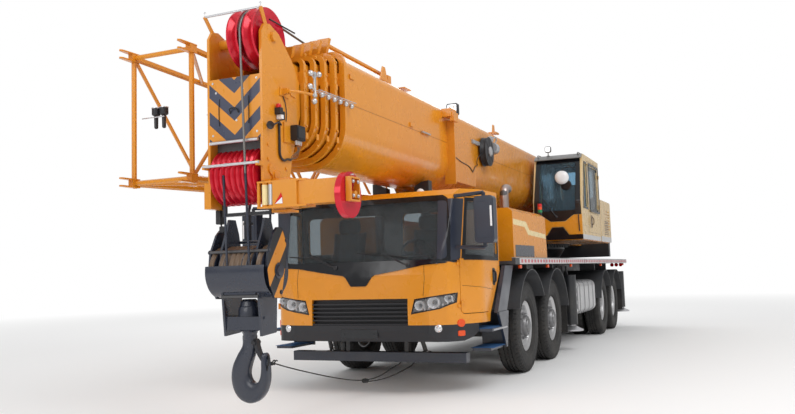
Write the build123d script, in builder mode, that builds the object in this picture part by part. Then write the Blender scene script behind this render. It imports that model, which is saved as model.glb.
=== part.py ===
from build123d import *
import os
from math import cos, hypot, pi, radians, sin, tan

os.makedirs("parts", exist_ok=True)

# Four-axle truck crane with a six-part telescopic boom, parked with its boom level.
# Millimetres. X points forward, Y to the driver's left and Z up. The origin is on the ground, on the
# centreline, midway along the machine.

# ---------------------------------------------------------------- driving sizes
FIT = 0.3  # gap between pieces that are seated on each other
RUN = 0.05  # radial gap of a shaft in its bore

# Wheels and axles
TYRE_R = 612
TYRE_W = 300
RIM_R = 335  # over the rim's flanges
TRACK_Y = 1207  # centreline to the middle of the outer tyre
TWIN_PITCH = 350  # between the two tyres of a twin wheel
AXLE_1_X = 2030
AXLE_2_X = 460
AXLE_3_X = -4135
AXLE_4_X = -5584
KINGPIN_Y = 960
SPINDLE_R = 55

# Carrier frame and deck
FRAME_HALF = 430
FRAME_RAIL = 90
FRAME_LOW = 760
FRAME_TOP = 1180
FRAME_FRONT = 4160
BOX_FRONT = -560  # front end of the torsion box
BOX_REAR = -6850
BOX_HALF = 560
BOX_LOW = 880
DECK_LOW = 1440
DECK_TOP = 1480
DECK_FRONT = 3080
DECK_REAR = -6850
DECK_HALF = 1500
RAIL_W = 45
RAIL_LOW = 1435
RAIL_TOP = 1515

# Outriggers
BEAM_X = 240
BEAM_Z = 280
BEAM_GAP = 6
TUBE_T = 16
TUBE_Z = 1050
TUBE_HALF = 1255
FRONT_TUBES_X = -872
REAR_TUBES_X = -6536
JACK_R = 105
JACK_ROD_R = 75
JACK_Y = 1375
JACK_TOP = 1250
JACK_LOW = 430
PAD_R = 190
PAD_LOW = 330

# Driver's cab
CAB_FRONT = 4445
CAB_REAR = 3320
CAB_HALF = 1380
CAB_LOW = 790
CAB_ROOF = 2304
CAB_ROOF_SEAM = 2215  # the roof's pressing is a panel of its own above the doors
CAB_WALL = 45
GLASS_T = 8
GLASS_INSET = 14

# Engine hood
HOOD_FRONT = 2770
HOOD_REAR = 900
HOOD_HALF = 1400
HOOD_TOP = 2170
HOOD_VALLEY = 2000
VALLEY_HALF = 500
HOOD_WALL = 30

# Slewing upper
SLEW_X = -3670
SLEW_R = 760
SLEW_LOW = 1790
SLEW_TOP = 1860
SLEW_TEETH = 60
CHEEK_IN = 478
CHEEK_T = 32
FOOT_X = -5350
FOOT_Z = 2950
FOOT_PIN_R = 75

# Boom
BOOM_Z = 3045
BOOM_REAR = -5760
BOOM_FRONT = 5620
BOOM_W = 900
BOOM_H = 1110
BOOM_WALL = 12
NEST_Y = 36  # what each inner section loses on each side
NEST_Z = 38  # what it loses above and below
COLLAR_STEP = 135
COLLAR_T = 45
COLLAR_RIM = 48
SECTIONS = 6

# Boom head and hook
HEAD_X = 6630  # both sheave shafts, and the hook block below them
HEAD_LOW_Z = 2285
HEAD_UP_Z = 3550
SHEAVE_R = 255
TOP_SHEAVE_R = 273
HEAD_SHAFT_R = 45
HEAD_PLATE_IN = 268
HEAD_PLATE_T = 27
HEAD_FRONT = 6820
BLOCK_SHEAVE_Z = 1430
NOSE_PIVOT_X = 6620
NOSE_PIVOT_Y = 420

# Luffing cylinder
LUFF_LOW_X = -2600
LUFF_LOW_Z = 2210
LUFF_EYE_X = 2500
LUFF_EYE_Z = 2340
LUFF_R = 135
LUFF_ROD_R = 100
LUFF_MAX = 80


def bar(a, b, radius, sides=6):
    """Straight prism of a regular outline from point a to point b, added to the part being built."""
    start, end = Vector(*a), Vector(*b)
    with BuildSketch(Plane(origin=start, z_dir=end - start)) as section:
        RegularPolygon(radius, sides)
    extrude(section.sketch, amount=(end - start).length)


def shaft(centre, radius, length, mode=Mode.ADD):
    """Round shaft across the machine, centred on a point."""
    x, y, z = centre
    with BuildSketch(Plane(origin=(x, y + length / 2, z), z_dir=(0, -1, 0))) as section:
        Circle(radius)
    extrude(section.sketch, amount=length, mode=mode)


def plate(outline, y_low, y_high, round_by=0, mode=Mode.ADD):
    """Upright plate whose X-Z outline is given, from one Y to another."""
    with BuildSketch(Plane.XZ.offset(-y_low)) as face:
        with BuildLine():
            Polyline(*outline, close=True)
        make_face()
        if round_by:
            fillet(face.vertices(), round_by)
    extrude(face.sketch, amount=-(y_high - y_low), mode=mode)


def block(x, y, z, mode=Mode.ADD):
    """Box from pairs of low and high X, Y and Z."""
    with Locations(((x[0] + x[1]) / 2, (y[0] + y[1]) / 2, (z[0] + z[1]) / 2)):
        Box(x[1] - x[0], y[1] - y[0], z[1] - z[0], mode=mode)


# ---------------------------------------------------------------- wheels
WHEEL_SIDES = 30  # flats round a tyre and its rim
RIM_EDGE = TYRE_W * 0.36
RIM_LIP = 12
BEAD_R = RIM_R - 22
RIM_BED = BEAD_R - FIT
DISC_T = 35
# half width, distance from the axis to the flats
TYRE_OUTLINE = ((RIM_EDGE - RIM_LIP - FIT, RIM_R + 6), (TYRE_W / 2, TYRE_R * 0.8), (TYRE_W * 0.38, TYRE_R))


def many_sided(axle_x, stations, mode=Mode.ADD, sides=WHEEL_SIDES):
    """Body with flats about a wheel's axis, through stations of rising Y and distance from the axis."""
    rings = []
    for y, reach in stations:
        corner_r = reach / cos(pi / sides)
        turns = [(2 * k + 1) * pi / sides for k in range(sides)]
        rings.append([(axle_x + corner_r * sin(a), y, TYRE_R - corner_r * cos(a)) for a in turns])
    outlines = [rings[0], rings[-1]]
    for near, far in zip(rings, rings[1:]):
        outlines += [(near[k - 1], near[k], far[k], far[k - 1]) for k in range(sides)]
    faces = [Face(Wire.make_polygon(outline, close=True)) for outline in outlines]
    add(Solid(Shell(faces)), mode=mode)


def tyre(axle_x, middle):
    """Tyre with its bead, sidewalls and tread, as a solid of its own."""
    with BuildPart() as body:
        near = [(middle - half, reach) for half, reach in TYRE_OUTLINE]
        far = [(middle + half, reach) for half, reach in reversed(TYRE_OUTLINE)]
        many_sided(axle_x, near + far)
        bead = ((middle - TYRE_W / 2, BEAD_R), (middle + TYRE_W / 2, BEAD_R))
        many_sided(axle_x, bead, Mode.SUBTRACT)
    return body.part


def rim_lip(axle_x, side, out):
    """Lip that holds one bead, from a distance outboard of the outer tyre's middle inwards."""
    edges = sorted((side * (TRACK_Y + out), side * (TRACK_Y + out - RIM_LIP)))
    many_sided(axle_x, [(y, RIM_R) for y in edges])


# name, axle X, side, twin, disc's inner face outboard of the outer tyre's middle, hub's outer face
WHEELS = [
    (f"wheel_{axle}_{name}", x, side, twin, disc, hub)
    for axle, x, twin, disc, hub in (
        (1, AXLE_1_X, 0, -5, 140), (2, AXLE_2_X, 0, -5, 140), (3, AXLE_3_X, 1, -160, 70),
        (4, AXLE_4_X, 1, -160, 70),
    )
    for name, side in (("left", 1), ("right", -1))
]
for node, axle_x, side, twin, disc, hub in WHEELS:
    middle = side * TRACK_Y
    inner = -RIM_EDGE - TWIN_PITCH * twin
    with BuildPart() as wheel:
        many_sided(axle_x, sorted(((middle + side * inner, RIM_BED), (middle + side * RIM_EDGE, RIM_BED))))
        for out in (inner + RIM_LIP, RIM_EDGE):
            rim_lip(axle_x, side, out)
        if twin:
            for out in (inner + 2 * RIM_EDGE, -RIM_EDGE + RIM_LIP):
                rim_lip(axle_x, side, out)
        dish = ((middle + side * (disc + DISC_T), 255), (middle + side * (RIM_EDGE + FIT), 285))
        many_sided(axle_x, sorted(dish), Mode.SUBTRACT)
        back = ((middle + side * (inner - FIT), 290), (middle + side * disc, 255))
        many_sided(axle_x, sorted(back), Mode.SUBTRACT)
        many_sided(axle_x, sorted(((middle + side * (disc - DISC_T), 130), (middle + side * hub, 140))))
        shaft((axle_x, middle, TYRE_R), SPINDLE_R + RUN, 2 * (TYRE_W + TWIN_PITCH), mode=Mode.SUBTRACT)
        add(tyre(axle_x, middle))
        if twin:
            add(tyre(axle_x, middle - side * TWIN_PITCH))
    wheel.part.label = node
    export_step(wheel.part, f"parts/{node}.step")

# ---------------------------------------------------------------- knuckles
FIST_HALF = 70
EAR_T = 34
EAR_GAP = 1
KINGPIN_R = 32
# name, axle X, side
KNUCKLES = [
    (f"knuckle_{axle}_{name}", x, side)
    for axle, x in ((1, AXLE_1_X), (2, AXLE_2_X))
    for name, side in (("left", 1), ("right", -1))
]
for node, axle_x, side in KNUCKLES:
    pin_y = side * KINGPIN_Y
    yoke_y = side * (KINGPIN_Y + 95)
    ear_z = FIST_HALF + EAR_GAP + EAR_T / 2
    with BuildPart() as knuckle:
        for up in (1, -1):
            with Locations((axle_x, side * (KINGPIN_Y + 45), TYRE_R + up * ear_z)):
                Box(110, 130, EAR_T)
            with Locations((axle_x, pin_y, TYRE_R + up * ear_z)):
                Cylinder(55, EAR_T)
        with Locations((axle_x, yoke_y, TYRE_R)):
            Box(110, 34, 2 * (ear_z + EAR_T / 2))
        with Locations((axle_x, pin_y, TYRE_R)):
            Cylinder(KINGPIN_R, 2 * (ear_z + EAR_T / 2))
        shaft((axle_x, side * (KINGPIN_Y + 240), TYRE_R), SPINDLE_R, 290)
        with Locations((axle_x - 130, side * (KINGPIN_Y + 20), TYRE_R - ear_z)):
            Box(190, 46, EAR_T)
    knuckle.part.label = node
    export_step(knuckle.part, f"parts/{node}.step")

# ---------------------------------------------------------------- axles and springs
FIST_R = 62
SPRING_Y = FRAME_HALF - FRAME_RAIL / 2
with BuildPart() as axles:
    for axle_x in (AXLE_1_X, AXLE_2_X):
        with Locations((axle_x, 0, TYRE_R - 90)):
            Box(130, 2 * 700, 110)
        for side in (1, -1):
            with BuildSketch(Plane.YZ.offset(axle_x - 55)):
                with BuildLine():
                    Polyline(
                        (side * 640, TYRE_R - 145),
                        (side * 900, TYRE_R - 60),
                        (side * 900, TYRE_R + 60),
                        (side * 640, TYRE_R - 35),
                        close=True,
                    )
                make_face()
            extrude(amount=110)
            with Locations((axle_x, side * KINGPIN_Y, TYRE_R)):
                Cylinder(FIST_R, 2 * FIST_HALF)
            with Locations((axle_x, side * KINGPIN_Y, TYRE_R)):
                Cylinder(KINGPIN_R + RUN, 3 * FIST_HALF, mode=Mode.SUBTRACT)
            # a leaf spring pack on each side, up to the frame rail
            with BuildSketch(Plane.XZ.offset(-side * SPRING_Y)):
                with BuildLine():
                    Polyline(
                        (axle_x - 620, FRAME_LOW - FIT),
                        (axle_x - 500, FRAME_LOW - 30),
                        (axle_x - 60, TYRE_R + 15),
                        (axle_x + 60, TYRE_R + 15),
                        (axle_x + 500, FRAME_LOW - 30),
                        (axle_x + 620, FRAME_LOW - FIT),
                        (axle_x + 560, FRAME_LOW - FIT),
                        (axle_x + 480, FRAME_LOW - FIT),
                        (axle_x + 90, TYRE_R + 75),
                        (axle_x - 90, TYRE_R + 75),
                        (axle_x - 480, FRAME_LOW - FIT),
                        close=True,
                    )
                make_face()
            extrude(amount=45, both=True)
            with Locations((axle_x, side * SPRING_Y, TYRE_R - 15)):
                Box(120, 90, 100)
    for axle_x in (AXLE_3_X, AXLE_4_X):
        inner = TRACK_Y - TWIN_PITCH - TYRE_W / 2
        shaft((axle_x, 0, TYRE_R), 95, 2 * (inner + 60))
        shaft((axle_x, 0, TYRE_R), SPINDLE_R, 2 * (TRACK_Y + 60))
        many_sided(axle_x, ((-205, 85), (-130, 165), (0, 205), (130, 165), (205, 85)), sides=16)
        for side in (1, -1):
            with Locations((axle_x, side * 480, (TYRE_R + BOX_LOW - FIT) / 2)):
                Box(150, 110, BOX_LOW - FIT - TYRE_R)
axles.part.label = "axles"
export_step(axles.part, "parts/axles.step")

# ---------------------------------------------------------------- carrier frame
BOX_TUBES_X = 2 * (BEAM_X + 2 * BEAM_GAP) + 3 * TUBE_T
BOX_TUBES_Z = BEAM_Z + 2 * BEAM_GAP + 2 * TUBE_T
BEAM_OFFSET = (BEAM_X + 2 * BEAM_GAP + TUBE_T) / 2
REST_X = 3050
REST_HALF = 400
UNDERRUN_FRONT = 4003
DROP_LOW = 600
DROP_TOP = CAB_LOW - FIT
# the rails step down in front of the first axle, to pass under the cab
FRAME_SIDE = (
    (BOX_FRONT, FRAME_LOW), (2980, FRAME_LOW), (3120, DROP_LOW), (FRAME_FRONT, DROP_LOW),
    (FRAME_FRONT, DROP_TOP), (3250, DROP_TOP), (3110, FRAME_TOP), (BOX_FRONT, FRAME_TOP),
)
with BuildPart() as chassis:
    for side in (1, -1):
        rail_ys = sorted((side * FRAME_HALF, side * (FRAME_HALF - FRAME_RAIL)))
        plate(FRAME_SIDE, *rail_ys)
    for cross_x in (AXLE_2_X - 700, (AXLE_1_X + AXLE_2_X) / 2, AXLE_1_X + 700):
        block((cross_x - 50, cross_x + 50), (-FRAME_HALF, FRAME_HALF), (FRAME_LOW + 60, FRAME_TOP - 60))
    block((FRAME_FRONT - 100, FRAME_FRONT), (-FRAME_HALF, FRAME_HALF), (DROP_LOW, DROP_TOP))
    block((BOX_REAR, BOX_FRONT), (-BOX_HALF, BOX_HALF), (BOX_LOW, DECK_LOW))
    for tubes_x in (FRONT_TUBES_X, REAR_TUBES_X):
        with Locations((tubes_x, 0, TUBE_Z)):
            Box(BOX_TUBES_X, 2 * TUBE_HALF, BOX_TUBES_Z)
    # posts that carry the deck beside the engine, and the boom's rest
    for post_x in (HOOD_FRONT - 60, HOOD_REAR + 100):
        for side in (1, -1):
            block(
                (post_x - 40, post_x + 40),
                (side * FRAME_HALF - 45, side * FRAME_HALF + 45),
                (FRAME_TOP - 60, DECK_LOW),
            )
    for side in (1, -1):
        block((REST_X - 50, REST_X + 50), (side * 330 - 50, side * 330 + 50), (FRAME_TOP - 60, 2340))
    block((REST_X - 60, REST_X + 60), (-REST_HALF, REST_HALF), (2320, 2410))
    for side in (1, -1):
        with BuildSketch(Plane.YZ.offset(REST_X - 60)):
            with BuildLine():
                Polyline(
                    (side * 200, 2400), (side * REST_HALF, 2400), (side * REST_HALF, 2560),
                    (side * 300, 2545), (side * 200, 2490), close=True,
                )
            make_face()
        extrude(amount=120)
    # front underrun beam on two hangers
    block((UNDERRUN_FRONT - 115, UNDERRUN_FRONT), (-1130, 1130), (335, 446))
    for side in (1, -1):
        block(
            (UNDERRUN_FRONT - 100, UNDERRUN_FRONT - 30),
            (side * SPRING_Y - 25, side * SPRING_Y + 25),
            (430, DROP_LOW + 20),
        )
    # eyes below the left rail that the hook's rope is tied to
    for x, y in ((3800, 355), (3812, 412)):
        block((x - 22, x + 22), (y - 12, y + 12), (575, DROP_LOW + 10))
    # pedestal that carries the slewing ring
    with BuildSketch(Plane.XZ) as cone:
        with BuildLine():
            Polyline(
                (SLEW_X, DECK_LOW - 40), (SLEW_X + 520, DECK_LOW - 40), (SLEW_X + 540, 1520),
                (SLEW_X + 700, SLEW_LOW - 40), (SLEW_X + 700, SLEW_LOW), (SLEW_X, SLEW_LOW),
                close=True,
            )
        make_face()
    revolve(axis=Axis((SLEW_X, 0, 0), (0, 0, 1)))
    # the toothed outer ring
    with BuildSketch(Plane(origin=(SLEW_X, 0, SLEW_LOW - 5))):
        Circle(SLEW_R)
        with PolarLocations(SLEW_R, SLEW_TEETH):
            Rectangle(36, 38)
    extrude(amount=SLEW_TOP - SLEW_LOW + 5)
    for hole in (1, -1):
        for tubes_x in (FRONT_TUBES_X, REAR_TUBES_X):
            with Locations((tubes_x + hole * BEAM_OFFSET, 0, TUBE_Z)):
                Box(
                    BEAM_X + 2 * BEAM_GAP, 2 * TUBE_HALF + 10, BEAM_Z + 2 * BEAM_GAP,
                    mode=Mode.SUBTRACT,
                )
chassis.part.label = "chassis"
export_step(chassis.part, "parts/chassis.step")

# ---------------------------------------------------------------- deck, rails and mudguards
HOOD_BAY_HALF = 1100
ARCH_T = 12
FRONT_ARCH_R = 760
REAR_ARCH_R = 690
# axle X, arch radius, inner Y, first and last angle above the horizontal
ARCHES = (
    (AXLE_1_X, FRONT_ARCH_R, 1010, 20, 150), (AXLE_2_X, FRONT_ARCH_R, 1010, 30, 168),
    (AXLE_3_X, REAR_ARCH_R, 690, 12, 150), (AXLE_4_X, REAR_ARCH_R, 690, 30, 160),
)
ARCH_OUT_Y = 1440
with BuildPart() as deck:
    block((DECK_REAR, DECK_FRONT), (-DECK_HALF + 5, DECK_HALF - 5), (DECK_LOW, DECK_TOP))
    block(
        (HOOD_REAR + 160, HOOD_FRONT - 110), (-HOOD_BAY_HALF, HOOD_BAY_HALF), (DECK_LOW - 5, DECK_TOP + 5),
        mode=Mode.SUBTRACT,
    )
    for side in (1, -1):
        block(
            (REST_X - 50 - FIT, REST_X + 50 + FIT), (side * 330 - 50 - FIT, side * 330 + 50 + FIT),
            (DECK_LOW - 5, DECK_TOP + 5), mode=Mode.SUBTRACT,
        )
    with Locations((SLEW_X, 0, DECK_TOP)):
        Cylinder(SLEW_R, 200, mode=Mode.SUBTRACT)
    for side in (1, -1):
        rail_y = side * (DECK_HALF - RAIL_W / 2)
        with Locations(((DECK_REAR + DECK_FRONT) / 2, rail_y, (RAIL_LOW + RAIL_TOP) / 2)):
            Box(DECK_FRONT - DECK_REAR, RAIL_W, RAIL_TOP - RAIL_LOW)
    block((DECK_REAR, DECK_REAR + RAIL_W), (-DECK_HALF, DECK_HALF), (DECK_LOW, RAIL_TOP))
    for axle_x, arch_r, inner_y, first, last in ARCHES:
        for side in (1, -1):
            middle = (ARCH_OUT_Y + inner_y) / 2
            with BuildSketch(Plane.XZ.offset(-side * middle)):
                with BuildLine():
                    outer = CenterArc((axle_x, TYRE_R), arch_r, first, last - first)
                    inner = CenterArc((axle_x, TYRE_R), arch_r - ARCH_T, first, last - first)
                    Line(outer @ 0, inner @ 0)
                    Line(outer @ 1, inner @ 1)
                make_face()
            extrude(amount=(ARCH_OUT_Y - inner_y) / 2, both=True)
            block(
                (axle_x - 30, axle_x + 30), (side * middle - 150, side * middle + 150),
                (TYRE_R + arch_r - ARCH_T / 2, DECK_LOW + 5),
            )
deck.part.label = "deck"
export_step(deck.part, "parts/deck.step")

# ---------------------------------------------------------------- driver's cab
# half outline of the cab in plan, then its outline seen from the side
CAB_PLAN = ((CAB_REAR, CAB_HALF), (3950, 1345), (4360, 1087), (4430, 860))
CAB_SIDE = (
    (CAB_REAR, CAB_ROOF), (CAB_REAR, 1430), (3735, 880), (3765, CAB_LOW), (4440, CAB_LOW), (4457, 830),
    (4446, 900), (4412, 1350), (4275, 2240), (4190, CAB_ROOF),
)
BUMPER_LOW = 605
GRILLE_HALF = 612
GRILLE_TOP = 1085


def cab_form(inset, low=CAB_LOW, outline=CAB_SIDE):
    """Solid form of the cab, moved inwards all round by inset."""
    with BuildPart() as form:
        with BuildSketch(Plane.XY.offset(low + inset)) as plan:
            with BuildLine():
                Polyline(
                    *CAB_PLAN, (CAB_FRONT + 15, 0), *[(x, -y) for x, y in reversed(CAB_PLAN)], close=True
                )
            make_face()
            fillet(plan.vertices().group_by(Axis.X)[0], 60)
            fillet(plan.vertices().filter_by(lambda v: 3900 < v.X < 4000), 300)
            fillet(plan.vertices().filter_by(lambda v: 4340 < v.X < 4370), 140)
            offset(amount=-inset)
        extrude(amount=CAB_ROOF)
        with BuildSketch(Plane.XZ) as side_view:
            with BuildLine():
                Polyline(*outline, close=True)
            make_face()
            if inset:
                offset(amount=-inset, kind=Kind.INTERSECTION)
        extrude(amount=CAB_HALF + 10, both=True, mode=Mode.INTERSECT)
    return form.part


DOOR_GAP = 8
DOOR_OUTLINE = (
    (CAB_REAR + 80, 2215), (CAB_REAR + 80, 1425), (3792, 905), (4225, 905), (4225, 1560), (4150, 2215),
)
WINDOW_OUTLINE = ((3450, 2165), (3450, 1520), (4160, 1560), (4115, 2165))
SCREEN_HALF = 1090
SCREEN_LOW = 1500
SCREEN_TOP = 2190
REAR_WINDOW_Y = 560
LAMP_REAR = 4238  # clear of the door's front edge
# the doors' hinges stand off the slanted flank: a pin on the cab's half of each is in the door's half
DOOR_HINGE = (4237, 1184)
DOOR_HINGES_Z = (1010, 1480)
FLANK_RUN = (CAB_PLAN[2][0] - CAB_PLAN[1][0], CAB_PLAN[2][1] - CAB_PLAN[1][1])
LEAF = ((0, -4), (48, -4), (48, -26), (10, -26), (10, -17), (0, -17))  # along the flank, out from the pin
PIN_R = 6
KNUCKLE_R = 13
KNUCKLE_H = 36


def door_hinge(side, z, height, along):
    """Barrel and leaf of one half of a hinge; along is 1 for the cab's half and -1 for the door's."""
    x, y = DOOR_HINGE
    run = hypot(*FLANK_RUN)
    ux, uy = FLANK_RUN[0] / run, FLANK_RUN[1] / run
    with BuildSketch(Plane.XY.offset(z)) as leaf:
        with BuildLine() as loop:
            corners = [(x + along * a * ux - b * uy, y + along * a * uy + b * ux) for a, b in LEAF]
            Polyline(*[(px, side * py) for px, py in corners], close=True)
        make_face(loop.edges())
        with Locations((x, side * y)):
            Circle(KNUCKLE_R)
    extrude(leaf.sketch, amount=height)


def side_cut(outline, shrink, low, high):
    """Prism across one side of the cab, from an outline seen from the side, made smaller by shrink."""
    with BuildPart() as cut:
        with BuildSketch(Plane.XZ.offset(-low)) as face:
            with BuildLine():
                Polyline(*outline, close=True)
            make_face()
            fillet(face.vertices(), 45)
            if shrink:
                offset(amount=-shrink)
        extrude(amount=-(high - low))
    return cut.part


def window_cut(y, z, x, shrink=0):
    """Prism along the machine with rounded corners: a window in a front or rear wall."""
    with BuildPart() as cut:
        with BuildSketch(Plane.YZ.offset(x[0])) as face:
            with Locations(((y[0] + y[1]) / 2, (z[0] + z[1]) / 2)):
                RectangleRounded(y[1] - y[0] - 2 * shrink, z[1] - z[0] - 2 * shrink, 60)
        extrude(amount=x[1] - x[0])
    return cut.part


def lamp_cut(side, shrink):
    """Prism along the machine of a headlamp's outline, which rises outboard."""
    with BuildPart() as cut:
        with BuildSketch(Plane.YZ.offset(LAMP_REAR)) as face:
            with BuildLine():
                Polyline(
                    (side * 648, 909), (side * 694, 1079), (side * 1150, 1140), (side * 1140, 1030),
                    (side * 980, 965), close=True,
                )
            make_face()
            if shrink:
                offset(amount=-shrink, kind=Kind.INTERSECTION)
        extrude(amount=400)
    return cut.part


with BuildPart() as closed_cab:
    add(cab_form(0))
    add(cab_form(CAB_WALL), mode=Mode.SUBTRACT)

with BuildPart() as cab_shell:
    add(closed_cab.part)
    for low, high in ((900, CAB_HALF + 50), (-CAB_HALF - 50, -900)):
        add(side_cut(DOOR_OUTLINE, -DOOR_GAP, low, high), mode=Mode.SUBTRACT)
    add(window_cut((-SCREEN_HALF, SCREEN_HALF), (SCREEN_LOW, SCREEN_TOP), (4050, 4500)), mode=Mode.SUBTRACT)
    for side in (1, -1):
        y = sorted((side * 130, side * (130 + 2 * REAR_WINDOW_Y)))
        add(window_cut(y, (1640, 2120), (CAB_REAR - 20, CAB_REAR + 90)), mode=Mode.SUBTRACT)
        add(lamp_cut(side, 0), mode=Mode.SUBTRACT)
    block((4200, 4500), (-GRILLE_HALF, GRILLE_HALF), (CAB_LOW - 20, GRILLE_TOP), mode=Mode.SUBTRACT)
    # dashboard with the steering column and wheel
    block((4080, 4385), (-1000, 1000), (1180, 1440))
    bar((4135, 560, 1420), (3915, 560, 1572), 28, 8)
    with BuildSketch(Plane(origin=(3925, 560, 1565), z_dir=(-190, 0, 130))):
        Circle(225)
        Circle(195, mode=Mode.SUBTRACT)
        Rectangle(400, 34)
    extrude(amount=26)
    for side in (1, -1):
        for z in DOOR_HINGES_Z:
            door_hinge(side, z - KNUCKLE_H, KNUCKLE_H, 1)
            with Locations((DOOR_HINGE[0], side * DOOR_HINGE[1], z - 10)):
                Cylinder(PIN_R, KNUCKLE_H + 4, align=(Align.CENTER, Align.CENTER, Align.MIN))
    block((CAB_REAR - 10, 4500), (-CAB_HALF - 10, CAB_HALF + 10), (CAB_ROOF_SEAM, CAB_ROOF + 10), mode=Mode.SUBTRACT)
cab_shell.part.label = "cab_shell"
export_step(cab_shell.part, "parts/cab_shell.step")

with BuildPart() as cab_roof:
    add(closed_cab.part)
    for low, high in ((900, CAB_HALF + 50), (-CAB_HALF - 50, -900)):
        add(side_cut(DOOR_OUTLINE, -DOOR_GAP, low, high), mode=Mode.SUBTRACT)
    block((CAB_REAR - 10, 4500), (-CAB_HALF - 10, CAB_HALF + 10), (CAB_ROOF_SEAM, CAB_ROOF + 10), mode=Mode.INTERSECT)
cab_roof.part.label = "cab_roof"
export_step(cab_roof.part, "parts/cab_roof.step")

with BuildPart() as glass_layer:
    add(cab_form(GLASS_INSET))
    add(cab_form(GLASS_INSET + GLASS_T), mode=Mode.SUBTRACT)

with BuildPart() as cab_glass:
    add(glass_layer.part)
    with BuildPart(mode=Mode.PRIVATE) as panes:
        add(window_cut((-SCREEN_HALF, SCREEN_HALF), (SCREEN_LOW, SCREEN_TOP), (4050, 4500), FIT))
        for side in (1, -1):
            y = sorted((side * 130, side * (130 + 2 * REAR_WINDOW_Y)))
            add(window_cut(y, (1640, 2120), (CAB_REAR - 20, CAB_REAR + 90), FIT))
    add(panes.part, mode=Mode.INTERSECT)
cab_glass.part.label = "cab_glass"
export_step(cab_glass.part, "parts/cab_glass.step")

# name, side, low and high Y that take in one side of the cab
for node, side, low, high in (
    ("cab_door_left", 1, 900, CAB_HALF + 50), ("cab_door_right", -1, -CAB_HALF - 50, -900)
):
    with BuildPart() as pane:
        add(glass_layer.part)
        add(side_cut(WINDOW_OUTLINE, FIT, low, high), mode=Mode.INTERSECT)
    with BuildPart() as cab_door:
        add(closed_cab.part)
        add(side_cut(DOOR_OUTLINE, 0, low, high), mode=Mode.INTERSECT)
        add(side_cut(WINDOW_OUTLINE, 0, low, high), mode=Mode.SUBTRACT)
        add(pane.part)
        for z in DOOR_HINGES_Z:
            door_hinge(side, z + FIT, KNUCKLE_H - FIT, -1)
            with Locations((DOOR_HINGE[0], side * DOOR_HINGE[1], z)):
                Cylinder(PIN_R + RUN, 3 * KNUCKLE_H, mode=Mode.SUBTRACT)
    cab_door.part.label = node
    export_step(cab_door.part, f"parts/{node}.step")

# ---------------------------------------------------------------- bumper, grille, lamps, steps, mirrors, seats
BUMPER_REAR = 4020
BUMPER_SIDE = (
    (BUMPER_REAR, CAB_LOW - FIT), (BUMPER_REAR, 700), (4090, 640), (4200, BUMPER_LOW), (4400, BUMPER_LOW),
    (4436, 720), (4440, CAB_LOW - FIT),
)
BUMPER_WALL = 40
BUMPER_HOLLOW = ((3700, 400), (4400, 400), (4400, 900), (3700, 900))
SLAT_PITCH = 46
GRILLE_X = (4330, 4425)
with BuildPart() as bumper:
    add(cab_form(0, BUMPER_LOW, BUMPER_SIDE))
    add(cab_form(BUMPER_WALL, 400, BUMPER_HOLLOW), mode=Mode.SUBTRACT)
    block((GRILLE_X[0], GRILLE_X[0] + 30), (-GRILLE_HALF + FIT, GRILLE_HALF - FIT), (700, GRILLE_TOP - FIT))
    block((GRILLE_X[0] + 10, 4400), (-GRILLE_HALF + FIT, GRILLE_HALF - FIT), (700, CAB_LOW))
    with Locations(*[
        (sum(GRILLE_X) / 2, 0, z) for z in range(CAB_LOW + 10, GRILLE_TOP - 10, SLAT_PITCH)
    ]):
        Box(GRILLE_X[1] - GRILLE_X[0], 2 * GRILLE_HALF - 2 * FIT, 16)
bumper.part.label = "bumper"
export_step(bumper.part, "parts/bumper.step")

with BuildPart() as lamps:
    for side in (1, -1):
        with BuildPart(mode=Mode.PRIVATE) as headlamp:
            add(cab_form(4))
            add(cab_form(CAB_WALL + 40), mode=Mode.SUBTRACT)
            add(lamp_cut(side, FIT), mode=Mode.INTERSECT)
        add(headlamp.part)
    for side in (1, -1):
        block(
            (DECK_REAR - 30, DECK_REAR - FIT), (side * 800 - 180, side * 800 + 180), (RAIL_TOP - 140, RAIL_TOP - 20)
        )
lamps.part.label = "lamps"
export_step(lamps.part, "parts/lamps.step")

# panel between the cab and the wheel arch, seen from the side
FENDER = ((2955, 1425), (3310, 1425), (3700, 880), (3315, 880))
TREAD_T = 28
with BuildPart() as steps:
    for side in (1, -1):
        inner, outer = sorted((side * 1385, side * 1432))
        plate(FENDER, inner, outer)
        inner, outer = sorted((side * 1150, side * 1450))
        plate(((3315, 890), (3700, 890), (3700, 860), (3440, 470), (3400, 470), (3315, 860)), outer - 30
              if side > 0 else inner, outer if side > 0 else inner + 30)
        block((3420, 4010), (inner, outer), (690, 690 + TREAD_T))
        block((3420, 3950), (inner + 40, outer - 40), (470, 470 + TREAD_T))
        block((3420, 3450), (inner, outer), (470, 880))
        # carrier plate back to the frame rail
        inner, outer = sorted((side * (FRAME_HALF + FIT), side * 1400))
        block((3420, 3450), (inner, outer), (640, 770))
steps.part.label = "steps"
export_step(steps.part, "parts/steps.step")

MIRROR_X = (4235, 4365)
MIRROR_Y = (1405, 1625)
with BuildPart() as mirrors:
    for side in (1, -1):
        y_low, y_high = sorted((side * MIRROR_Y[0], side * MIRROR_Y[1]))
        with Locations((sum(MIRROR_X) / 2, (y_low + y_high) / 2, 1930)):
            Box(MIRROR_X[1] - MIRROR_X[0], y_high - y_low, 520)
        fillet(mirrors.edges().filter_by(Axis.X).filter_by(lambda e: e.center().Y * side > 0), 40)
        for z in (2215, 1640):
            bar((4300, side * 1500, z + (15 if z > 2000 else -15)), (4262, side * 1150, z), 22, 8)
        for z in (2215, 1640):
            bar((4300, side * 1500, z + (15 if z > 2000 else -15)), (4300, side * 1500, 1930), 22, 8)
    add(cab_form(-FIT), mode=Mode.SUBTRACT)
mirrors.part.label = "mirrors"
export_step(mirrors.part, "parts/mirrors.step")

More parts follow.
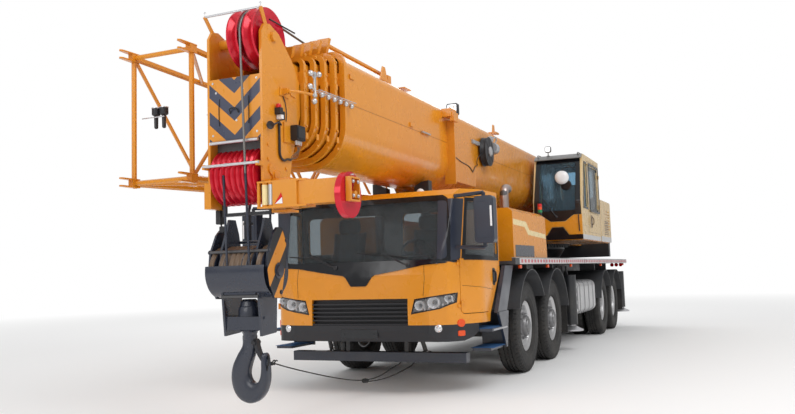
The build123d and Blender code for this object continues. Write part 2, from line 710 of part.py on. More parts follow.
SEAT_Z = CAB_LOW + CAB_WALL + FIT
with BuildPart() as seats:
    for y in (560, -560):
        block((3820, 3990), (y - 180, y + 180), (SEAT_Z, 1170))
        block((3620, 4030), (y - 230, y + 230), (1160, 1260))
        plate(((3600, 1180), (3700, 1180), (3570, 1900), (3450, 1900)), y - 230, y + 230, 30)
seats.part.label = "seats"
export_step(seats.part, "parts/seats.step")

# ---------------------------------------------------------------- engine hood and engine
HOOD_REAR_TOP = HOOD_REAR + 70
STACK_X = 1340
STACK_Y = 900
STACK_R = 62
LOUVRE_PITCH = 60
# hood outline across the machine, from the middle outwards
HOOD_ACROSS = (
    (0, HOOD_VALLEY), (VALLEY_HALF, HOOD_VALLEY), (VALLEY_HALF + 60, HOOD_TOP - 20),
    (HOOD_HALF - 60, HOOD_TOP), (HOOD_HALF, HOOD_TOP - 50),
)


def hood_form(inset):
    """Solid form of the hood, moved inwards by inset, open below."""
    with BuildPart() as form:
        with BuildSketch(Plane.YZ.offset(HOOD_REAR - 100)) as across:
            with BuildLine():
                Polyline(
                    (-HOOD_HALF, DECK_TOP + FIT - 200 * bool(inset)),
                    *[(-y, z) for y, z in reversed(HOOD_ACROSS)], *HOOD_ACROSS[1:],
                    (HOOD_HALF, DECK_TOP + FIT - 200 * bool(inset)), close=True,
                )
            make_face()
            if inset:
                offset(amount=-inset, kind=Kind.INTERSECTION)
        extrude(amount=HOOD_FRONT - HOOD_REAR + 200)
        with BuildSketch(Plane.XZ) as side_view:
            with BuildLine():
                Polyline(
                    (HOOD_REAR + inset, 1300), (HOOD_REAR_TOP + inset, 2300),
                    (HOOD_FRONT - inset, 2300), (HOOD_FRONT - inset, 1300), close=True,
                )
            make_face()
        extrude(amount=HOOD_HALF + 50, both=True, mode=Mode.INTERSECT)
    return form.part


with BuildPart() as engine_hood:
    add(hood_form(0))
    add(hood_form(HOOD_WALL), mode=Mode.SUBTRACT)
    with Locations((STACK_X, STACK_Y, HOOD_TOP)):
        Cylinder(STACK_R + 3, 300, mode=Mode.SUBTRACT)
    # cooling slots in the rear wall
    for side in (1, -1):
        with Locations(*[(HOOD_REAR, side * 850, z) for z in range(1640, 2060, LOUVRE_PITCH)]):
            Box(220, 700, 26, mode=Mode.SUBTRACT)
engine_hood.part.label = "engine_hood"
export_step(engine_hood.part, "parts/engine_hood.step")

ENGINE_HALF = FRAME_HALF - FRAME_RAIL - FIT
with BuildPart() as engine:
    block((1300, 2400), (-ENGINE_HALF, ENGINE_HALF), (880, 1900))
    block((1380, 1560), (ENGINE_HALF - 20, STACK_Y + STACK_R), (1640, 1780))
    block((STACK_X - 60, 1420), (STACK_Y - 60, STACK_Y + 60), (1640, 1780))
    with BuildLine() as stack_line:
        FilletPolyline(
            (STACK_X, STACK_Y, 1700), (STACK_X, STACK_Y, 2540), (STACK_X - 210, STACK_Y, 2570), radius=95
        )
    with BuildSketch(Plane(origin=(STACK_X, STACK_Y, 1700))):
        Circle(STACK_R)
    sweep(path=stack_line.line)
    with BuildSketch(Plane(origin=stack_line.line @ 1, z_dir=stack_line.line % 1)) as mouth:
        Circle(STACK_R - 4)
    extrude(mouth.sketch, amount=-120, mode=Mode.SUBTRACT)
engine.part.label = "engine"
export_step(engine.part, "parts/engine.step")

# ---------------------------------------------------------------- tanks
TANK_X = (-3080, -1380)
TANK_Z = (550, 1130)
TANK_OUT = 1380
TANK_IN = 830
STRAPS = 4
with BuildPart() as tanks:
    for side in (1, -1):
        with BuildSketch(Plane.YZ.offset(TANK_X[0])):
            with Locations((side * (TANK_OUT + TANK_IN) / 2, sum(TANK_Z) / 2)):
                RectangleRounded(TANK_OUT - TANK_IN, TANK_Z[1] - TANK_Z[0], 110)
        extrude(amount=TANK_X[1] - TANK_X[0])
        for k in range(STRAPS):
            strap_x = TANK_X[0] + (k + 0.5) * (TANK_X[1] - TANK_X[0]) / STRAPS
            with BuildSketch(Plane.YZ.offset(strap_x - 35)):
                with Locations((side * (TANK_OUT + TANK_IN) / 2, sum(TANK_Z) / 2)):
                    RectangleRounded(TANK_OUT - TANK_IN + 20, TANK_Z[1] - TANK_Z[0] + 20, 118)
            extrude(amount=70)
            inner, outer = sorted((side * (BOX_HALF + FIT), side * (TANK_IN + 60)))
            block((strap_x - 35, strap_x + 35), (inner, outer), (BOX_LOW + 20, TANK_Z[1] - 60))
tanks.part.label = "tanks"
export_step(tanks.part, "parts/tanks.step")

# ---------------------------------------------------------------- outriggers
BEAM_IN = 1180  # how far each beam reaches past the centreline when it is in
# name, middle of the tubes, which tube, side
OUTRIGGERS = (
    ("front_left", FRONT_TUBES_X, 1, 1), ("front_right", FRONT_TUBES_X, -1, -1),
    ("rear_left", REAR_TUBES_X, 1, 1), ("rear_right", REAR_TUBES_X, -1, -1),
)
BEAM_WALL = 14
for name, tubes_x, tube, side in OUTRIGGERS:
    beam_x = tubes_x + tube * BEAM_OFFSET
    y_low, y_high = sorted((-side * BEAM_IN, side * (JACK_Y - JACK_R + 10)))
    with BuildPart() as beam:
        block((beam_x - BEAM_X / 2, beam_x + BEAM_X / 2), (y_low, y_high),
              (TUBE_Z - BEAM_Z / 2, TUBE_Z + BEAM_Z / 2))
        inner_low, inner_high = sorted((-side * (BEAM_IN + 10), side * (JACK_Y - JACK_R - 30)))
        block(
            (beam_x - BEAM_X / 2 + BEAM_WALL, beam_x + BEAM_X / 2 - BEAM_WALL), (inner_low, inner_high),
            (TUBE_Z - BEAM_Z / 2 + BEAM_WALL, TUBE_Z + BEAM_Z / 2 - BEAM_WALL), mode=Mode.SUBTRACT,
        )
        # wear pads that the beam rides on
        for pad_y in (-side * (BEAM_IN - 60), side * (TUBE_HALF - 60)):
            with Locations((beam_x, pad_y, TUBE_Z - BEAM_Z / 2 - (BEAM_GAP - FIT) / 2)):
                Box(BEAM_X - 40, 60, BEAM_GAP - FIT)
        with Locations((beam_x, side * JACK_Y, (JACK_TOP + JACK_LOW) / 2)):
            Cylinder(JACK_R, JACK_TOP - JACK_LOW)
            Cylinder(JACK_ROD_R + RUN, JACK_TOP - JACK_LOW - 60, mode=Mode.SUBTRACT)
        with Locations((beam_x, side * JACK_Y, JACK_LOW)):
            Cylinder(JACK_ROD_R + RUN, 200, mode=Mode.SUBTRACT)
    beam.part.label = f"outrigger_beam_{name}"
    export_step(beam.part, f"parts/outrigger_beam_{name}.step")
    with BuildPart() as jack:
        with Locations((beam_x, side * JACK_Y, (JACK_TOP - 60 + PAD_LOW) / 2)):
            Cylinder(JACK_ROD_R, JACK_TOP - 60 - PAD_LOW)
        with BuildSketch(Plane.XZ.offset(-side * JACK_Y)) as half_pad:
            with BuildLine():
                Polyline(
                    (beam_x, PAD_LOW), (beam_x + PAD_R, PAD_LOW), (beam_x + PAD_R, PAD_LOW + 22),
                    (beam_x + 110, PAD_LOW + 60), (beam_x + JACK_ROD_R, PAD_LOW + 85), (beam_x, PAD_LOW + 85),
                    close=True,
                )
            make_face()
        revolve(axis=Axis((beam_x, side * JACK_Y, 0), (0, 0, 1)))
    jack.part.label = f"outrigger_jack_{name}"
    export_step(jack.part, f"parts/outrigger_jack_{name}.step")

# ---------------------------------------------------------------- slewing upper
PLATFORM_LOW = SLEW_TOP + 8
SEAT_LEVEL = 1885  # floor of the operator's cab and of the tail box
SIDE_IN = 560
SIDE_OUT = 1450
OP_REAR = -3770
OP_FRONT = -1790
TAIL_X = (-5070, -3800)
TAIL_TOP = 2750
WEIGHT_REAR = -6915
WEIGHT_HALF = 1150
LUFF_PIN_R = 60
LUFF_EAR_IN = 160
BED_LOW = 1878
BED_TOP = 1935
BED_REAR = -6600
WEIGHT_FRONT = BED_REAR - FIT
BED_FRONT = -2300
CHEEK = (
    (BED_REAR, BED_LOW), (BED_REAR, 2450), (-5750, 3200), (-5050, 3250), (-4900, 2900), (-4000, 2550),
    (-2350, 2350), (-2350, BED_LOW),
)
# winch X, Z, drum radius, flange radius
WINCHES = ((-4450, 2200, 140, 220), (-6200, 2250, 190, 290))
with BuildPart() as turntable:
    with Locations((SLEW_X, 0, (SLEW_TOP + SEAT_LEVEL) / 2)):
        Cylinder(SLEW_R + 40, SEAT_LEVEL - SLEW_TOP - 2 * FIT)
    block((BED_REAR, BED_FRONT), (-CHEEK_IN - CHEEK_T, CHEEK_IN + CHEEK_T), (BED_LOW, BED_TOP))
    for low in (CHEEK_IN, -CHEEK_IN - CHEEK_T):
        plate(CHEEK, low, low + CHEEK_T)
    for low in (LUFF_EAR_IN, -LUFF_EAR_IN - 40):
        plate(
            (
                (LUFF_LOW_X - 250, BED_LOW), (LUFF_LOW_X - 110, LUFF_LOW_Z + 110), (LUFF_LOW_X + 110, LUFF_LOW_Z + 110),
                (LUFF_LOW_X + 230, BED_LOW),
            ), low, low + 40,
        )
    shaft((LUFF_LOW_X, 0, LUFF_LOW_Z), LUFF_PIN_R, 2 * (LUFF_EAR_IN + 60))
    shaft((FOOT_X, 0, FOOT_Z), FOOT_PIN_R, 2 * (CHEEK_IN + CHEEK_T + 20))
    for winch_x, winch_z, drum_r, flange_r in WINCHES:
        shaft((winch_x, 0, winch_z), drum_r, 2 * CHEEK_IN + 10)
        for y in (-380, 380):
            shaft((winch_x, y, winch_z), flange_r, 25)
    # the shelf that carries the operator's cab and the tail box
    block((TAIL_X[0], OP_FRONT - 60), (CHEEK_IN + CHEEK_T - 5, SIDE_OUT - 30), (PLATFORM_LOW, SEAT_LEVEL - FIT))
turntable.part.label = "turntable"
export_step(turntable.part, "parts/turntable.step")

with BuildPart() as counterweight:
    with BuildSketch(Plane.XY.offset(1600)) as plan:
        with BuildLine():
            Polyline(
                (WEIGHT_FRONT, -WEIGHT_HALF), (WEIGHT_REAR + 120, -WEIGHT_HALF), (WEIGHT_REAR, -WEIGHT_HALF + 220),
                (WEIGHT_REAR, WEIGHT_HALF - 220), (WEIGHT_REAR + 120, WEIGHT_HALF), (WEIGHT_FRONT, WEIGHT_HALF),
                close=True,
            )
        make_face()
    extrude(plan.sketch, amount=1000)
counterweight.part.label = "counterweight"
export_step(counterweight.part, "parts/counterweight.step")

LOUVRES = 7
with BuildPart() as tail_box:
    block(TAIL_X, (SIDE_IN, SIDE_OUT), (SEAT_LEVEL, TAIL_TOP))
    fillet(tail_box.edges().filter_by(Axis.X).group_by(Axis.Z)[-1], 50)
    with Locations(*[(-4640, SIDE_OUT, 2150 + 62 * k) for k in range(LOUVRES)]):
        Box(560, 36, 24, mode=Mode.SUBTRACT)
    # the bracket behind the cab, with its aerial
    plate(((-5070, TAIL_TOP - 5), (-4170, TAIL_TOP - 5), (-4170, 3200), (-4260, 3200)), 1000, 1030)
    bar((-4215, 1015, 3190), (-4215, 1015, 3520), 9)
tail_box.part.label = "tail_box"
export_step(tail_box.part, "parts/tail_box.step")

OP_LOW = SEAT_LEVEL
OP_TOP = 3467
OP_SIDE = (
    (OP_REAR, OP_LOW), (OP_FRONT - 30, OP_LOW), (OP_FRONT, 2150), (OP_FRONT - 20, 2600), (-2070, OP_TOP - 70),
    (-2150, OP_TOP), (OP_REAR, OP_TOP),
)
OP_WALL = 45
OP_DOOR = ((-3640, 1950), (-2560, 1950), (-2480, 2300), (-2480, 3370), (-3640, 3370))
OP_DOOR_WINDOW = ((-3560, 2450), (-2580, 2450), (-2580, 3300), (-3560, 3300))
# the door's hinges: a pin on the cab's half of each stands in the door's half
HINGE_X = -3643
HINGE_Y = SIDE_OUT + 18
HINGE_R = 13
HINGE_PIN_R = 6
HINGE_H = 36
HINGES_Z = (2560, 3160)
OP_SIDE_WINDOW = ((-2390, 2480), (-1990, 2480), (-2210, 3300), (-2390, 3300))


def op_form(inset):
    """Solid form of the operator's cab, moved inwards all round by inset."""
    with BuildPart() as form:
        with BuildSketch(Plane.XZ.offset(-SIDE_IN - inset)) as side_view:
            with BuildLine():
                Polyline(*OP_SIDE, close=True)
            make_face()
            if inset:
                offset(amount=-inset, kind=Kind.INTERSECTION)
        extrude(amount=-(SIDE_OUT - SIDE_IN - 2 * inset))
    return form.part


with BuildPart() as closed_op:
    add(op_form(0))
    add(op_form(OP_WALL), mode=Mode.SUBTRACT)

with BuildPart() as op_layer:
    add(op_form(GLASS_INSET))
    add(op_form(GLASS_INSET + GLASS_T), mode=Mode.SUBTRACT)

# front, rear and roof windows: Y, Z, X spans of each
OP_WINDOWS = (
    ((SIDE_IN + 90, SIDE_OUT - 90), (2380, 3340), (-2400, -1700)),
    ((SIDE_IN + 120, SIDE_OUT - 120), (2760, 3320), (OP_REAR - 20, OP_REAR + 90)),
)
with BuildPart() as operator_cab:
    add(closed_op.part)
    add(side_cut(OP_DOOR, -DOOR_GAP, SIDE_OUT - 100, SIDE_OUT + 20), mode=Mode.SUBTRACT)
    add(side_cut(OP_SIDE_WINDOW, 0, SIDE_OUT - 100, SIDE_OUT + 20), mode=Mode.SUBTRACT)
    add(side_cut(OP_SIDE_WINDOW, 0, SIDE_IN - 20, SIDE_IN + 100), mode=Mode.SUBTRACT)
    for y, z, x in OP_WINDOWS:
        add(window_cut(y, z, x), mode=Mode.SUBTRACT)
    for z in HINGES_Z:
        block((HINGE_X - 45, HINGE_X), (SIDE_OUT - 5, HINGE_Y - 4), (z - HINGE_H, z))
        with Locations((HINGE_X, HINGE_Y, z)):
            Cylinder(HINGE_R, HINGE_H, align=(Align.CENTER, Align.CENTER, Align.MAX))
            Cylinder(HINGE_PIN_R, 2 * HINGE_H - 10)
operator_cab.part.label = "operator_cab"
export_step(operator_cab.part, "parts/operator_cab.step")

with BuildPart() as operator_glass:
    add(op_layer.part)
    with BuildPart(mode=Mode.PRIVATE) as panes:
        add(side_cut(OP_SIDE_WINDOW, FIT, SIDE_OUT - 100, SIDE_OUT + 20))
        add(side_cut(OP_SIDE_WINDOW, FIT, SIDE_IN - 20, SIDE_IN + 100))
        for y, z, x in OP_WINDOWS:
            add(window_cut(y, z, x, FIT))
    add(panes.part, mode=Mode.INTERSECT)
operator_glass.part.label = "operator_glass"
export_step(operator_glass.part, "parts/operator_glass.step")

with BuildPart() as pane:
    add(op_layer.part)
    add(side_cut(OP_DOOR_WINDOW, FIT, SIDE_OUT - 100, SIDE_OUT + 20), mode=Mode.INTERSECT)
with BuildPart() as operator_door:
    add(closed_op.part)
    add(side_cut(OP_DOOR, 0, SIDE_OUT - 100, SIDE_OUT + 20), mode=Mode.INTERSECT)
    add(side_cut(OP_DOOR_WINDOW, 0, SIDE_OUT - 100, SIDE_OUT + 20), mode=Mode.SUBTRACT)
    add(pane.part)
    for z in HINGES_Z:
        block((HINGE_X, HINGE_X + 50), (SIDE_OUT - 5, HINGE_Y - 4), (z + FIT, z + HINGE_H))
        with Locations((HINGE_X, HINGE_Y, z + FIT)):
            Cylinder(HINGE_R, HINGE_H - FIT, align=(Align.CENTER, Align.CENTER, Align.MIN))
        with Locations((HINGE_X, HINGE_Y, z)):
            Cylinder(HINGE_PIN_R + RUN, 3 * HINGE_H, mode=Mode.SUBTRACT)
operator_door.part.label = "operator_door"
export_step(operator_door.part, "parts/operator_door.step")

OP_MIDDLE = (SIDE_IN + SIDE_OUT) / 2
with BuildPart() as operator_seat:
    block((-3300, -2900), (OP_MIDDLE - 170, OP_MIDDLE + 170), (OP_LOW + OP_WALL + FIT, 2260))
    block((-3400, -2850), (OP_MIDDLE - 240, OP_MIDDLE + 240), (2250, 2350))
    plate(((-3420, 2300), (-3320, 2300), (-3400, 3050), (-3520, 3050)), OP_MIDDLE - 230, OP_MIDDLE + 230, 30)
    for y in (OP_MIDDLE - 300, OP_MIDDLE + 300):
        block((-3200, -2650), (y - 45, y + 45), (OP_LOW + OP_WALL + FIT, 2440))
operator_seat.part.label = "operator_seat"
export_step(operator_seat.part, "parts/operator_seat.step")

# ---------------------------------------------------------------- boom
BOOM_TOP_R = 90
BOOM_LOW_FLAT = 60  # half width of the flat along the underside
RETAINED = 100  # each inner section's rear end stands this much ahead of the one around it
SECTION_REAR = -5000


def boom_outline(level, grow=0):
    """Outline of one boom section across the boom: level 0 is the base, 5 the innermost."""
    half = BOOM_W / 2 - NEST_Y * level
    tall = BOOM_H / 2 - NEST_Z * level
    with BuildSketch(Plane.YZ) as outline:
        with Locations((0, BOOM_Z)):
            Rectangle(2 * half, 2 * tall)
        fillet(outline.vertices().group_by(Axis.Y)[-1], BOOM_TOP_R - 8 * level)
        fillet(outline.vertices().group_by(Axis.Y)[0], half - BOOM_LOW_FLAT)
        if grow:
            offset(amount=grow)
    return outline.sketch_local


def boom_prism(level, grow, x, mode=Mode.ADD):
    """Prism of a section's outline, grown by some amount, between two X values."""
    extrude(Plane.YZ.offset(x[0]) * boom_outline(level, grow), amount=x[1] - x[0], mode=mode)


def boom_shell(level, x):
    """Hollow box of one section with the stepped collar at its front end."""
    top = BOOM_Z + BOOM_H / 2 - NEST_Z * level
    half = BOOM_W / 2 - NEST_Y * level
    boom_prism(level, 0, x)
    boom_prism(level, COLLAR_RIM - 4 * level, (x[1] - COLLAR_T, x[1]))
    # the collar's two ears
    with BuildSketch(Plane.YZ.offset(x[1] - COLLAR_T)) as ears:
        with BuildLine():
            Polyline(
                (-half * 0.62, top), (-half * 0.74, top + 200 - 14 * level), (-half * 0.45, top + 200 - 14 * level),
                (0, top + 70), (half * 0.45, top + 200 - 14 * level), (half * 0.74, top + 200 - 14 * level),
                (half * 0.62, top), close=True,
            )
        make_face()
    extrude(ears.sketch, amount=COLLAR_T)


def boom_bore(level, x):
    """The section's inside, and the wear pads in its collar that the next section runs on."""
    boom_prism(level, -BOOM_WALL, (x[0] - 10, x[1] + 10), Mode.SUBTRACT)
    if level < SECTIONS - 1:
        half = BOOM_W / 2 - NEST_Y * level
        tall = BOOM_H / 2 - NEST_Z * level
        with BuildSketch(Plane.YZ.offset(x[1] - COLLAR_T)) as pads:
            add(boom_outline(level, 1 - BOOM_WALL))
            add(boom_outline(level + 1, FIT), mode=Mode.SUBTRACT)
            with BuildSketch(mode=Mode.INTERSECT):
                for side in (1, -1):
                    with Locations((side * half * 0.5, BOOM_Z + tall - 20)):
                        Rectangle(130, 60)
                    with Locations((side * (half - 20), BOOM_Z + tall * 0.55)):
                        Rectangle(60, 130)
                with Locations((0, BOOM_Z - tall + 20)):
                    Rectangle(260, 80)
        extrude(pads.sketch, amount=COLLAR_T)


BOSS_R = 130
BOSS_IN = BOOM_W / 2 - 30
BOSS_OUT = CHEEK_IN - 5
BRACKET_IN = 148
BRACKET_T = 40
with BuildPart() as boom_base:
    base_x = (BOOM_REAR, BOOM_FRONT)
    boom_shell(0, base_x)
    # ears for the luffing cylinder's rod eye
    for low in (BRACKET_IN, -BRACKET_IN - BRACKET_T):
        plate(
            (
                (LUFF_EYE_X - 560, 2640), (LUFF_EYE_X - 90, LUFF_EYE_Z - 100), (LUFF_EYE_X + 90, LUFF_EYE_Z - 100),
                (LUFF_EYE_X + 520, 2640),
            ), low, low + BRACKET_T,
        )
    for y in (BRACKET_IN + BRACKET_T + 25, -BRACKET_IN - BRACKET_T - 25):
        shaft((LUFF_EYE_X, y, LUFF_EYE_Z), 70, 60)
    boom_bore(0, base_x)
    for side in (1, -1):
        shaft((FOOT_X, side * (BOSS_IN + BOSS_OUT) / 2, FOOT_Z), BOSS_R, BOSS_OUT - BOSS_IN)
    shaft((FOOT_X, 0, FOOT_Z), FOOT_PIN_R + RUN, 2 * CHEEK_IN, Mode.SUBTRACT)
    # cable reel and work lamp on the left side
    shaft((880, 525, 3200), 210, 90)
    shaft((880, 480, 3200), 90, 90)
    block((2450, 2660), (BOOM_W / 2 - 5, 590), (3460, 3570))
    block((2460, 2640), (560, 620), (3400, 3520))
    # stay above the front end, back to its bracket
    bar((BOOM_FRONT - 25, 250, 3760), (4020, 250, 3745), 26)
    block((3950, 4050), (215, 285), (3590, 3760))
boom_base.part.label = "boom_base"
export_step(boom_base.part, "parts/boom_base.step")

for level in range(1, SECTIONS - 1):
    section_x = (SECTION_REAR + RETAINED * (level - 1), BOOM_FRONT + COLLAR_STEP * level)
    with BuildPart() as section:
        boom_shell(level, section_x)
        boom_bore(level, section_x)
    section.part.label = f"section_{level + 1}"
    export_step(section.part, f"parts/section_{level + 1}.step")

# ---------------------------------------------------------------- boom head
LAST = SECTIONS - 1
HEAD_PLATE = (
    (6158, 2900), (6175, 3205), (6305, 3400), (6530, 3600), (6680, 3655), (6770, 3640), (HEAD_FRONT, 3560),
    (HEAD_FRONT, 2215), (6400, 2215), (6373, 2286), (6341, 2432),
)
CHEVRON_Z = (2605, 3175)
GUARD_X = 6900
GUARD_Z = 2372
GUARD_R = 12
head_x = (SECTION_REAR + RETAINED * (LAST - 1), BOOM_FRONT + COLLAR_STEP * LAST)
collar_front = head_x[1] - COLLAR_STEP
with BuildPart() as boom_head:
    boom_prism(LAST, 0, head_x)
    boom_prism(LAST, -BOOM_WALL, (head_x[0] - 10, head_x[1] + 10), Mode.SUBTRACT)
    for low in (HEAD_PLATE_IN, -HEAD_PLATE_IN - HEAD_PLATE_T):
        plate([(max(x, collar_front + 12), z) for x, z in HEAD_PLATE], low, low + HEAD_PLATE_T)
    # cross plates between the side plates
    for x, z in (
        ((HEAD_FRONT - 24, HEAD_FRONT - 2), CHEVRON_Z), ((6240, HEAD_FRONT - 10), (2640, 2672)),
        ((6240, 6640), (3195, 3225)),
    ):
        block(x, (-HEAD_PLATE_IN - 5, HEAD_PLATE_IN + 5), z)
    for z in (HEAD_LOW_Z, HEAD_UP_Z):
        shaft((HEAD_X, 0, z), HEAD_SHAFT_R, 2 * (HEAD_PLATE_IN + HEAD_PLATE_T + 25))
    # rope guards in front of the lower sheaves and over the upper ones
    shaft((GUARD_X, 0, GUARD_Z), GUARD_R, 2 * (HEAD_PLATE_IN + HEAD_PLATE_T))
    for side in (1, -1):
        y_low, y_high = sorted((side * (HEAD_PLATE_IN + 2), side * (HEAD_PLATE_IN + HEAD_PLATE_T)))
        block((HEAD_FRONT - 20, GUARD_X + 10), (y_low, y_high), (GUARD_Z - 26, GUARD_Z + 16))
        bar((6715, side * (HEAD_PLATE_IN + 14), 3600), (6840, side * 303, 3770), 22, 4)
    shaft((6838, 0, 3768), 9, 606)
    # lug box low on the right
    block((6600, HEAD_FRONT), (-HEAD_PLATE_IN - HEAD_PLATE_T - 45, -HEAD_PLATE_IN), (2000, 2235))
    # bracket that carries the nose arm on the left
    pivot_z = (1940, 1962)
    block((6545, 6700), (HEAD_PLATE_IN + 2, NOSE_PIVOT_Y + 60), (2216, 2244))
    block((6545, 6690), (HEAD_PLATE_IN + HEAD_PLATE_T - 5, HEAD_PLATE_IN + HEAD_PLATE_T + 15), (pivot_z[0], 2230))
    block((6545, 6690), (HEAD_PLATE_IN + HEAD_PLATE_T - 5, NOSE_PIVOT_Y + 60), pivot_z)
    with Locations((NOSE_PIVOT_X, NOSE_PIVOT_Y, (pivot_z[0] + 2244) / 2)):
        Cylinder(24, 2244 - pivot_z[0])
boom_head.part.label = "boom_head"
export_step(boom_head.part, "parts/boom_head.step")

SHEAVE_PITCH = 58
GROOVE = 26  # depth of a rope groove


def sheave_pack(centre, radius, count, inner):
    """Sheaves side by side on one shaft, as one body with V grooves and a bore of radius inner."""
    x, middle, z = centre
    start, end = middle - SHEAVE_PITCH * count / 2, middle + SHEAVE_PITCH * count / 2
    with BuildPart() as pack:
        with BuildSketch(Plane(origin=(x, 0, z), x_dir=(0, 1, 0), z_dir=(1, 0, 0))) as section:
            with BuildLine():
                rim = []
                for k in range(count):
                    y = start + SHEAVE_PITCH * k
                    rim += [(y, radius), (y + 9, radius), (y + 29, radius - GROOVE), (y + 49, radius)]
                Polyline((start, inner), *rim, (end, radius), (end, inner), close=True)
            make_face()
        revolve(section.sketch, axis=Axis((x, 0, z), (0, 1, 0)))
    return pack.part


with BuildPart() as head_sheaves:
    add(sheave_pack((HEAD_X, 0, HEAD_LOW_Z), SHEAVE_R, 8, HEAD_SHAFT_R + FIT))
    for y in (32, 202):
        with BuildSketch(Plane(origin=(HEAD_X, 0, HEAD_UP_Z), x_dir=(0, 1, 0), z_dir=(1, 0, 0))) as upper:
            with BuildLine():
                Polyline(
                    (y - 62, HEAD_SHAFT_R + FIT), (y - 62, 90), (y - 25, 110), (y - 30, TOP_SHEAVE_R - 60),
                    (y - 58, TOP_SHEAVE_R), (y - 40, TOP_SHEAVE_R), (y, TOP_SHEAVE_R - 45), (y + 40, TOP_SHEAVE_R),
                    (y + 58, TOP_SHEAVE_R), (y + 30, TOP_SHEAVE_R - 60), (y + 25, 110), (y + 62, 90),
                    (y + 62, HEAD_SHAFT_R + FIT), close=True,
                )
            make_face()
        revolve(upper.sketch, axis=Axis((HEAD_X, 0, HEAD_UP_Z), (0, 1, 0)))
head_sheaves.part.label = "head_sheaves"
export_step(head_sheaves.part, "parts/head_sheaves.step")

# ---------------------------------------------------------------- nose arm
ARM_Z = (1985, 2190)
FLANGE_T = 16
ARM_X = (6660, 6828)
NOSE_SHEAVE = (6720, 1065, 2045)
NOSE_SHEAVE_R = 195
with BuildPart() as nose_arm:
    block(ARM_X, (470, 1150), ARM_Z)
    block((ARM_X[0] + 14, ARM_X[1] - 14), (484, 1160), (ARM_Z[0] + 14, ARM_Z[1] - 14), mode=Mode.SUBTRACT)
    for low in (ARM_Z[0] - FLANGE_T, ARM_Z[1]):
        with BuildSketch(Plane.XY.offset(low)) as flange:
            with BuildLine():
                Polyline(
                    (6850, 242), (6850, 640), (6828, 720), (6660, 720), (6575, 450), (6575, 395), (6640, 368),
                    (6700, 330), (6715, 300), (6720, 300), (6800, 242), close=True,
                )
            make_face()
        extrude(flange.sketch, amount=FLANGE_T)
    with Locations((NOSE_PIVOT_X, NOSE_PIVOT_Y, sum(ARM_Z) / 2)):
        Cylinder(50, ARM_Z[1] - ARM_Z[0] + 2 * FLANGE_T)
        Cylinder(24 + RUN, ARM_Z[1] - ARM_Z[0] + 2 * FLANGE_T, mode=Mode.SUBTRACT)
    block((6822, 6850), (400, 640), (ARM_Z[0] - 5, ARM_Z[1] + 5))
    block((6822, 6846), (242, 262), (ARM_Z[0] - 5, ARM_Z[1] + 5))
    for y in (305, 370):
        with Locations((6815, y, sum(ARM_Z) / 2)):
            Cylinder(28, ARM_Z[1] - ARM_Z[0] + 10)
    # the sheave at the arm's end on its own short shaft
    block(ARM_X, (NOSE_SHEAVE[1] - 34, NOSE_SHEAVE[1] + 34), (ARM_Z[0] - 5, ARM_Z[1] + 5), mode=Mode.SUBTRACT)
    block((ARM_X[0], ARM_X[0] + 14), (NOSE_SHEAVE[1] - 80, NOSE_SHEAVE[1] + 80), (2080, 2120))
    shaft(NOSE_SHEAVE, NOSE_SHEAVE_R, 52)
    shaft(NOSE_SHEAVE, 32, 150)
nose_arm.part.label = "nose_arm"
export_step(nose_arm.part, "parts/nose_arm.step")

# ---------------------------------------------------------------- jib stowed on the boom's right side
JIB_FRONT = 6450
JIB_REAR = -3400
JIB_BAYS = 9
CHORD_R = 34
LACE_R = 20
# X, inner Y, outer Y, lower Z, upper Z
JIB_ENDS = ((JIB_FRONT, -760, -1480, 2352, 3640), (JIB_REAR, -760, -1300, 2640, 3280))
HANGERS = (4700, -700)


def jib_corner(share, outer, upper):
    """Point on one of the jib's four chords, at a share of its length from the front."""
    front, rear = JIB_ENDS
    return (
        front[0] + (rear[0] - front[0]) * share,
        front[1 + outer] + (rear[1 + outer] - front[1 + outer]) * share,
        front[3 + upper] + (rear[3 + upper] - front[3 + upper]) * share,
    )


# the chord that each face of the lattice starts from, and the one it leads to: outer, upper
JIB_FACES = (((0, 0), (1, 0)), ((1, 0), (1, 1)), ((1, 1), (0, 1)), ((0, 1), (0, 0)))
with BuildPart() as jib:
    for chord, other in JIB_FACES:
        bar(jib_corner(0, *chord), jib_corner(1, *chord), CHORD_R)
        for k in (0, JIB_BAYS // 2, JIB_BAYS):
            bar(jib_corner(k / JIB_BAYS, *chord), jib_corner(k / JIB_BAYS, *other), LACE_R + 6)
        for k in range(JIB_BAYS):
            ends = (chord, other) if k % 2 else (other, chord)
            bar(jib_corner(k / JIB_BAYS, *ends[0]), jib_corner((k + 1) / JIB_BAYS, *ends[1]), LACE_R)
    for hanger_x in HANGERS:
        share = (hanger_x - JIB_FRONT) / (JIB_REAR - JIB_FRONT)
        for upper in (0, 1):
            x, y, z = jib_corner(share, 0, upper)
            block((x - 60, x + 60), (y - 20, y + 20), (z - 60, z + 60))
        low, high = jib_corner(share, 0, 0)[2], jib_corner(share, 0, 1)[2]
        block((hanger_x - 40, hanger_x + 40), (-800, -740), (low, high))
        block((hanger_x - 40, hanger_x + 40), (-790, -BOOM_W / 2 - FIT), (BOOM_Z - 60, BOOM_Z + 60))
jib.part.label = "jib"
export_step(jib.part, "parts/jib.step")

# ---------------------------------------------------------------- luffing cylinder
LUFF_DX = LUFF_EYE_X - LUFF_LOW_X
LUFF_DZ = LUFF_EYE_Z - LUFF_LOW_Z
LUFF_LENGTH = hypot(LUFF_DX, LUFF_DZ)
BARREL_END = 4620
ROD_TAIL = 760
EYE_HALF = 140


def luff_point(along):
    """Point on the cylinder's axis, at a distance from its lower pin."""
    share = along / LUFF_LENGTH
    return (LUFF_LOW_X + LUFF_DX * share, 0, LUFF_LOW_Z + LUFF_DZ * share)


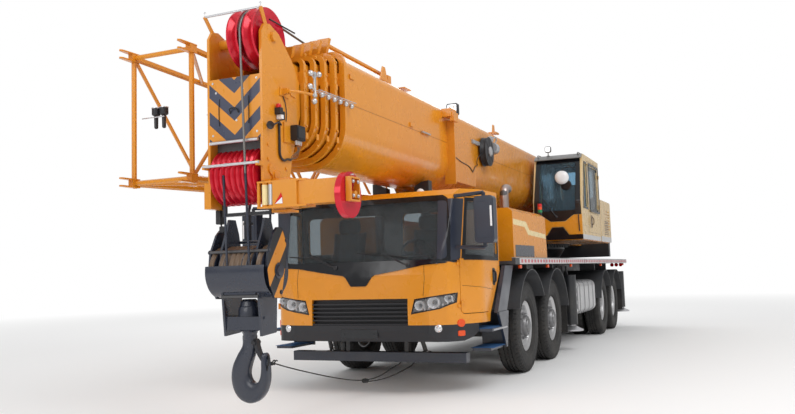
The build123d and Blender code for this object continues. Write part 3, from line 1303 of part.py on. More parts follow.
def luff_tube(start, end, radius, mode=Mode.ADD):
    """Round length of the cylinder between two distances from its lower pin."""
    with BuildSketch(Plane(origin=luff_point(start), z_dir=(LUFF_DX, 0, LUFF_DZ))) as section:
        Circle(radius)
    extrude(section.sketch, amount=end - start, mode=mode)


with BuildPart() as luff_barrel:
    luff_tube(60, BARREL_END, LUFF_R)
    luff_tube(BARREL_END - 110, BARREL_END, LUFF_R + 16)
    luff_tube(ROD_TAIL - 120, BARREL_END + 10, LUFF_ROD_R + RUN, Mode.SUBTRACT)
    shaft((LUFF_LOW_X, 0, LUFF_LOW_Z), 115, 2 * (LUFF_EAR_IN - 6))
    shaft((LUFF_LOW_X, 0, LUFF_LOW_Z), LUFF_PIN_R + RUN, 2 * LUFF_EAR_IN, Mode.SUBTRACT)
luff_barrel.part.label = "luff_barrel"
export_step(luff_barrel.part, "parts/luff_barrel.step")

with BuildPart() as luff_rod:
    luff_tube(ROD_TAIL, LUFF_LENGTH - 60, LUFF_ROD_R)
    shaft((LUFF_EYE_X, 0, LUFF_EYE_Z), 120, 2 * EYE_HALF)
    shaft((LUFF_EYE_X, 0, LUFF_EYE_Z), 65, 2 * EYE_HALF + 10, Mode.SUBTRACT)
luff_rod.part.label = "luff_rod"
export_step(luff_rod.part, "parts/luff_rod.step")

# ---------------------------------------------------------------- limit weight, hook block and hook
STRAP_Y = (243, 261)
with BuildPart() as limit_weight:
    for side in (1, -1):
        y_low, y_high = sorted((side * STRAP_Y[0], side * STRAP_Y[1]))
        block((HEAD_X - 28, HEAD_X + 28), (y_low, y_high), (1935, HEAD_LOW_Z))
        shaft((HEAD_X, side * sum(STRAP_Y) / 2, HEAD_LOW_Z), 75, STRAP_Y[1] - STRAP_Y[0])
    shaft((HEAD_X, 0, HEAD_LOW_Z), HEAD_SHAFT_R + RUN, 2 * STRAP_Y[1] + 10, Mode.SUBTRACT)
    block((HEAD_X - 28, HEAD_X + 28), (-STRAP_Y[1], STRAP_Y[1]), (1935, 1965))
    with Locations((HEAD_X, 0, 1830)):
        Cylinder(26, 240)
    with Locations((HEAD_X, 0, 1860)):
        Cylinder(44, 22)
limit_weight.part.label = "limit_weight"
export_step(limit_weight.part, "parts/limit_weight.step")

PLATE_OUT = (292, 312)  # outer side plates
PLATE_MID = (178, 200)  # inner side plates, down to the crosshead
BLOCK_SHEAVE_R = 225
BLOCK_SHAFT_R = 45
FALL_R = 11  # falls of hoist rope between the sheaves of the head and those of the block
FALL_SEAT = 18.5  # from the bottom of a groove to the middle of the rope in it
# front (1) or rear (-1) of the sheaves, Y
FALLS = ((1, -87), (1, 145), (-1, -145), (-1, 87))
OUTER_SIDE = (
    (6590, 1818), (6645, 1815), (6705, 1765), (6795, 1600), (6815, 1430), (6790, 1310), (6705, 1190),
    (6590, 1185), (6500, 1530), (6495, 1690), (6550, 1790),
)
MID_SIDE = (
    (6570, 1905), (6665, 1905), (6700, 1800), (6790, 1610), (6775, 1230), (6738, 862), (6500, 878),
    (6480, 1230), (6480, 1600), (6520, 1780),
)
CROSSHEAD_Z = (915, 1033)
HOOK_SHANK_R = 62
with BuildPart() as hook_block:
    for side in (1, -1):
        y_low, y_high = sorted((side * PLATE_OUT[0], side * PLATE_OUT[1]))
        plate(OUTER_SIDE, y_low, y_high)
        y_low, y_high = sorted((side * PLATE_MID[0], side * PLATE_MID[1]))
        plate(MID_SIDE, y_low, y_high)
    shaft((HEAD_X, 0, BLOCK_SHEAVE_Z), BLOCK_SHAFT_R, 2 * PLATE_OUT[1] + 50)
    for y, count in ((-246, 1), (0, 6), (246, 1)):
        add(sheave_pack((HEAD_X, y, BLOCK_SHEAVE_Z), BLOCK_SHEAVE_R, count, BLOCK_SHAFT_R - 5))
    for side, y in FALLS:
        bar(
            (HEAD_X + side * (SHEAVE_R - GROOVE + FALL_SEAT), y, HEAD_LOW_Z),
            (HEAD_X + side * (BLOCK_SHEAVE_R - GROOVE + 8), y, BLOCK_SHEAVE_Z), FALL_R,
        )
    shaft((6782, 0, 1608), 14, 2 * PLATE_OUT[1] + 10)
    shaft((6500, 0, 1700), 14, 2 * PLATE_OUT[1] - 10)
    shaft((6768, 0, 1212), 14, 2 * PLATE_MID[1] - 10)
    # curved cover in front of the sheaves
    with BuildSketch(Plane.XZ.offset(PLATE_OUT[1] - 6)) as cover:
        with BuildLine():
            outer = CenterArc((HEAD_X, BLOCK_SHEAVE_Z), 238, -75, 88)
            inner = CenterArc((HEAD_X, BLOCK_SHEAVE_Z), 230, -75, 88)
            Line(outer @ 0, inner @ 0)
            Line(outer @ 1, inner @ 1)
        make_face()
    extrude(cover.sketch, amount=-2 * (PLATE_OUT[1] - 6))
    # the crosshead that the hook hangs in
    block((HEAD_X - 105, HEAD_X + 105), (-PLATE_MID[0] - 5, PLATE_MID[0] + 5), CROSSHEAD_Z)
    with Locations((HEAD_X, 0, sum(CROSSHEAD_Z) / 2)):
        Cylinder(HOOK_SHANK_R + RUN, CROSSHEAD_Z[1] - CROSSHEAD_Z[0] + 10, mode=Mode.SUBTRACT)
hook_block.part.label = "hook_block"
export_step(hook_block.part, "parts/hook_block.step")

# the hook's outline seen from the front: Y, Z, down the back, round the bowl and back up its throat
HOOK_SIDE = (
    (-62, 860), (-66, 770), (-120, 690), (-172, 590), (-188, 480), (-160, 370), (-95, 295), (0, 265), (95, 292),
    (165, 365), (196, 460), (198, 570), (186, 680), (158, 712), (135, 690), (132, 560), (112, 480), (66, 447),
    (22, 470), (0, 540), (18, 610), (50, 680), (62, 780), (62, 860),
)
HOOK_HALF = 58
NUT_R = 92
NUT_TOP = 1125
with BuildPart() as hook:
    with BuildSketch(Plane.YZ.offset(HEAD_X - HOOK_HALF)) as bowl:
        with BuildLine():
            Polyline(*HOOK_SIDE, close=True)
        make_face()
    extrude(bowl.sketch, amount=2 * HOOK_HALF)
    chamfer(hook.edges().filter_by(GeomType.LINE).group_by(Axis.X)[0], 20)
    chamfer(hook.edges().filter_by(GeomType.LINE).group_by(Axis.X)[-1], 20)
    with Locations((HEAD_X, 0, (830 + NUT_TOP) / 2)):
        Cylinder(HOOK_SHANK_R, NUT_TOP - 830)
    with Locations((HEAD_X, 0, (CROSSHEAD_Z[1] + FIT + NUT_TOP) / 2)):
        Cylinder(NUT_R, NUT_TOP - CROSSHEAD_Z[1] - FIT)
    # safety latch across the mouth
    bar((HEAD_X, 60, 800), (HEAD_X, 150, 655), 22, 4)
hook.part.label = "hook"
export_step(hook.part, "parts/hook.step")

# ---------------------------------------------------------------- rope that ties the hook back
ROPE_R = 6
# rope from the frame to the hook, then the second leg from the ferrule to the frame
ROPE_ROUTE = (
    (6435, 132, 592), (6290, 134, 552), (6140, 138, 512), (5980, 142, 472), (5820, 146, 433), (5660, 149, 395),
    (5500, 151, 358), (5340, 152, 323), (5180, 153, 290), (5020, 153, 259), (4860, 152, 232), (4710, 151, 212),
    (4560, 152, 199), (4420, 161, 195), (4290, 177, 205), (4170, 197, 230), (4060, 219, 262), (3980, 238, 282),
    (3922, 257, 295), (3872, 282, 330), (3848, 308, 394), (3824, 336, 462), (3800, 355, 518), (3800, 355, 574.7),
)
LEG_ROUTE = (
    (4592, 152, 184), (4470, 168, 172), (4360, 205, 172), (4260, 252, 184), (4160, 304, 206), (4065, 356, 236),
    (3985, 396, 264), (3925, 425, 286), (3872, 446, 328), (3848, 446, 396), (3830, 428, 458), (3812, 412, 516),
    (3812, 412, 574.7),
)


def tube(route, label):
    """Round rope along straight runs joined by arcs as large as the runs allow, one per inner point."""
    points = [Vector(*p) for p in route]
    radii = []
    for before, at, after in zip(points, points[1:], points[2:]):
        turn = radians((at - before).get_angle(after - at))
        radii.append(0.45 * min((at - before).length, (after - at).length) / tan(turn / 2))
    print(label, "arc radii", [round(r) for r in radii])
    with BuildPart() as rope:
        with BuildLine() as line:
            FilletPolyline(*points, radius=radii)
        with BuildSketch(Plane(origin=line.line @ 0, z_dir=line.line % 0)):
            Circle(ROPE_R)
        sweep(path=line.line)
    length = line.wire().length
    print(label, "length", round(length), "volume ratio", round(rope.part.volume / (pi * ROPE_R**2 * length), 4))
    return rope.part


for node, route in (("tether_rope", ROPE_ROUTE), ("tether_leg", LEG_ROUTE)):
    rope_part = tube(route, node)
    rope_part.label = node
    export_step(rope_part, f"parts/{node}.step")

with BuildPart() as tether_ferrule:
    bar((4662, 151, 201), (4578, 152, 191), 24, 12)
tether_ferrule.part.label = "tether_ferrule"
export_step(tether_ferrule.part, "parts/tether_ferrule.step")
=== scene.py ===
"""Mobile crane: finishes, small pieces and stage around the crane's frame, laid out as an add-on."""

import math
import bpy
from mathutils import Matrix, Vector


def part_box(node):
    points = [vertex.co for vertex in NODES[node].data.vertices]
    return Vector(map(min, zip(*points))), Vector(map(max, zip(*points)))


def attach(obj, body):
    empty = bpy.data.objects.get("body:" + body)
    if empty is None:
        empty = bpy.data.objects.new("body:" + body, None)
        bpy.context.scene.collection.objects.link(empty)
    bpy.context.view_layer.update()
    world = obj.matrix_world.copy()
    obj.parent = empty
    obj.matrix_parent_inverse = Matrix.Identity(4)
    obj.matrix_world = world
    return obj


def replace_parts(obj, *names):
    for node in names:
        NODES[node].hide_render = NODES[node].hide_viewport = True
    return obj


bl_info = {
    "name": "Mobile crane",
    "version": (1, 0, 0),
    "blender": (4, 5, 0),
    "location": "3D View > Sidebar > Crane",
    "description": "Dresses the mobile crane's frame with paint, tyres, lamps, glass trim and rigging",
    "category": "Object",
}

import bpy
import numpy as np
from mathutils import Color, Matrix, Vector

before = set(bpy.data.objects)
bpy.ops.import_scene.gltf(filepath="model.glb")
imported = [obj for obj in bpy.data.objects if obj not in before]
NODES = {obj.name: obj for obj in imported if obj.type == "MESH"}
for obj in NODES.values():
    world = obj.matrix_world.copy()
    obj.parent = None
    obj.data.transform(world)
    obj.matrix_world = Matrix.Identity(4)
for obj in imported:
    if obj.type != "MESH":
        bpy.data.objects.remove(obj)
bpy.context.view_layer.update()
TAU = 2 * math.pi
X, Y, Z = (1, 0, 0), (0, 1, 0), (0, 0, 1)
SIDES = ((1, "left"), (-1, "right"))


# ---------------------------------------------------------------- settings
def colour(name, description, default):
    """A colour setting."""
    return bpy.props.FloatVectorProperty(
        name=name, description=description, default=default, subtype="COLOR", size=3, min=0, max=1
    )


def size(name, description, default):
    """A length setting in metres."""
    return bpy.props.FloatProperty(
        name=name, description=description, default=default, unit="LENGTH", min=0
    )


class CraneColours(bpy.types.PropertyGroup):
    """Colours of the crane's finishes."""

    boom: colour("Boom paint", "Paint of the boom, jib and head", (0.72, 0.27, 0.014))
    body: colour("Body paint", "Paint of the driver's cab, doors and hood", (0.78, 0.29, 0.01))
    cream: colour("Cream paint", "Paint of the operator's cab and tail box", (0.78, 0.56, 0.27))
    navy: colour("Navy paint", "Paint of the hook, hook block and underrun beam", (0.02, 0.026, 0.045))
    dark: colour("Chassis paint", "Paint of the frame and axles", (0.012, 0.014, 0.018))
    trim: colour("Black trim", "Moulded trim, grille and bumper", (0.01, 0.011, 0.014))
    red: colour("Sheave red", "Cast nylon of the rope sheaves", (0.5, 0.003, 0.022))
    chevron: colour("Chevron grey", "Dark bands of the hazard stripes", (0.042, 0.048, 0.085))
    tape: colour("Tape red", "Red squares of the rail's tape", (0.52, 0.02, 0.05))
    floor: colour("Floor", "Studio floor and backdrop", (0.93, 0.93, 0.93))


class CraneSizes(bpy.types.PropertyGroup):
    """Sizes of the crane's added pieces."""

    rope: size("Tether diameter", "Diameter of the rope that ties the hook back", 0.012)
    tread: size("Tread depth", "Depth of the tyres' tread grooves", 0.016)
    fall: size("Hoist rope diameter", "Diameter of the hoist rope", 0.022)


def colours():
    """The colour settings."""
    return bpy.context.scene.crane_colours


def sizes():
    """The size settings."""
    return bpy.context.scene.crane_sizes


# ---------------------------------------------------------------- shared shader groups
def group(name, inputs, outputs):
    """A new shader node group with named sockets, and its input and output nodes."""
    tree = bpy.data.node_groups.new(name, "ShaderNodeTree")
    for label, kind, default in inputs:
        socket = tree.interface.new_socket(label, in_out="INPUT", socket_type=kind)
        socket.default_value = default
    for label, kind in outputs:
        tree.interface.new_socket(label, in_out="OUTPUT", socket_type=kind)
    return tree, tree.nodes.new("NodeGroupInput"), tree.nodes.new("NodeGroupOutput")


def node(tree, kind, **values):
    """A node with its properties and its unlinked inputs set."""
    made = tree.nodes.new(kind)
    for key, value in values.items():
        if hasattr(made, key):
            setattr(made, key, value)
        else:
            made.inputs[key.replace("_", " ")].default_value = value
    return made


def feed(tree, socket, term):
    """Sets a socket to a number or a colour, or links it."""
    if isinstance(term, (int, float)):
        socket.default_value = term
    elif isinstance(term, (tuple, list, Color)):
        socket.default_value = (*term, 1.0)[:4]
    else:
        tree.links.new(term, socket)


def maths(tree, operation, *terms, clamp=False):
    """A Math node's output, with links or numbers as its terms."""
    made = tree.nodes.new("ShaderNodeMath")
    made.operation = operation
    made.use_clamp = clamp
    for index, term in enumerate(terms):
        feed(tree, made.inputs[index], term)
    return made.outputs[0]


def mix(tree, factor, low, high):
    """A colour mix's output, with links or colours as its terms."""
    made = tree.nodes.new("ShaderNodeMix")
    made.data_type = "RGBA"
    for index, term in ((0, factor), (6, low), (7, high)):
        feed(tree, made.inputs[index], term)
    return made.outputs[2]


def noise(tree, vector, scale, detail=3.0, stretch=None):
    """A noise texture's value on object coordinates, stretched by a mapping if asked."""
    if stretch:
        mapping = tree.nodes.new("ShaderNodeMapping")
        mapping.inputs["Scale"].default_value = stretch
        tree.links.new(vector, mapping.inputs["Vector"])
        vector = mapping.outputs["Vector"]
    made = node(tree, "ShaderNodeTexNoise", Scale=scale, Detail=detail)
    tree.links.new(vector, made.inputs["Vector"])
    return made.outputs["Fac"]


def ramp(tree, value, low, high):
    """A value's share of the way from low to high, clamped."""
    made = tree.nodes.new("ShaderNodeMapRange")
    tree.links.new(value, made.inputs["Value"])
    made.inputs["From Min"].default_value = low
    made.inputs["From Max"].default_value = high
    return made.outputs["Result"]


def place_of(tree, kind="Object"):
    """The shaded point in a kind of coordinates, as a link."""
    return tree.nodes.new("ShaderNodeTexCoord").outputs[kind]


def split(tree, kind="Object"):
    """The X, Y and Z of the shaded point in a kind of coordinates, as links."""
    made = tree.nodes.new("ShaderNodeSeparateXYZ")
    tree.links.new(place_of(tree, kind), made.inputs[0])
    return made.outputs


def shade_by(tree, factor, low, high):
    """Shades a material's surface with one shader, and with another where the factor is 1."""
    join = tree.nodes.new("ShaderNodeMixShader")
    for socket, term in zip(join.inputs, (factor, low.outputs[0], high.outputs[0])):
        tree.links.new(term, socket)
    tree.links.new(join.outputs[0], tree.nodes["Material Output"].inputs["Surface"])


def make_groups():
    """Groups that several finishes share: road film near the ground, paint texture and worn edges."""
    tree, taken, given = group(
        "Road film",
        [
            ("Colour", "NodeSocketColor", (0.5, 0.5, 0.5, 1)),
            ("Film", "NodeSocketColor", (0.16, 0.14, 0.115, 1)), ("Amount", "NodeSocketFloat", 0.3),
            ("Top", "NodeSocketFloat", 1.6)
        ],
        [("Colour", "NodeSocketColor"), ("Mask", "NodeSocketFloat")],
    )
    place = place_of(tree)
    height = maths(tree, "DIVIDE", split(tree)[2], taken.outputs["Top"])
    low = maths(tree, "SUBTRACT", 1.0, height, clamp=True)
    cloud = ramp(tree, noise(tree, place, 3.0, 6.0), 0.35, 0.75)
    fine = ramp(tree, noise(tree, place, 38.0, 4.0), 0.4, 0.7)
    blotches = maths(tree, "ADD", maths(tree, "MULTIPLY", cloud, 0.7), maths(tree, "MULTIPLY", fine, 0.3))
    mask = maths(tree, "MULTIPLY", low, blotches)
    mask = maths(tree, "MULTIPLY", mask, taken.outputs["Amount"], clamp=True)
    tree.links.new(mix(tree, mask, taken.outputs["Colour"], taken.outputs["Film"]), given.inputs["Colour"])
    tree.links.new(mask, given.inputs["Mask"])

    tree, taken, given = group(
        "Paint texture",
        [("Colour", "NodeSocketColor", (0.5, 0.5, 0.5, 1)), ("Variation", "NodeSocketFloat", 0.06),
         ("Scale", "NodeSocketFloat", 1.2)],
        [("Colour", "NodeSocketColor"), ("Peel", "NodeSocketFloat"), ("Gloss", "NodeSocketFloat")],
    )
    place = place_of(tree)
    broad = tree.nodes.new("ShaderNodeTexNoise")
    broad.inputs["Detail"].default_value = 4.0
    tree.links.new(place, broad.inputs["Vector"])
    tree.links.new(taken.outputs["Scale"], broad.inputs["Scale"])
    swing = maths(tree, "SUBTRACT", broad.outputs["Fac"], 0.5)
    shade = maths(tree, "MULTIPLY_ADD", swing, taken.outputs["Variation"], 1.0)
    tone = tree.nodes.new("ShaderNodeHueSaturation")
    tree.links.new(taken.outputs["Colour"], tone.inputs["Color"])
    tree.links.new(shade, tone.inputs["Value"])
    tree.links.new(tone.outputs["Color"], given.inputs["Colour"])
    tree.links.new(noise(tree, place, 240.0, 2.0), given.inputs["Peel"])
    tree.links.new(ramp(tree, noise(tree, place, 5.0, 5.0), 0.3, 0.8), given.inputs["Gloss"])

    tree, taken, given = group(
        "Edge wear",
        [("Radius", "NodeSocketFloat", 0.006), ("Amount", "NodeSocketFloat", 0.5)],
        [("Mask", "NodeSocketFloat")],
    )
    bevel = tree.nodes.new("ShaderNodeBevel")
    bevel.samples = 3
    tree.links.new(taken.outputs["Radius"], bevel.inputs["Radius"])
    geometry = tree.nodes.new("ShaderNodeNewGeometry")
    turn = tree.nodes.new("ShaderNodeVectorMath")
    turn.operation = "DOT_PRODUCT"
    tree.links.new(bevel.outputs["Normal"], turn.inputs[0])
    tree.links.new(geometry.outputs["Normal"], turn.inputs[1])
    place = place_of(tree)
    edge = ramp(tree, maths(tree, "SUBTRACT", 1.0, turn.outputs["Value"]), 0.02, 0.14)
    worn = maths(tree, "MULTIPLY", edge, ramp(tree, noise(tree, place, 22.0, 6.0), 0.5, 0.66))
    tree.links.new(maths(tree, "MULTIPLY", worn, taken.outputs["Amount"], clamp=True), given.inputs["Mask"])


def place_group(tree, name, **values):
    """One of the shared groups in a material, with numbers, colours or links as its inputs."""
    made = tree.nodes.new("ShaderNodeGroup")
    made.node_tree = bpy.data.node_groups[name]
    for key, value in values.items():
        feed(tree, made.inputs[key], value)
    return made


# ---------------------------------------------------------------- finishes
def finish_material(name, colour_value, roughness, **fixed):
    """A material with a Principled shader, whose fixed numbers are set on its own sockets."""
    material = bpy.data.materials.new(name)
    material.use_nodes = True
    tree = material.node_tree
    shader = tree.nodes["Principled BSDF"]
    shader.inputs["Base Color"].default_value = (*colour_value, 1.0)
    shader.inputs["Roughness"].default_value = roughness
    for key, value in fixed.items():
        shader.inputs[key.replace("_", " ")].default_value = value
    material.diffuse_color = (*colour_value, 1.0)
    return material, tree, shader


def bump(tree, shader, height, strength, distance):
    """Drives the shader's normal by a height."""
    made = node(tree, "ShaderNodeBump", Strength=strength, Distance=distance)
    tree.links.new(height, made.inputs["Height"])
    tree.links.new(made.outputs["Normal"], shader.inputs["Normal"])


def paint(
    name, colour_value, film=0.25, top=1.5, variation=0.07, rough=(0.22, 0.38), wear=0.0,
    under=(0.1, 0.1, 0.1)
):
    """Sprayed gloss paint: slow changes of tone, orange peel, road film low down and worn edges."""
    material, tree, shader = finish_material(name, colour_value, 0.3, Coat_Weight=0.35, Coat_Roughness=0.08)
    texture = place_group(tree, "Paint texture", Colour=colour_value, Variation=variation, Scale=1.1)
    base = texture.outputs["Colour"]
    if wear:
        edge = place_group(tree, "Edge wear", Radius=0.008, Amount=wear)
        base = mix(tree, edge.outputs["Mask"], base, under)
    dirt = place_group(tree, "Road film", Colour=base, Amount=film, Top=top)
    tree.links.new(dirt.outputs["Colour"], shader.inputs["Base Color"])
    rough_value = maths(tree, "MULTIPLY_ADD", texture.outputs["Gloss"], rough[1] - rough[0], rough[0])
    rough_value = maths(tree, "MULTIPLY_ADD", dirt.outputs["Mask"], 0.5, rough_value, clamp=True)
    tree.links.new(rough_value, shader.inputs["Roughness"])
    bump(tree, shader, texture.outputs["Peel"], 0.012, 0.0004)
    return material


def plastic(name, colour_value, rough=0.5, grain=0.3, film=0.25, scale=420.0):
    """Moulded plastic with a fine pebbled grain."""
    material, tree, shader = finish_material(name, colour_value, rough)
    place = place_of(tree)
    dirt = place_group(tree, "Road film", Colour=colour_value, Amount=film, Top=1.6)
    tree.links.new(dirt.outputs["Colour"], shader.inputs["Base Color"])
    patch = ramp(tree, noise(tree, place, 9.0, 5.0), 0.25, 0.8)
    tree.links.new(maths(tree, "MULTIPLY_ADD", patch, 0.14, rough - 0.07), shader.inputs["Roughness"])
    pebble = node(tree, "ShaderNodeTexVoronoi", Scale=scale)
    tree.links.new(place, pebble.inputs["Vector"])
    bump(tree, shader, pebble.outputs["Distance"], grain, 0.0007)
    return material


def metal(name, colour_value, rough=0.3, brushed=None, film=0.1, pits=0.1):
    """Bare or plated metal, with brushing stretched along an axis if asked."""
    material, tree, shader = finish_material(name, colour_value, rough, Metallic=1.0)
    place = place_of(tree)
    dirt = place_group(tree, "Road film", Colour=colour_value, Amount=film, Top=1.8)
    tree.links.new(dirt.outputs["Colour"], shader.inputs["Base Color"])
    grain = noise(tree, place, 60.0, 4.0, brushed or (1.0, 1.0, 1.0))
    value = maths(tree, "MULTIPLY_ADD", grain, 0.22, rough - 0.11)
    value = maths(tree, "MULTIPLY_ADD", dirt.outputs["Mask"], 0.5, value, clamp=True)
    tree.links.new(value, shader.inputs["Roughness"])
    bump(tree, shader, grain, pits, 0.0006)
    return material


# ---------------------------------------------------------------- surfaces worked out as arrays
def ring_faces(rows, across, closed=True):
    """Quads between the rows of a grid whose rows have `across` points, as index arrays."""
    columns = np.arange(across if closed else across - 1)
    after = (columns + 1) % across
    starts = (np.arange(rows - 1) * across)[:, None]
    return np.stack(
        [starts + columns, starts + after, starts + across + after, starts + across + columns], -1
    ).reshape(-1, 4)


def rings(points, cap=True):
    """Closed skin over rings: points[i, j] is point j of ring i, joined to the next ring, ends filled."""
    points = np.asarray(points, float)
    rows, across = points.shape[:2]
    faces = ring_faces(rows, across).tolist()
    if cap:
        faces.append(list(range(across))[::-1])
        faces.append(list(range((rows - 1) * across, rows * across)))
    return points.reshape(-1, 3), faces


def loop_rings(points):
    """Closed skin over rings whose last ring joins the first, as on a tyre."""
    points = np.asarray(points, float)
    rows, across = points.shape[:2]
    closed = np.concatenate([points, points[:1]])
    faces = ring_faces(rows + 1, across) % (rows * across)
    return closed[:-1].reshape(-1, 3), faces.tolist()


def frame_of(axis):
    """Two unit vectors square to an axis and to each other, and the unit axis."""
    axis = np.asarray(axis, float) / np.linalg.norm(axis)
    helper = np.array((0.0, 0.0, 1.0)) if abs(axis[2]) < 0.9 else np.array((1.0, 0.0, 0.0))
    across = np.cross(helper, axis)
    across /= np.linalg.norm(across)
    return across, np.cross(axis, across), axis


def spun(profile, origin, axis, count):
    """Rings of a turned profile: point (radius r, height h) goes to origin + r (u cos t + v sin t) + h w,
    for t round the axis w."""
    profile = np.asarray(profile, float)
    u, v, w = frame_of(axis)
    turn = np.linspace(0, TAU, count, endpoint=False)
    circle = np.cos(turn)[:, None] * u + np.sin(turn)[:, None] * v
    return np.asarray(origin, float) + profile[:, None, :1] * circle[None] + profile[:, None, 1:] * w


def lathe(profile, origin, axis, count=40):
    """Turned body with closed ends: see spun."""
    return rings(spun(profile, origin, axis, count))


def hollow_lathe(profile, origin, axis, count=40):
    """Turned ring: as lathe, for a closed profile whose last point joins its first."""
    return loop_rings(spun(profile, origin, axis, count))


def rod(radius, half, centre, axis, count):
    """Plain round bar that reaches half its length to each side of its centre."""
    return lathe([(radius, -half), (radius, half)], centre, axis, count)


def sweep(path, radius, sides=12):
    """Round rod along a path: each ring lies square to the path, and its frame turns as little as it can."""
    path = np.asarray(path, float)
    tangents = np.gradient(path, axis=0)
    tangents /= np.linalg.norm(tangents, axis=1)[:, None]
    u = frame_of(tangents[0])[0]
    us = []
    for tangent in tangents:
        u = u - tangent * u.dot(tangent)
        u = u / np.linalg.norm(u)
        us.append(u)
    us = np.array(us)
    vs = np.cross(tangents, us)
    turn = np.linspace(0, TAU, sides, endpoint=False)
    radius = np.broadcast_to(np.asarray(radius, float), (len(path),))
    points = path[:, None] + radius[:, None, None] * (
        np.cos(turn)[None, :, None] * us[:, None] + np.sin(turn)[None, :, None] * vs[:, None]
    )
    return rings(points)


def curve(points, count=24):
    """Smooth path through points: a Catmull-Rom spline sampled evenly along each run."""
    points = np.asarray(points, float)
    ends = np.concatenate([2 * points[:1] - points[1:2], points, 2 * points[-1:] - points[-2:-1]])
    share = np.linspace(0, 1, max(2, count // (len(points) - 1)), endpoint=False)[:, None]
    out = []
    for a, b, c, d in zip(ends, ends[1:], ends[2:], ends[3:]):
        out.append(
            0.5 * (
                2 * b + (c - a) * share + (2 * a - 5 * b + 4 * c - d) * share**2
                + (3 * b - a - 3 * c + d) * share**3
            )
        )
    return np.concatenate(out + [points[-1:]])


def cable(points, radius, sides=8, count=24):
    """Round rod along a smooth path through points."""
    return sweep(curve(points, count), radius, sides)


def ball(centre, radius, rows=10, count=18):
    """Sphere of rings: radius sin a at height -cos a, closed by small end faces."""
    a = np.linspace(0.06, math.pi - 0.06, rows)
    return lathe(np.stack([radius * np.sin(a), -radius * np.cos(a)], 1), centre, Z, count)


def counterclockwise(outline):
    """True where a closed outline's area, by the shoelace formula, comes out positive."""
    x, y = outline[:, 0], outline[:, 1]
    return np.sum(x * np.roll(y, -1) - np.roll(x, -1) * y) > 0


def inset_outline(outline, amount):
    """A closed outline moved inwards: each corner goes along its mitre by amount / cos(half turn)."""
    outline = np.asarray(outline, float)
    before = outline - np.roll(outline, 1, 0)
    after = np.roll(outline, -1, 0) - outline
    before /= np.linalg.norm(before, axis=1)[:, None]
    after /= np.linalg.norm(after, axis=1)[:, None]
    sign = 1.0 if counterclockwise(outline) else -1.0
    normals = sign * (np.stack([-before[:, 1], before[:, 0]], 1) + np.stack([-after[:, 1], after[:, 0]], 1))
    scale = np.sum(normals * normals, axis=1)[:, None] / 2
    return outline + amount * normals / np.maximum(scale, 0.3)


PLANES = {"xz": (0, 2, 1), "xy": (0, 1, 2), "yz": (1, 2, 0)}


def prism(outline, low, high, plane="xz", edge=0.004):
    """Plate with chamfered edges: an outline in a plane, carried from low to high along its normal."""
    outline = np.asarray(outline, float)
    a, b, c = PLANES[plane]
    if counterclockwise(outline) == (plane == "xz"):
        outline = outline[::-1]
    edge = min(edge, (high - low) * 0.45)
    inner = inset_outline(outline, edge)
    points = np.zeros((4, len(outline), 3))
    levels = ((inner, low), (outline, low + edge), (outline, high - edge), (inner, high))
    for row, (ring, level) in enumerate(levels):
        points[row][:, (a, b)] = ring
        points[row][:, c] = level
    return rings(points)


def block(low, high, edge=0.004):
    """Box with chamfered edges between two corners."""
    (x0, y0, z0), (x1, y1, z1) = low, high
    return prism([(x0, y0), (x1, y0), (x1, y1), (x0, y1)], z0, z1, "xy", edge)


def side_block(s, low, high, edge):
    """The same on the side s of the centreline, for corners given on its left."""
    (x0, y0, z0), (x1, y1, z1) = low, high
    near, far = sorted((s * y0, s * y1))
    return block((x0, near, z0), (x1, far, z1), edge)


def rounded(width, height, radius, steps=5, centre=(0, 0)):
    """Outline of a rounded rectangle about its centre: quarter circles at its corners."""
    turn = np.linspace(0, math.pi / 2, steps + 1)
    out = []
    for k, (sx, sy) in enumerate(((1, 1), (-1, 1), (-1, -1), (1, -1))):
        corner = turn + k * math.pi / 2
        x = sx * (width / 2 - radius) + radius * np.cos(corner)
        y = sy * (height / 2 - radius) + radius * np.sin(corner)
        out.append(np.stack([x, y], 1))
    return np.concatenate(out) + centre


def rim_of(rows, across):
    """Indices of a grid's points round its rim."""
    index = np.arange(rows * across).reshape(rows, across)
    return np.concatenate([index[0], index[1:, -1], index[-1, -2::-1], index[-2:0:-1, 0]])


def shell_between(front, back):
    """Closed body between two grids of points with the same rows and columns, joined round their rims."""
    rows, across = front.shape[:2]
    count = rows * across
    faces = ring_faces(rows, across, False)
    rim = rim_of(rows, across)
    after = np.roll(rim, -1)
    sides = np.stack([rim, after, after + count, rim + count], 1)
    points = np.concatenate([front.reshape(-1, 3), back.reshape(-1, 3)])
    return points, np.concatenate([faces[:, ::-1], faces + count, sides]).tolist()


def slab(grid, thickness):
    """Closed sheet between a grid of points and the same grid moved by thickness against its normals."""
    normal = np.cross(np.gradient(grid, axis=0), np.gradient(grid, axis=1))
    normal /= np.maximum(np.linalg.norm(normal, axis=2), 1e-9)[:, :, None]
    return shell_between(grid, grid - normal * thickness)


def moved(part, matrix=None, offset=(0, 0, 0)):
    """A part turned by a 3 x 3 matrix and then moved."""
    points, faces = part
    if matrix is not None:
        points = points @ np.asarray(matrix, float).T
    return points + np.asarray(offset, float), faces


def turned(part, origin, axis, count, start=0.0):
    """Copies of one part, evenly spaced round an axis through origin."""
    points, faces = part
    out = []
    for k in range(count):
        matrix = np.array(Matrix.Rotation(start + TAU * k / count, 3, Vector(axis)))
        out.append(((points - origin) @ matrix.T + origin, faces))
    return out


def bolt(centre, axis, radius=0.012, height=0.01):
    """Hexagon bolt head with a washer under it."""
    washer = lathe([(radius * 1.35, 0), (radius * 1.35, height * 0.2)], centre, axis, 14)
    head = lathe([(radius, height * 0.15), (radius, height * 0.85), (radius * 0.85, height)], centre, axis, 6)
    return [washer, head]


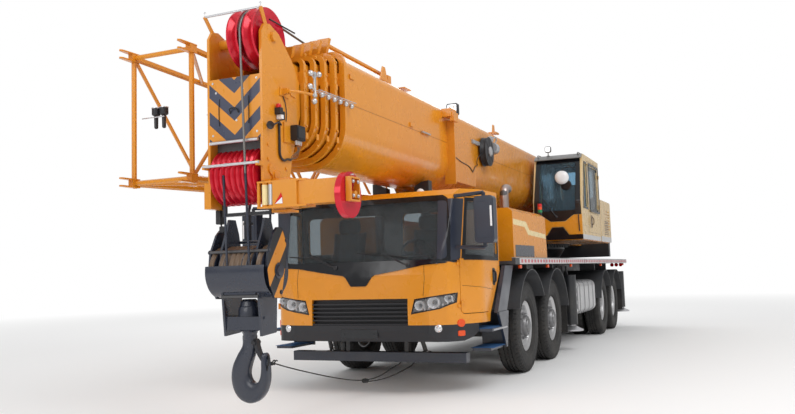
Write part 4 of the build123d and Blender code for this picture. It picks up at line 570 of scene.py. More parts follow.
def outwards(part):
    """A closed part with its faces outwards: its volume, summed over fans of a . (b x c), is positive."""
    points, faces = np.asarray(part[0], float), part[1]
    middle = points.mean(0)
    volume = 0.0
    for size_now in {len(face) for face in faces}:
        corners = points[np.array([face for face in faces if len(face) == size_now])] - middle
        for k in range(1, size_now - 1):
            volume += np.einsum("ij,ij->i", corners[:, 0], np.cross(corners[:, k], corners[:, k + 1])).sum()
    return points, faces if volume > 0 else [face[::-1] for face in faces]


def piece(name, parts, material, body, slot, sharp=35.0):
    """One object from a list of closed parts, riding on a body and with the given material as its finish; its
    slot is not used.
    """
    points, faces, base = [], [], 0
    for part_points, part_faces in map(outwards, parts):
        points.append(part_points)
        faces.extend([[index + base for index in face] for face in part_faces])
        base += len(part_points)
    mesh = bpy.data.meshes.new(name)
    mesh.from_pydata(np.concatenate(points).tolist(), [], faces)
    mesh.polygons.foreach_set("use_smooth", np.ones(len(mesh.polygons), bool))
    mesh.set_sharp_from_angle(angle=math.radians(sharp))
    mesh.materials.append(bpy.data.materials[material])
    mesh.update()
    made = bpy.data.objects.new(name, mesh)
    bpy.context.scene.collection.objects.link(made)
    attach(made, body)
    return made


def dress(material, *names):
    """Gives CAD nodes a finish."""
    for name in names:
        for slot in NODES[name].material_slots:
            slot.material = bpy.data.materials[material]


# ---------------------------------------------------------------- camera, floor and light
CAMERA_AT = (12.681, 4.097, 1.383)
CAMERA_YAW = -23.897  # degrees from the machine's rearward axis
CAMERA_PITCH = 5.155
CAMERA_ROLL = -1.763
LENS = 36.02
SHIFT = (0.0087, -0.008)
LIGHTS = (
    # name, place, target, width, height, power
    ("key", (7.0, 9.0, 11.0), (0.0, 0.0, 1.5), 9.0, 6.0, 700.0),
    ("front", (16.0, -2.0, 6.0), (4.0, 0.0, 1.5), 7.0, 5.0, 300.0),
    ("back", (-12.0, -7.0, 9.0), (-1.0, 0.0, 1.5), 9.0, 5.0, 450.0),
)


def look_at(place, target):
    """Matrix of a lamp or camera at place, with its minus Z towards target."""
    return Matrix.Translation(place) @ (
        Vector(target) - Vector(place)
    ).to_track_quat("-Z", "Y").to_matrix().to_4x4()


class CRANE_OT_stage(bpy.types.Operator):
    """Sets the camera, the plain pale floor and the soft studio light"""

    bl_idname = "crane.stage"
    bl_label = "Stage"

    def execute(self, context):
        scene = context.scene
        scene.view_settings.view_transform = "Standard"
        yaw, pitch, roll = (math.radians(a) for a in (CAMERA_YAW, CAMERA_PITCH, CAMERA_ROLL))
        ahead = Vector((-math.cos(yaw) * math.cos(pitch), math.sin(yaw) * math.cos(pitch), math.sin(pitch)))
        right = ahead.cross(Vector((0, 0, 1))).normalized()
        up = right.cross(ahead)
        level = math.cos(roll) * right + math.sin(roll) * up
        tilt = -math.sin(roll) * right + math.cos(roll) * up
        data = bpy.data.cameras.new("studio_camera")
        data.lens = LENS
        data.shift_x, data.shift_y = SHIFT
        data.clip_end = 200
        camera = bpy.data.objects.new("studio_camera", data)
        camera.matrix_world = Matrix.Translation(CAMERA_AT) @ Matrix(
            (level, tilt, -ahead)
        ).transposed().to_4x4()
        scene.collection.objects.link(camera)
        scene.camera = camera

        for name, place, target, width, height, power in LIGHTS:
            lamp = bpy.data.lights.new(name, "AREA")
            lamp.shape = "RECTANGLE"
            lamp.size, lamp.size_y, lamp.energy = width, height, power
            lamp_object = bpy.data.objects.new(name, lamp)
            lamp_object.matrix_world = look_at(place, target)
            scene.collection.objects.link(lamp_object)

        world = bpy.data.worlds.new("studio")
        world.use_nodes = True
        tree = world.node_tree
        background = tree.nodes["Background"]
        path = tree.nodes.new("ShaderNodeLightPath")
        seen = maths(tree, "MAXIMUM", path.outputs["Is Camera Ray"], path.outputs["Is Transmission Ray"])
        height = ramp(tree, split(tree, "Generated")[2], -0.15, 0.55)
        glow = maths(tree, "MULTIPLY_ADD", height, 0.5, 0.24)
        tree.links.new(maths(tree, "MAXIMUM", glow, seen), background.inputs["Strength"])
        background.inputs["Color"].default_value = (1, 1, 1, 1)
        scene.world = world

        mesh = bpy.data.meshes.new("floor")
        mesh.from_pydata([(-60, -60, 0), (60, -60, 0), (60, 60, 0), (-60, 60, 0)], [], [(0, 1, 2, 3)])
        mesh.materials.append(bpy.data.materials["studio_floor"])
        floor = bpy.data.objects.new("floor", mesh)
        scene.collection.objects.link(floor)
        return {"FINISHED"}


# ---------------------------------------------------------------- rope that ties the hook back
TETHER_POINTS = (
    (3.8, 0.355, 0.5747), (3.8, 0.355, 0.518), (3.824, 0.336, 0.462), (3.848, 0.308, 0.394),
    (3.872, 0.282, 0.33), (3.922, 0.257, 0.295), (3.98, 0.238, 0.282), (4.06, 0.219, 0.262),
    (4.17, 0.197, 0.23), (4.29, 0.177, 0.205), (4.42, 0.161, 0.195), (4.56, 0.152, 0.199),
    (4.71, 0.151, 0.212), (4.86, 0.152, 0.232), (5.02, 0.153, 0.259), (5.18, 0.153, 0.29),
    (5.34, 0.152, 0.323), (5.5, 0.151, 0.358), (5.66, 0.149, 0.395), (5.82, 0.146, 0.433),
    (5.98, 0.142, 0.472), (6.14, 0.138, 0.512), (6.29, 0.134, 0.552), (6.435, 0.132, 0.592),
)
LEG_POINTS = (
    (3.812, 0.412, 0.5747), (3.812, 0.412, 0.516), (3.83, 0.428, 0.458), (3.848, 0.446, 0.396),
    (3.872, 0.446, 0.328), (3.925, 0.425, 0.286), (3.985, 0.396, 0.264), (4.065, 0.356, 0.236),
    (4.16, 0.304, 0.206), (4.26, 0.252, 0.184), (4.36, 0.205, 0.172), (4.47, 0.168, 0.172),
    (4.592, 0.152, 0.184),
)
TETHER_LENGTH = 2.911
LEG_LENGTH = 1.069


def rope_curve(name, points, radius, material):
    """A cord as one smooth curve with the route's points as its control points."""
    data = bpy.data.curves.new(name, "CURVE")
    data.dimensions = "3D"
    data.bevel_depth = radius
    data.bevel_resolution = 3
    data.resolution_u = 8
    data.use_fill_caps = True
    spline = data.splines.new("NURBS")
    spline.points.add(len(points) - 1)
    for control, point in zip(spline.points, points):
        control.co = (*point, 1.0)
    spline.order_u = 3
    spline.use_endpoint_u = True
    data.materials.append(bpy.data.materials[material])
    made = bpy.data.objects.new(name, data)
    bpy.context.scene.collection.objects.link(made)
    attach(made, "carrier")
    return made


class CRANE_OT_tether(bpy.types.Operator):
    """Lays the rope and its second leg from the frame's tow eyes to the hook"""

    bl_idname = "crane.tether"
    bl_label = "Tether"

    def execute(self, context):
        width = sizes().rope
        for name, points, length, replaced in (
            ("tether_line", TETHER_POINTS, TETHER_LENGTH, "tether_rope"),
            ("tether_second_leg", LEG_POINTS, LEG_LENGTH, "tether_leg"),
        ):
            rope = rope_curve(name, points, width / 2, "rope")
            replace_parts(rope, replaced)
        return {"FINISHED"}



# ---------------------------------------------------------------- finishes of the frame's own pieces
FINISHES = {
    "boom_paint": (
        "boom_base", "jib", "section_2", "section_3", "section_4", "section_5", "boom_head", "nose_arm",
        "turntable", "luff_barrel"
    ),
    "body_paint": ("cab_shell", "cab_roof"), "hood_paint": ("engine_hood",),
    "cream_paint": ("tail_box", "operator_cab"), "tether_black": ("tether_ferrule",),
    "aluminium_paint": ("tanks",), "window_door_body": ("cab_door_left", "cab_door_right"),
    "window_door_cream": ("operator_door",),
    "frame_paint": (
        "chassis", "axles", "counterweight", "limit_weight", "knuckle_1_left", "knuckle_1_right",
        "knuckle_2_left", "knuckle_2_right", "outrigger_beam_front_left", "outrigger_beam_front_right",
        "outrigger_beam_rear_left", "outrigger_beam_rear_right"
    ),
    "hook_paint": ("hook_block", "hook"), "black_trim": ("bumper",), "navy_paint": ("steps", "mirrors"),
    "sheave_red": ("head_sheaves",), "chrome": ("luff_rod",),
    "steel": (
        "outrigger_jack_front_left", "outrigger_jack_front_right", "outrigger_jack_rear_left",
        "outrigger_jack_rear_right"
    ),
    "iron": ("engine",), "seat_cloth": ("seats", "operator_seat"), "glass_blue": ("operator_glass",),
    "glass_dark": ("cab_glass",), "deck_paint": ("deck",), "lamp_lens": ("lamps",),
    "rubber": tuple(f"wheel_{axle}_{side}" for axle in (1, 2, 3, 4) for side in ("left", "right")),
}


def glass(name, colour_value, rough=0.02):
    """Tinted window glass with a faint film of dust."""
    material, tree, shader = finish_material(
        name, colour_value, rough, Transmission_Weight=0.92, IOR=1.12, Specular_IOR_Level=0.5
    )
    place = place_of(tree)
    film = ramp(tree, noise(tree, place, 4.0, 6.0), 0.4, 0.9)
    tree.links.new(maths(tree, "MULTIPLY_ADD", film, 0.05, rough), shader.inputs["Roughness"])
    return material


def cloth(name, colour_value):
    """Woven seat cloth: two crossed waves under a broad change of tone."""
    material, tree, shader = finish_material(name, colour_value, 0.85, Sheen_Weight=0.25)
    place = place_of(tree)
    waves = []
    for direction in ("X", "Z"):
        wave = node(tree, "ShaderNodeTexWave", wave_type="BANDS", bands_direction=direction, Scale=260.0)
        tree.links.new(place, wave.inputs["Vector"])
        waves.append(wave.outputs["Fac"])
    weave = maths(tree, "MAXIMUM", *waves)
    tone = ramp(tree, noise(tree, place, 14.0, 3.0), 0.2, 0.8)
    lighter = tuple(min(1.0, c * 1.7) for c in colour_value)
    tree.links.new(mix(tree, tone, colour_value, lighter), shader.inputs["Base Color"])
    bump(tree, shader, weave, 0.35, 0.0008)
    return material


def glazed(material, left, right, low, slope, high, slant):
    """Turns a door's paint to window glass inside its window: X from left to right - slant (Z - low), and Z
    from low + slope (X - left) to high."""
    tree = material.node_tree
    x, _, z = split(tree)
    sill = maths(tree, "MULTIPLY_ADD", maths(tree, "SUBTRACT", x, left), slope, low)
    edge = maths(tree, "MULTIPLY_ADD", maths(tree, "SUBTRACT", z, low), -slant, right)
    across = maths(
        tree, "MULTIPLY", maths(tree, "GREATER_THAN", x, left), maths(tree, "GREATER_THAN", edge, x)
    )
    up = maths(tree, "MULTIPLY", maths(tree, "GREATER_THAN", z, sill), maths(tree, "LESS_THAN", z, high))
    pane = node(tree, "ShaderNodeBsdfPrincipled", Roughness=0.03, IOR=1.12)
    pane.inputs["Base Color"].default_value = (0.42, 0.46, 0.48, 1)
    pane.inputs["Transmission Weight"].default_value = 0.85
    shade_by(tree, maths(tree, "MULTIPLY", across, up), tree.nodes["Principled BSDF"], pane)


def shade_cab_inside(material, middle, *planes):
    """Turns paint near black where a X + b |Y - middle| + c Z < d for each (a, b, c, d): painted shade
    over the room behind the walls."""
    tree = material.node_tree
    shader = tree.nodes["Principled BSDF"]
    x, y, z = split(tree)
    aside = maths(tree, "ABSOLUTE", maths(tree, "SUBTRACT", y, middle))
    mask = 1.0
    for a, b, c, d in planes:
        value = maths(tree, "MULTIPLY", x, a)
        value = maths(tree, "MULTIPLY_ADD", aside, b, value)
        value = maths(tree, "MULTIPLY_ADD", z, c, value)
        mask = maths(tree, "MULTIPLY", maths(tree, "LESS_THAN", value, d), mask)
    paint_link = shader.inputs["Base Color"].links[0].from_socket
    # painted shade: the room's inside goes near black
    tree.links.new(mix(tree, mask, paint_link, (0.022, 0.023, 0.028)), shader.inputs["Base Color"])
    return material


FLOOR_PLAIN, FLOOR_WHITE = 9.0, 26.0  # metres from the middle where the floor starts to fade, and is white
# rooms whose inside gets painted shade, as (a, b, c, d) for a X + b |Y - middle| + c Z < d
DRIVER_ROOM = (
    (-1, 0, 0, -3.36), (1, 0, 0, 4.19), (0.0556, 1, 0, 1.5346), (0.629, 1, 0, 3.7996), (0, 0, -1, -0.83),
    (0, 0, 1, 2.262),
)
OPERATOR_ROOM = (
    (-1, 0, 0, 3.73), (1, 0, 0, -1.84), (1, 0, 0.326, -1.0), (0, 1, 0, 0.415), (0, 0, -1, -1.925),
    (0, 0, 1, 3.43),
)


def stripes(name, low, high, pattern, rough=0.35):
    """Two flat colours laid by a pattern of the object's own X, Y and Z in metres: high where it gives 1."""
    material, tree, shader = finish_material(name, low, rough, Coat_Weight=0.2)
    mask = pattern(tree, *split(tree))
    texture = place_group(tree, "Paint texture", Colour=mix(tree, mask, low, high), Variation=0.12, Scale=2.0)
    dirt = place_group(tree, "Road film", Colour=texture.outputs["Colour"], Amount=0.12, Top=3.0)
    tree.links.new(dirt.outputs["Colour"], shader.inputs["Base Color"])
    tree.links.new(
        maths(tree, "MULTIPLY_ADD", texture.outputs["Gloss"], 0.2, rough - 0.1), shader.inputs["Roughness"]
    )
    return material


def chevrons(tree, x, y, z):
    """Bands that climb away from the middle: 1 where frac((z - 2.776 - 0.87 |y|) / 0.25) < 0.49."""
    climb = maths(tree, "MULTIPLY_ADD", maths(tree, "ABSOLUTE", y), -0.87, maths(tree, "SUBTRACT", z, 2.776))
    return maths(tree, "LESS_THAN", maths(tree, "FRACT", maths(tree, "DIVIDE", climb, 0.25)), 0.49)


def tape(tree, x, y, z):
    """Squares every 0.17 m along X, in the middle of the tape's height."""
    along = maths(tree, "LESS_THAN", maths(tree, "FRACT", maths(tree, "DIVIDE", x, 0.17)), 0.52)
    up = maths(tree, "LESS_THAN", maths(tree, "ABSOLUTE", maths(tree, "SUBTRACT", z, 1.477)), 0.021)
    return maths(tree, "MULTIPLY", along, up)


def diagonals(tree, x, y, z):
    """Two sloping bands on a plate that faces sideways: 1 where frac((z + 1.32 x - 10.44) / 0.374) < 0.45."""
    climb = maths(tree, "MULTIPLY_ADD", x, 1.32, maths(tree, "SUBTRACT", z, 10.44))
    return maths(tree, "LESS_THAN", maths(tree, "FRACT", maths(tree, "DIVIDE", climb, 0.374)), 0.45)


def make_finishes():
    """Every finish that is used, named in a maker's plain words."""
    tints = colours()
    make_groups()
    paint("boom_paint", tints.boom, film=0.1, top=1.0, variation=0.1, wear=0.25, under=(0.35, 0.13, 0.02))
    paint("body_paint", tints.body, film=0.12, top=1.6, variation=0.05)
    paint("hood_paint", tints.body, film=0.12, top=1.6, variation=0.05)
    paint("cream_paint", tints.cream, film=0.1, variation=0.05)
    paint(
        "frame_paint", tints.dark, film=0.5, top=1.5, variation=0.3, rough=(0.4, 0.62), wear=0.4,
        under=(0.09, 0.08, 0.075)
    )
    paint(
        "hook_paint", tints.navy, film=0.15, top=2.2, variation=0.35, rough=(0.18, 0.45), wear=0.6,
        under=(0.11, 0.11, 0.12)
    )
    paint("navy_paint", tints.navy, film=0.2, top=1.6, variation=0.2, rough=(0.3, 0.45))
    paint("sheave_red", tints.red, film=0.0, variation=0.15, rough=(0.25, 0.42))
    # painted shade inside the driver's cab and the operator's cab
    shade_cab_inside(bpy.data.materials["body_paint"], 0.0, *DRIVER_ROOM)
    shade_cab_inside(bpy.data.materials["cream_paint"], OPERATOR_Y, *OPERATOR_ROOM)
    glazed(
        paint("window_door_body", tints.body, film=0.12, top=1.6, variation=0.05), 3.45, 4.16, 1.52, 0.056,
        2.165, 0.075
    )
    glazed(
        paint("window_door_cream", tints.cream, film=0.1, variation=0.05), -3.56, -2.58, 2.45, 0.0, 3.3, 0.0
    )
    plastic("tether_black", (0.012, 0.012, 0.013), 0.6)
    paint("deck_paint", (0.05, 0.053, 0.06), film=0.35, top=3.0, variation=0.2, rough=(0.5, 0.7))
    plastic("black_trim", tints.trim, 0.42)
    plastic("gloss_black", (0.008, 0.009, 0.012), 0.12, grain=0.02, film=0.05)
    plastic("rubber", (0.014, 0.014, 0.015), 0.72, grain=0.5, film=0.35, scale=260.0)
    plastic("rope", (0.012, 0.012, 0.013), 0.7, grain=0.8, film=0.1, scale=300.0)
    metal("steel", (0.24, 0.24, 0.25), 0.42, film=0.3)
    metal("chrome", (0.8, 0.8, 0.82), 0.12, brushed=(1, 1, 30), film=0.0)
    metal("rim_silver", (0.62, 0.62, 0.63), 0.34, film=0.35)
    metal("hub_grey", (0.3, 0.3, 0.31), 0.42, film=0.45)
    metal("iron", (0.14, 0.14, 0.145), 0.62, film=0.5, pits=0.6)
    glass("glass_dark", (0.42, 0.46, 0.48))
    glass("glass_blue", (0.42, 0.6, 0.72))
    finish_material("lamp_lens", (0.9, 0.92, 0.94), 0.05, Alpha=0.16)
    finish_material("reflector", (0.86, 0.86, 0.88), 0.4, Metallic=0.35)
    paint("seam_orange", tuple(0.45 * c for c in tints.boom), film=0.05, variation=0.04)
    paint("visor_grey", (0.2, 0.2, 0.2), film=0.05, variation=0.1, rough=(0.4, 0.55))
    paint("cream_shade", tuple(0.42 * c for c in tints.cream), film=0.05, variation=0.04)
    paint("chevron_grey", (0.055, 0.058, 0.075), film=0.05, variation=0.1)
    paint("stripe_cream", (0.9, 0.72, 0.36), film=0.05, variation=0.04)
    paint("aluminium_paint", (0.36, 0.36, 0.37), film=0.2, top=2.4, variation=0.12, rough=(0.3, 0.45))
    paint("grey_light", (0.62, 0.62, 0.62), film=0.1, variation=0.1, rough=(0.3, 0.5))
    paint("white_gloss", (0.86, 0.86, 0.87), film=0.05, variation=0.03, rough=(0.12, 0.22))
    stripes("chevron_plate", tints.boom, tints.chevron, chevrons)
    stripes("rail_tape", (0.62, 0.6, 0.6), tints.tape, tape)
    stripes("hazard_plate", tints.boom, (0.012, 0.013, 0.016), diagonals)
    plastic("shadow_gap", (0.003, 0.003, 0.003), 0.9, grain=0.0, film=0.0)
    plastic("amber_lens", (0.8, 0.075, 0.004), 0.14, grain=0.02, film=0.05)
    plastic("red_lens", (0.62, 0.006, 0.008), 0.14, grain=0.02, film=0.05)
    plastic("green_lens", (0.01, 0.24, 0.075), 0.14, grain=0.02, film=0.05)
    plastic("frosted_white", (0.8, 0.8, 0.79), 0.3, grain=0.02, film=0.05)
    plastic("brown_nylon", (0.16, 0.105, 0.066), 0.4, grain=0.05, film=0.1)
    plastic("blue_mat", (0.03, 0.12, 0.3), 0.5, grain=0.3, film=0.2, scale=90.0)
    metal("exhaust_steel", (0.5, 0.4, 0.37), 0.32, film=0.0, pits=0.15)
    metal("rope_steel", (0.22, 0.21, 0.2), 0.45, film=0.1, pits=0.4)
    cloth("seat_cloth", (0.018, 0.019, 0.024))
    _, tree, shader = finish_material("studio_floor", tints.floor, 0.9)
    length = tree.nodes.new("ShaderNodeVectorMath")
    length.operation = "LENGTH"
    tree.links.new(place_of(tree), length.inputs[0])
    glow = node(tree, "ShaderNodeEmission", Strength=1.0)
    shade_by(tree, ramp(tree, length.outputs["Value"], FLOOR_PLAIN, FLOOR_WHITE), shader, glow)


class CRANE_OT_finishes(bpy.types.Operator):
    """Makes the finishes and gives them to the frame's own pieces"""

    bl_idname = "crane.finishes"
    bl_label = "Finishes"

    def execute(self, context):
        make_finishes()
        for material, names in FINISHES.items():
            dress(material, *names)
        return {"FINISHED"}


# ---------------------------------------------------------------- wheels
TYRE_R = 0.612
TRACK_Y = 1.207
TWIN_PITCH = 0.35
AXLES = ((1, 2.03, False), (2, 0.46, False), (3, -4.135, True), (4, -5.584, True))
TREAD_PITCHES = 58
AXLE = (0, 0, 0)  # a wheel's own centre
NUTS, CAP_BOLTS, HAND_HOLES = 10, 8, 8
# sidewall down to the bead: half width, radius
SIDEWALL = (
    (0.144, 0.57), (0.1462, 0.556), (0.144, 0.553), (0.1475, 0.52), (0.15, 0.48), (0.149, 0.44),
    (0.144, 0.406), (0.1455, 0.402), (0.14, 0.39), (0.133, 0.372), (0.125, 0.356), (0.13, 0.352),
    (0.118, 0.342), (0.1, 0.336), (0.096, 0.313),
)
# across the tread: half width, share of the groove's depth
TREAD = ((0.101, 0.0), (0.056, 0.0), (0.054, 1.0), (0.043, 1.0), (0.041, 0.0), (0.007, 0.0), (0.005, 1.0))
# rims: radius, outboard distance
RIM_LIP = (
    (0.308, 0.092), (0.33, 0.094), (0.336, 0.1), (0.336, 0.107), (0.33, 0.109), (0.322, 0.106),
    (0.312, 0.098),
)
FRONT_RIM = (
    *RIM_LIP, (0.296, 0.09), (0.276, 0.082), (0.266, 0.06), (0.262, 0.034), (0.256, 0.024), (0.25, 0.016),
    (0.27, 0.01), (0.282, -0.02), (0.292, -0.094), (0.308, -0.094),
)
FRONT_DISC = (0.252, 0.18, 0.026, 0.074)  # outer and inner radius, outboard distance at each
FRONT_HUB = (
    (0.186, 0.064), (0.184, 0.074), (0.15, 0.086), (0.139, 0.094), (0.136, 0.13), (0.128, 0.142),
    (0.092, 0.146), (0.086, 0.16), (0.06, 0.168), (0.0, 0.17),
)
TWIN_RIM = (
    *RIM_LIP, (0.3, 0.088), (0.292, 0.06), (0.288, -0.05), (0.28, -0.085), (0.262, -0.108), (0.25, -0.116),
    (0.25, -0.132), (0.29, -0.13), (0.292, -0.456), (0.308, -0.456),
)
TWIN_DISC = (0.252, 0.17, -0.116, -0.122)
TWIN_HUB = (
    (0.176, -0.13), (0.174, -0.12), (0.15, -0.118), (0.143, -0.108), (0.141, 0.04), (0.132, 0.058),
    (0.112, 0.064), (0.108, 0.078), (0.08, 0.084), (0.0, 0.086),
)


def wheel_place(axle_x, side, points):
    """Wheel coordinates (along x, outboard from the tyre's middle, up from the axle) to the machine's."""
    points = np.asarray(points, float)
    return np.stack([axle_x + points[..., 0], side * (TRACK_Y + points[..., 1]), TYRE_R + points[..., 2]], -1)


def tyre(depth):
    """Tyre about its own axis: its section's points (half width w, radius r) are carried round by the angle
    a, the ribs' edges zigzag with a, and the shoulder is cut back by a notch over a share of each pitch."""
    steps = np.array((0.0, 0.1, 0.6, 0.7))
    phase = (np.arange(TREAD_PITCHES)[:, None] + steps[None]).ravel() / TREAD_PITCHES
    high = np.tile(np.array((0.0, 1.0, 1.0, 0.0)), TREAD_PITCHES)
    zigzag = 0.005 * np.tile(np.array((-1.0, -0.6, 1.0, 0.6)), TREAD_PITCHES)
    left = [(-w, r, 0.0, 0) for w, r in reversed(SIDEWALL)]
    shoulder = [(-0.139, 0.586, 0.0, 2), (-0.128, 0.6, 0.0, 2), (-0.104, TYRE_R - 0.002, 0.0, 2)]
    across = [(-w, TYRE_R, d, 1) for w, d in TREAD] + [(w, TYRE_R, d, 1) for w, d in reversed(TREAD)]
    right = [(-w, r, d, kind) for w, r, d, kind in reversed(shoulder)] + [(w, r, 0.0, 0) for w, r in SIDEWALL]
    section = np.array(left + shoulder + across + right)
    width, radius, groove, kind = (section[:, k][None] for k in range(4))
    notch = np.where(kind == 2, (1 - high)[:, None] * depth * 0.8, 0.0)
    side_cut = np.where((radius > 0.552) & (kind == 0), (1 - high)[:, None] * 0.006, 0.0)
    w = width + np.where(kind == 1, zigzag[:, None], 0.0) - np.sign(width) * side_cut
    r = radius - groove * depth - notch
    angle = (phase * TAU)[:, None]
    return loop_rings(np.stack([r * np.cos(angle), w + 0 * r, r * np.sin(angle)], -1))


def holed_ring(outer, inner, out_h, in_h, holes, hole_r, thickness):
    """Cone-shaped ring with round holes: each sector's skin runs from its hole's circle (s = 0) to its edge
    (s = 1), and the height goes evenly from out_h to in_h between the two radii."""
    middle = (outer + inner) / 2
    half_turn = math.pi / holes
    turn = np.linspace(0, TAU, 24, endpoint=False)
    cos, sin = np.cos(turn), np.sin(turn)
    circle = np.stack([hole_r * cos / middle, middle + hole_r * sin], 1)
    reach = 1 / np.maximum(np.abs(cos), np.abs(sin))
    square = np.stack([cos * reach * half_turn, middle + sin * reach * (outer - inner) / 2], 1)
    share = np.linspace(0, 1, 4)[:, None, None]
    flat = (1 - share) * circle + share * square
    parts = []
    for k in range(holes):
        angle, radius = flat[..., 0] + k * 2 * half_turn, flat[..., 1]
        height = in_h + (out_h - in_h) * (radius - inner) / (outer - inner)
        front = np.stack([radius * np.cos(angle), height, radius * np.sin(angle)], -1)
        parts.append(loop_rings(np.concatenate([front[::-1], front - np.array((0, thickness, 0))])))
    return parts


class CRANE_OT_wheels(bpy.types.Operator):
    """Builds the tyres with their tread and the pressed steel rims with their nuts"""

    bl_idname = "crane.wheels"
    bl_label = "Wheels"

    def execute(self, context):
        one_tyre = tyre(sizes().tread)
        for axle, x, twin in AXLES:
            profile, disc, hub = (TWIN_RIM, TWIN_DISC, TWIN_HUB) if twin else (
                FRONT_RIM, FRONT_DISC, FRONT_HUB
            )
            rim = [hollow_lathe(profile, AXLE, Y, 64)]
            face = holed_ring(*disc, HAND_HOLES, 0.021, 0.009)
            centre = lathe([(0.003, hub[0][1] - 0.01), *hub[:-1], (0.003, hub[-1][1])], AXLE, Y, 48)
            nut_r, nut_h = (0.162, -0.117) if twin else (0.167, 0.079)
            nuts = []
            for part in (
                lathe([(0.017, 0.0), (0.017, 0.004)], (nut_r, nut_h, 0), Y, 16),
                lathe([(0.0135, 0.004), (0.0135, 0.02), (0.011, 0.023)], (nut_r, nut_h, 0), Y, 6),
                lathe([(0.007, 0.02), (0.007, 0.034), (0.005, 0.036)], (nut_r, nut_h, 0), Y, 10),
            ):
                nuts += turned(part, AXLE, Y, NUTS)
            cap_r, cap_h = (0.092, 0.082) if twin else (0.11, 0.145)
            for part in bolt((cap_r, cap_h, 0), Y, 0.007, 0.007):
                nuts += turned(part, AXLE, Y, CAP_BOLTS)
            stem = ((0.23, 0.0, 0.03), (0.262, 0.03, 0.034), (0.275, 0.06, 0.036))
            valve = sweep([(along, disc[2] + out, up) for along, out, up in stem], 0.005, 8)
            for side, hand in SIDES:
                body = f"wheel_{axle}_{hand}"
                tyres = [one_tyre] + ([moved(one_tyre, offset=(0, -TWIN_PITCH, 0))] if twin else [])
                for name, parts, material, slot in (
                    ("tyre", tyres, "rubber", "tyre"),
                    ("rim", rim + face + [valve], "rim_silver", "steel"),
                    ("hub", [centre] + nuts, "hub_grey", "steel"),
                ):
                    placed = [(wheel_place(x, side, points), faces) for points, faces in parts]
                    made = piece(f"{name}_{axle}_{hand}", placed, material, body, slot, 30)
                    if name == "tyre":
                        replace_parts(made, body)
        return {"FINISHED"}


# ---------------------------------------------------------------- driver's cab
DRIVER_Y = 0.56  # the seats' middle
CAB_PLAN = ((3.32, 1.38), (3.95, 1.345), (4.36, 1.087), (4.43, 0.86), (4.46, 0.0))
CAB_PLAN_RADII = (0.0, 0.3, 0.14, 0.0, 0.0)
CAB_SIDE = (
    (3.765, 0.79), (4.44, 0.791), (4.457, 0.83), (4.446, 0.9), (4.412, 1.35), (4.275, 2.24), (4.19, 2.304)
)


def rounded_path(points, radii, steps=8):
    """Open path with its corners rounded: each corner gives an arc that is tangent to both of its runs."""
    points = np.asarray(points, float)
    out = [points[0]]
    for before, corner, after, radius in zip(points, points[1:], points[2:], radii[1:]):
        a, b = ((end - corner) / np.linalg.norm(end - corner) for end in (before, after))
        if radius <= 0:
            out.append(corner)
            continue
        half = math.acos(float(np.clip(a.dot(b), -1, 1))) / 2
        reach = radius / math.tan(half)
        bisector = (a + b) / np.linalg.norm(a + b)
        centre = corner + bisector * radius / math.sin(half)
        start, end = corner + a * reach - centre, corner + b * reach - centre
        sweep_angle = math.pi - 2 * half
        for share in np.linspace(0, 1, steps):
            weights = math.sin((1 - share) * sweep_angle), math.sin(share * sweep_angle)
            out.append(centre + (start * weights[0] + end * weights[1]) / math.sin(sweep_angle))
    out.append(points[-1])
    return np.array(out)


CAB_ROUND = rounded_path(CAB_PLAN, CAB_PLAN_RADII)


def cab_front(y, z):
    """X of the cab's front skin: the nearer of its plan at y and its side outline at z."""
    plan = np.interp(np.abs(y), CAB_ROUND[::-1, 1], CAB_ROUND[::-1, 0])
    side = np.interp(z, [p[1] for p in CAB_SIDE], [p[0] for p in CAB_SIDE])
    return np.minimum(plan, side)


def cab_flank(x):
    """Half width of the cab at x."""
    return np.interp(x, CAB_ROUND[:, 0], CAB_ROUND[:, 1])


def ray_reach(outline, centre, turn):
    """Distance from a centre to a closed outline in each direction of turn."""
    outline = np.asarray(outline, float) - centre
    ahead = np.roll(outline, -1, 0) - outline
    direction = np.stack([np.cos(turn), np.sin(turn)], 1)
    cross = direction[:, None, 0] * ahead[None, :, 1] - direction[:, None, 1] * ahead[None, :, 0]
    cross = np.where(np.abs(cross) < 1e-12, 1e-12, cross)
    reach = (outline[None, :, 0] * ahead[None, :, 1] - outline[None, :, 1] * ahead[None, :, 0]) / cross
    share = (
        outline[None, :, 0] * direction[:, None, 1] - outline[None, :, 1] * direction[:, None, 0]
    ) / cross
    reach = np.where((share >= -1e-9) & (share <= 1 + 1e-9) & (reach > 0), reach, np.inf)
    return reach.min(1)


def frame_between(inner, outer, centre, rows=4, count=160):
    """Flat ring of points between two outlines round a centre: row s reaches inner + s (outer - inner)."""
    corners = [math.atan2(p[1] - centre[1], p[0] - centre[0]) % TAU for p in list(inner) + list(outer)]
    turn = np.unique(np.concatenate([np.linspace(0, TAU, count, endpoint=False), np.array(corners)]))
    direction = np.stack([np.cos(turn), np.sin(turn)], 1)
    near, far = ray_reach(inner, centre, turn), ray_reach(outer, centre, turn)
    share = np.linspace(0, 1, rows)[:, None]
    reach = near + share * (far - near)
    return np.asarray(centre) + reach[..., None] * direction[None]


def ring_sheet(flat, lift, low, high):
    """Closed sheet over a flat ring: lift(flat, d) gives the points at d off the surface, low to high."""
    return loop_rings(np.concatenate([lift(flat, high), lift(flat, low)[::-1]]))


def patch_sheet(outline, lift, low, high, rows=6):
    """Closed sheet over an outline: rings shrink to a point at the outline's middle, front and back."""
    outline = np.asarray(outline, float)
    centre = outline.mean(0)
    share = np.linspace(0.02, 1, rows)[:, None, None]
    flat = centre + share * (outline - centre)[None]
    return rings(np.concatenate([lift(flat, high), lift(flat[::-1], low)]))


def on_cab_front(flat, distance):
    """Points of the cab's front skin at (y, z), moved forwards by a distance."""
    y, z = flat[..., 0], flat[..., 1]
    return np.stack([cab_front(y, z) + distance, y, z], -1)


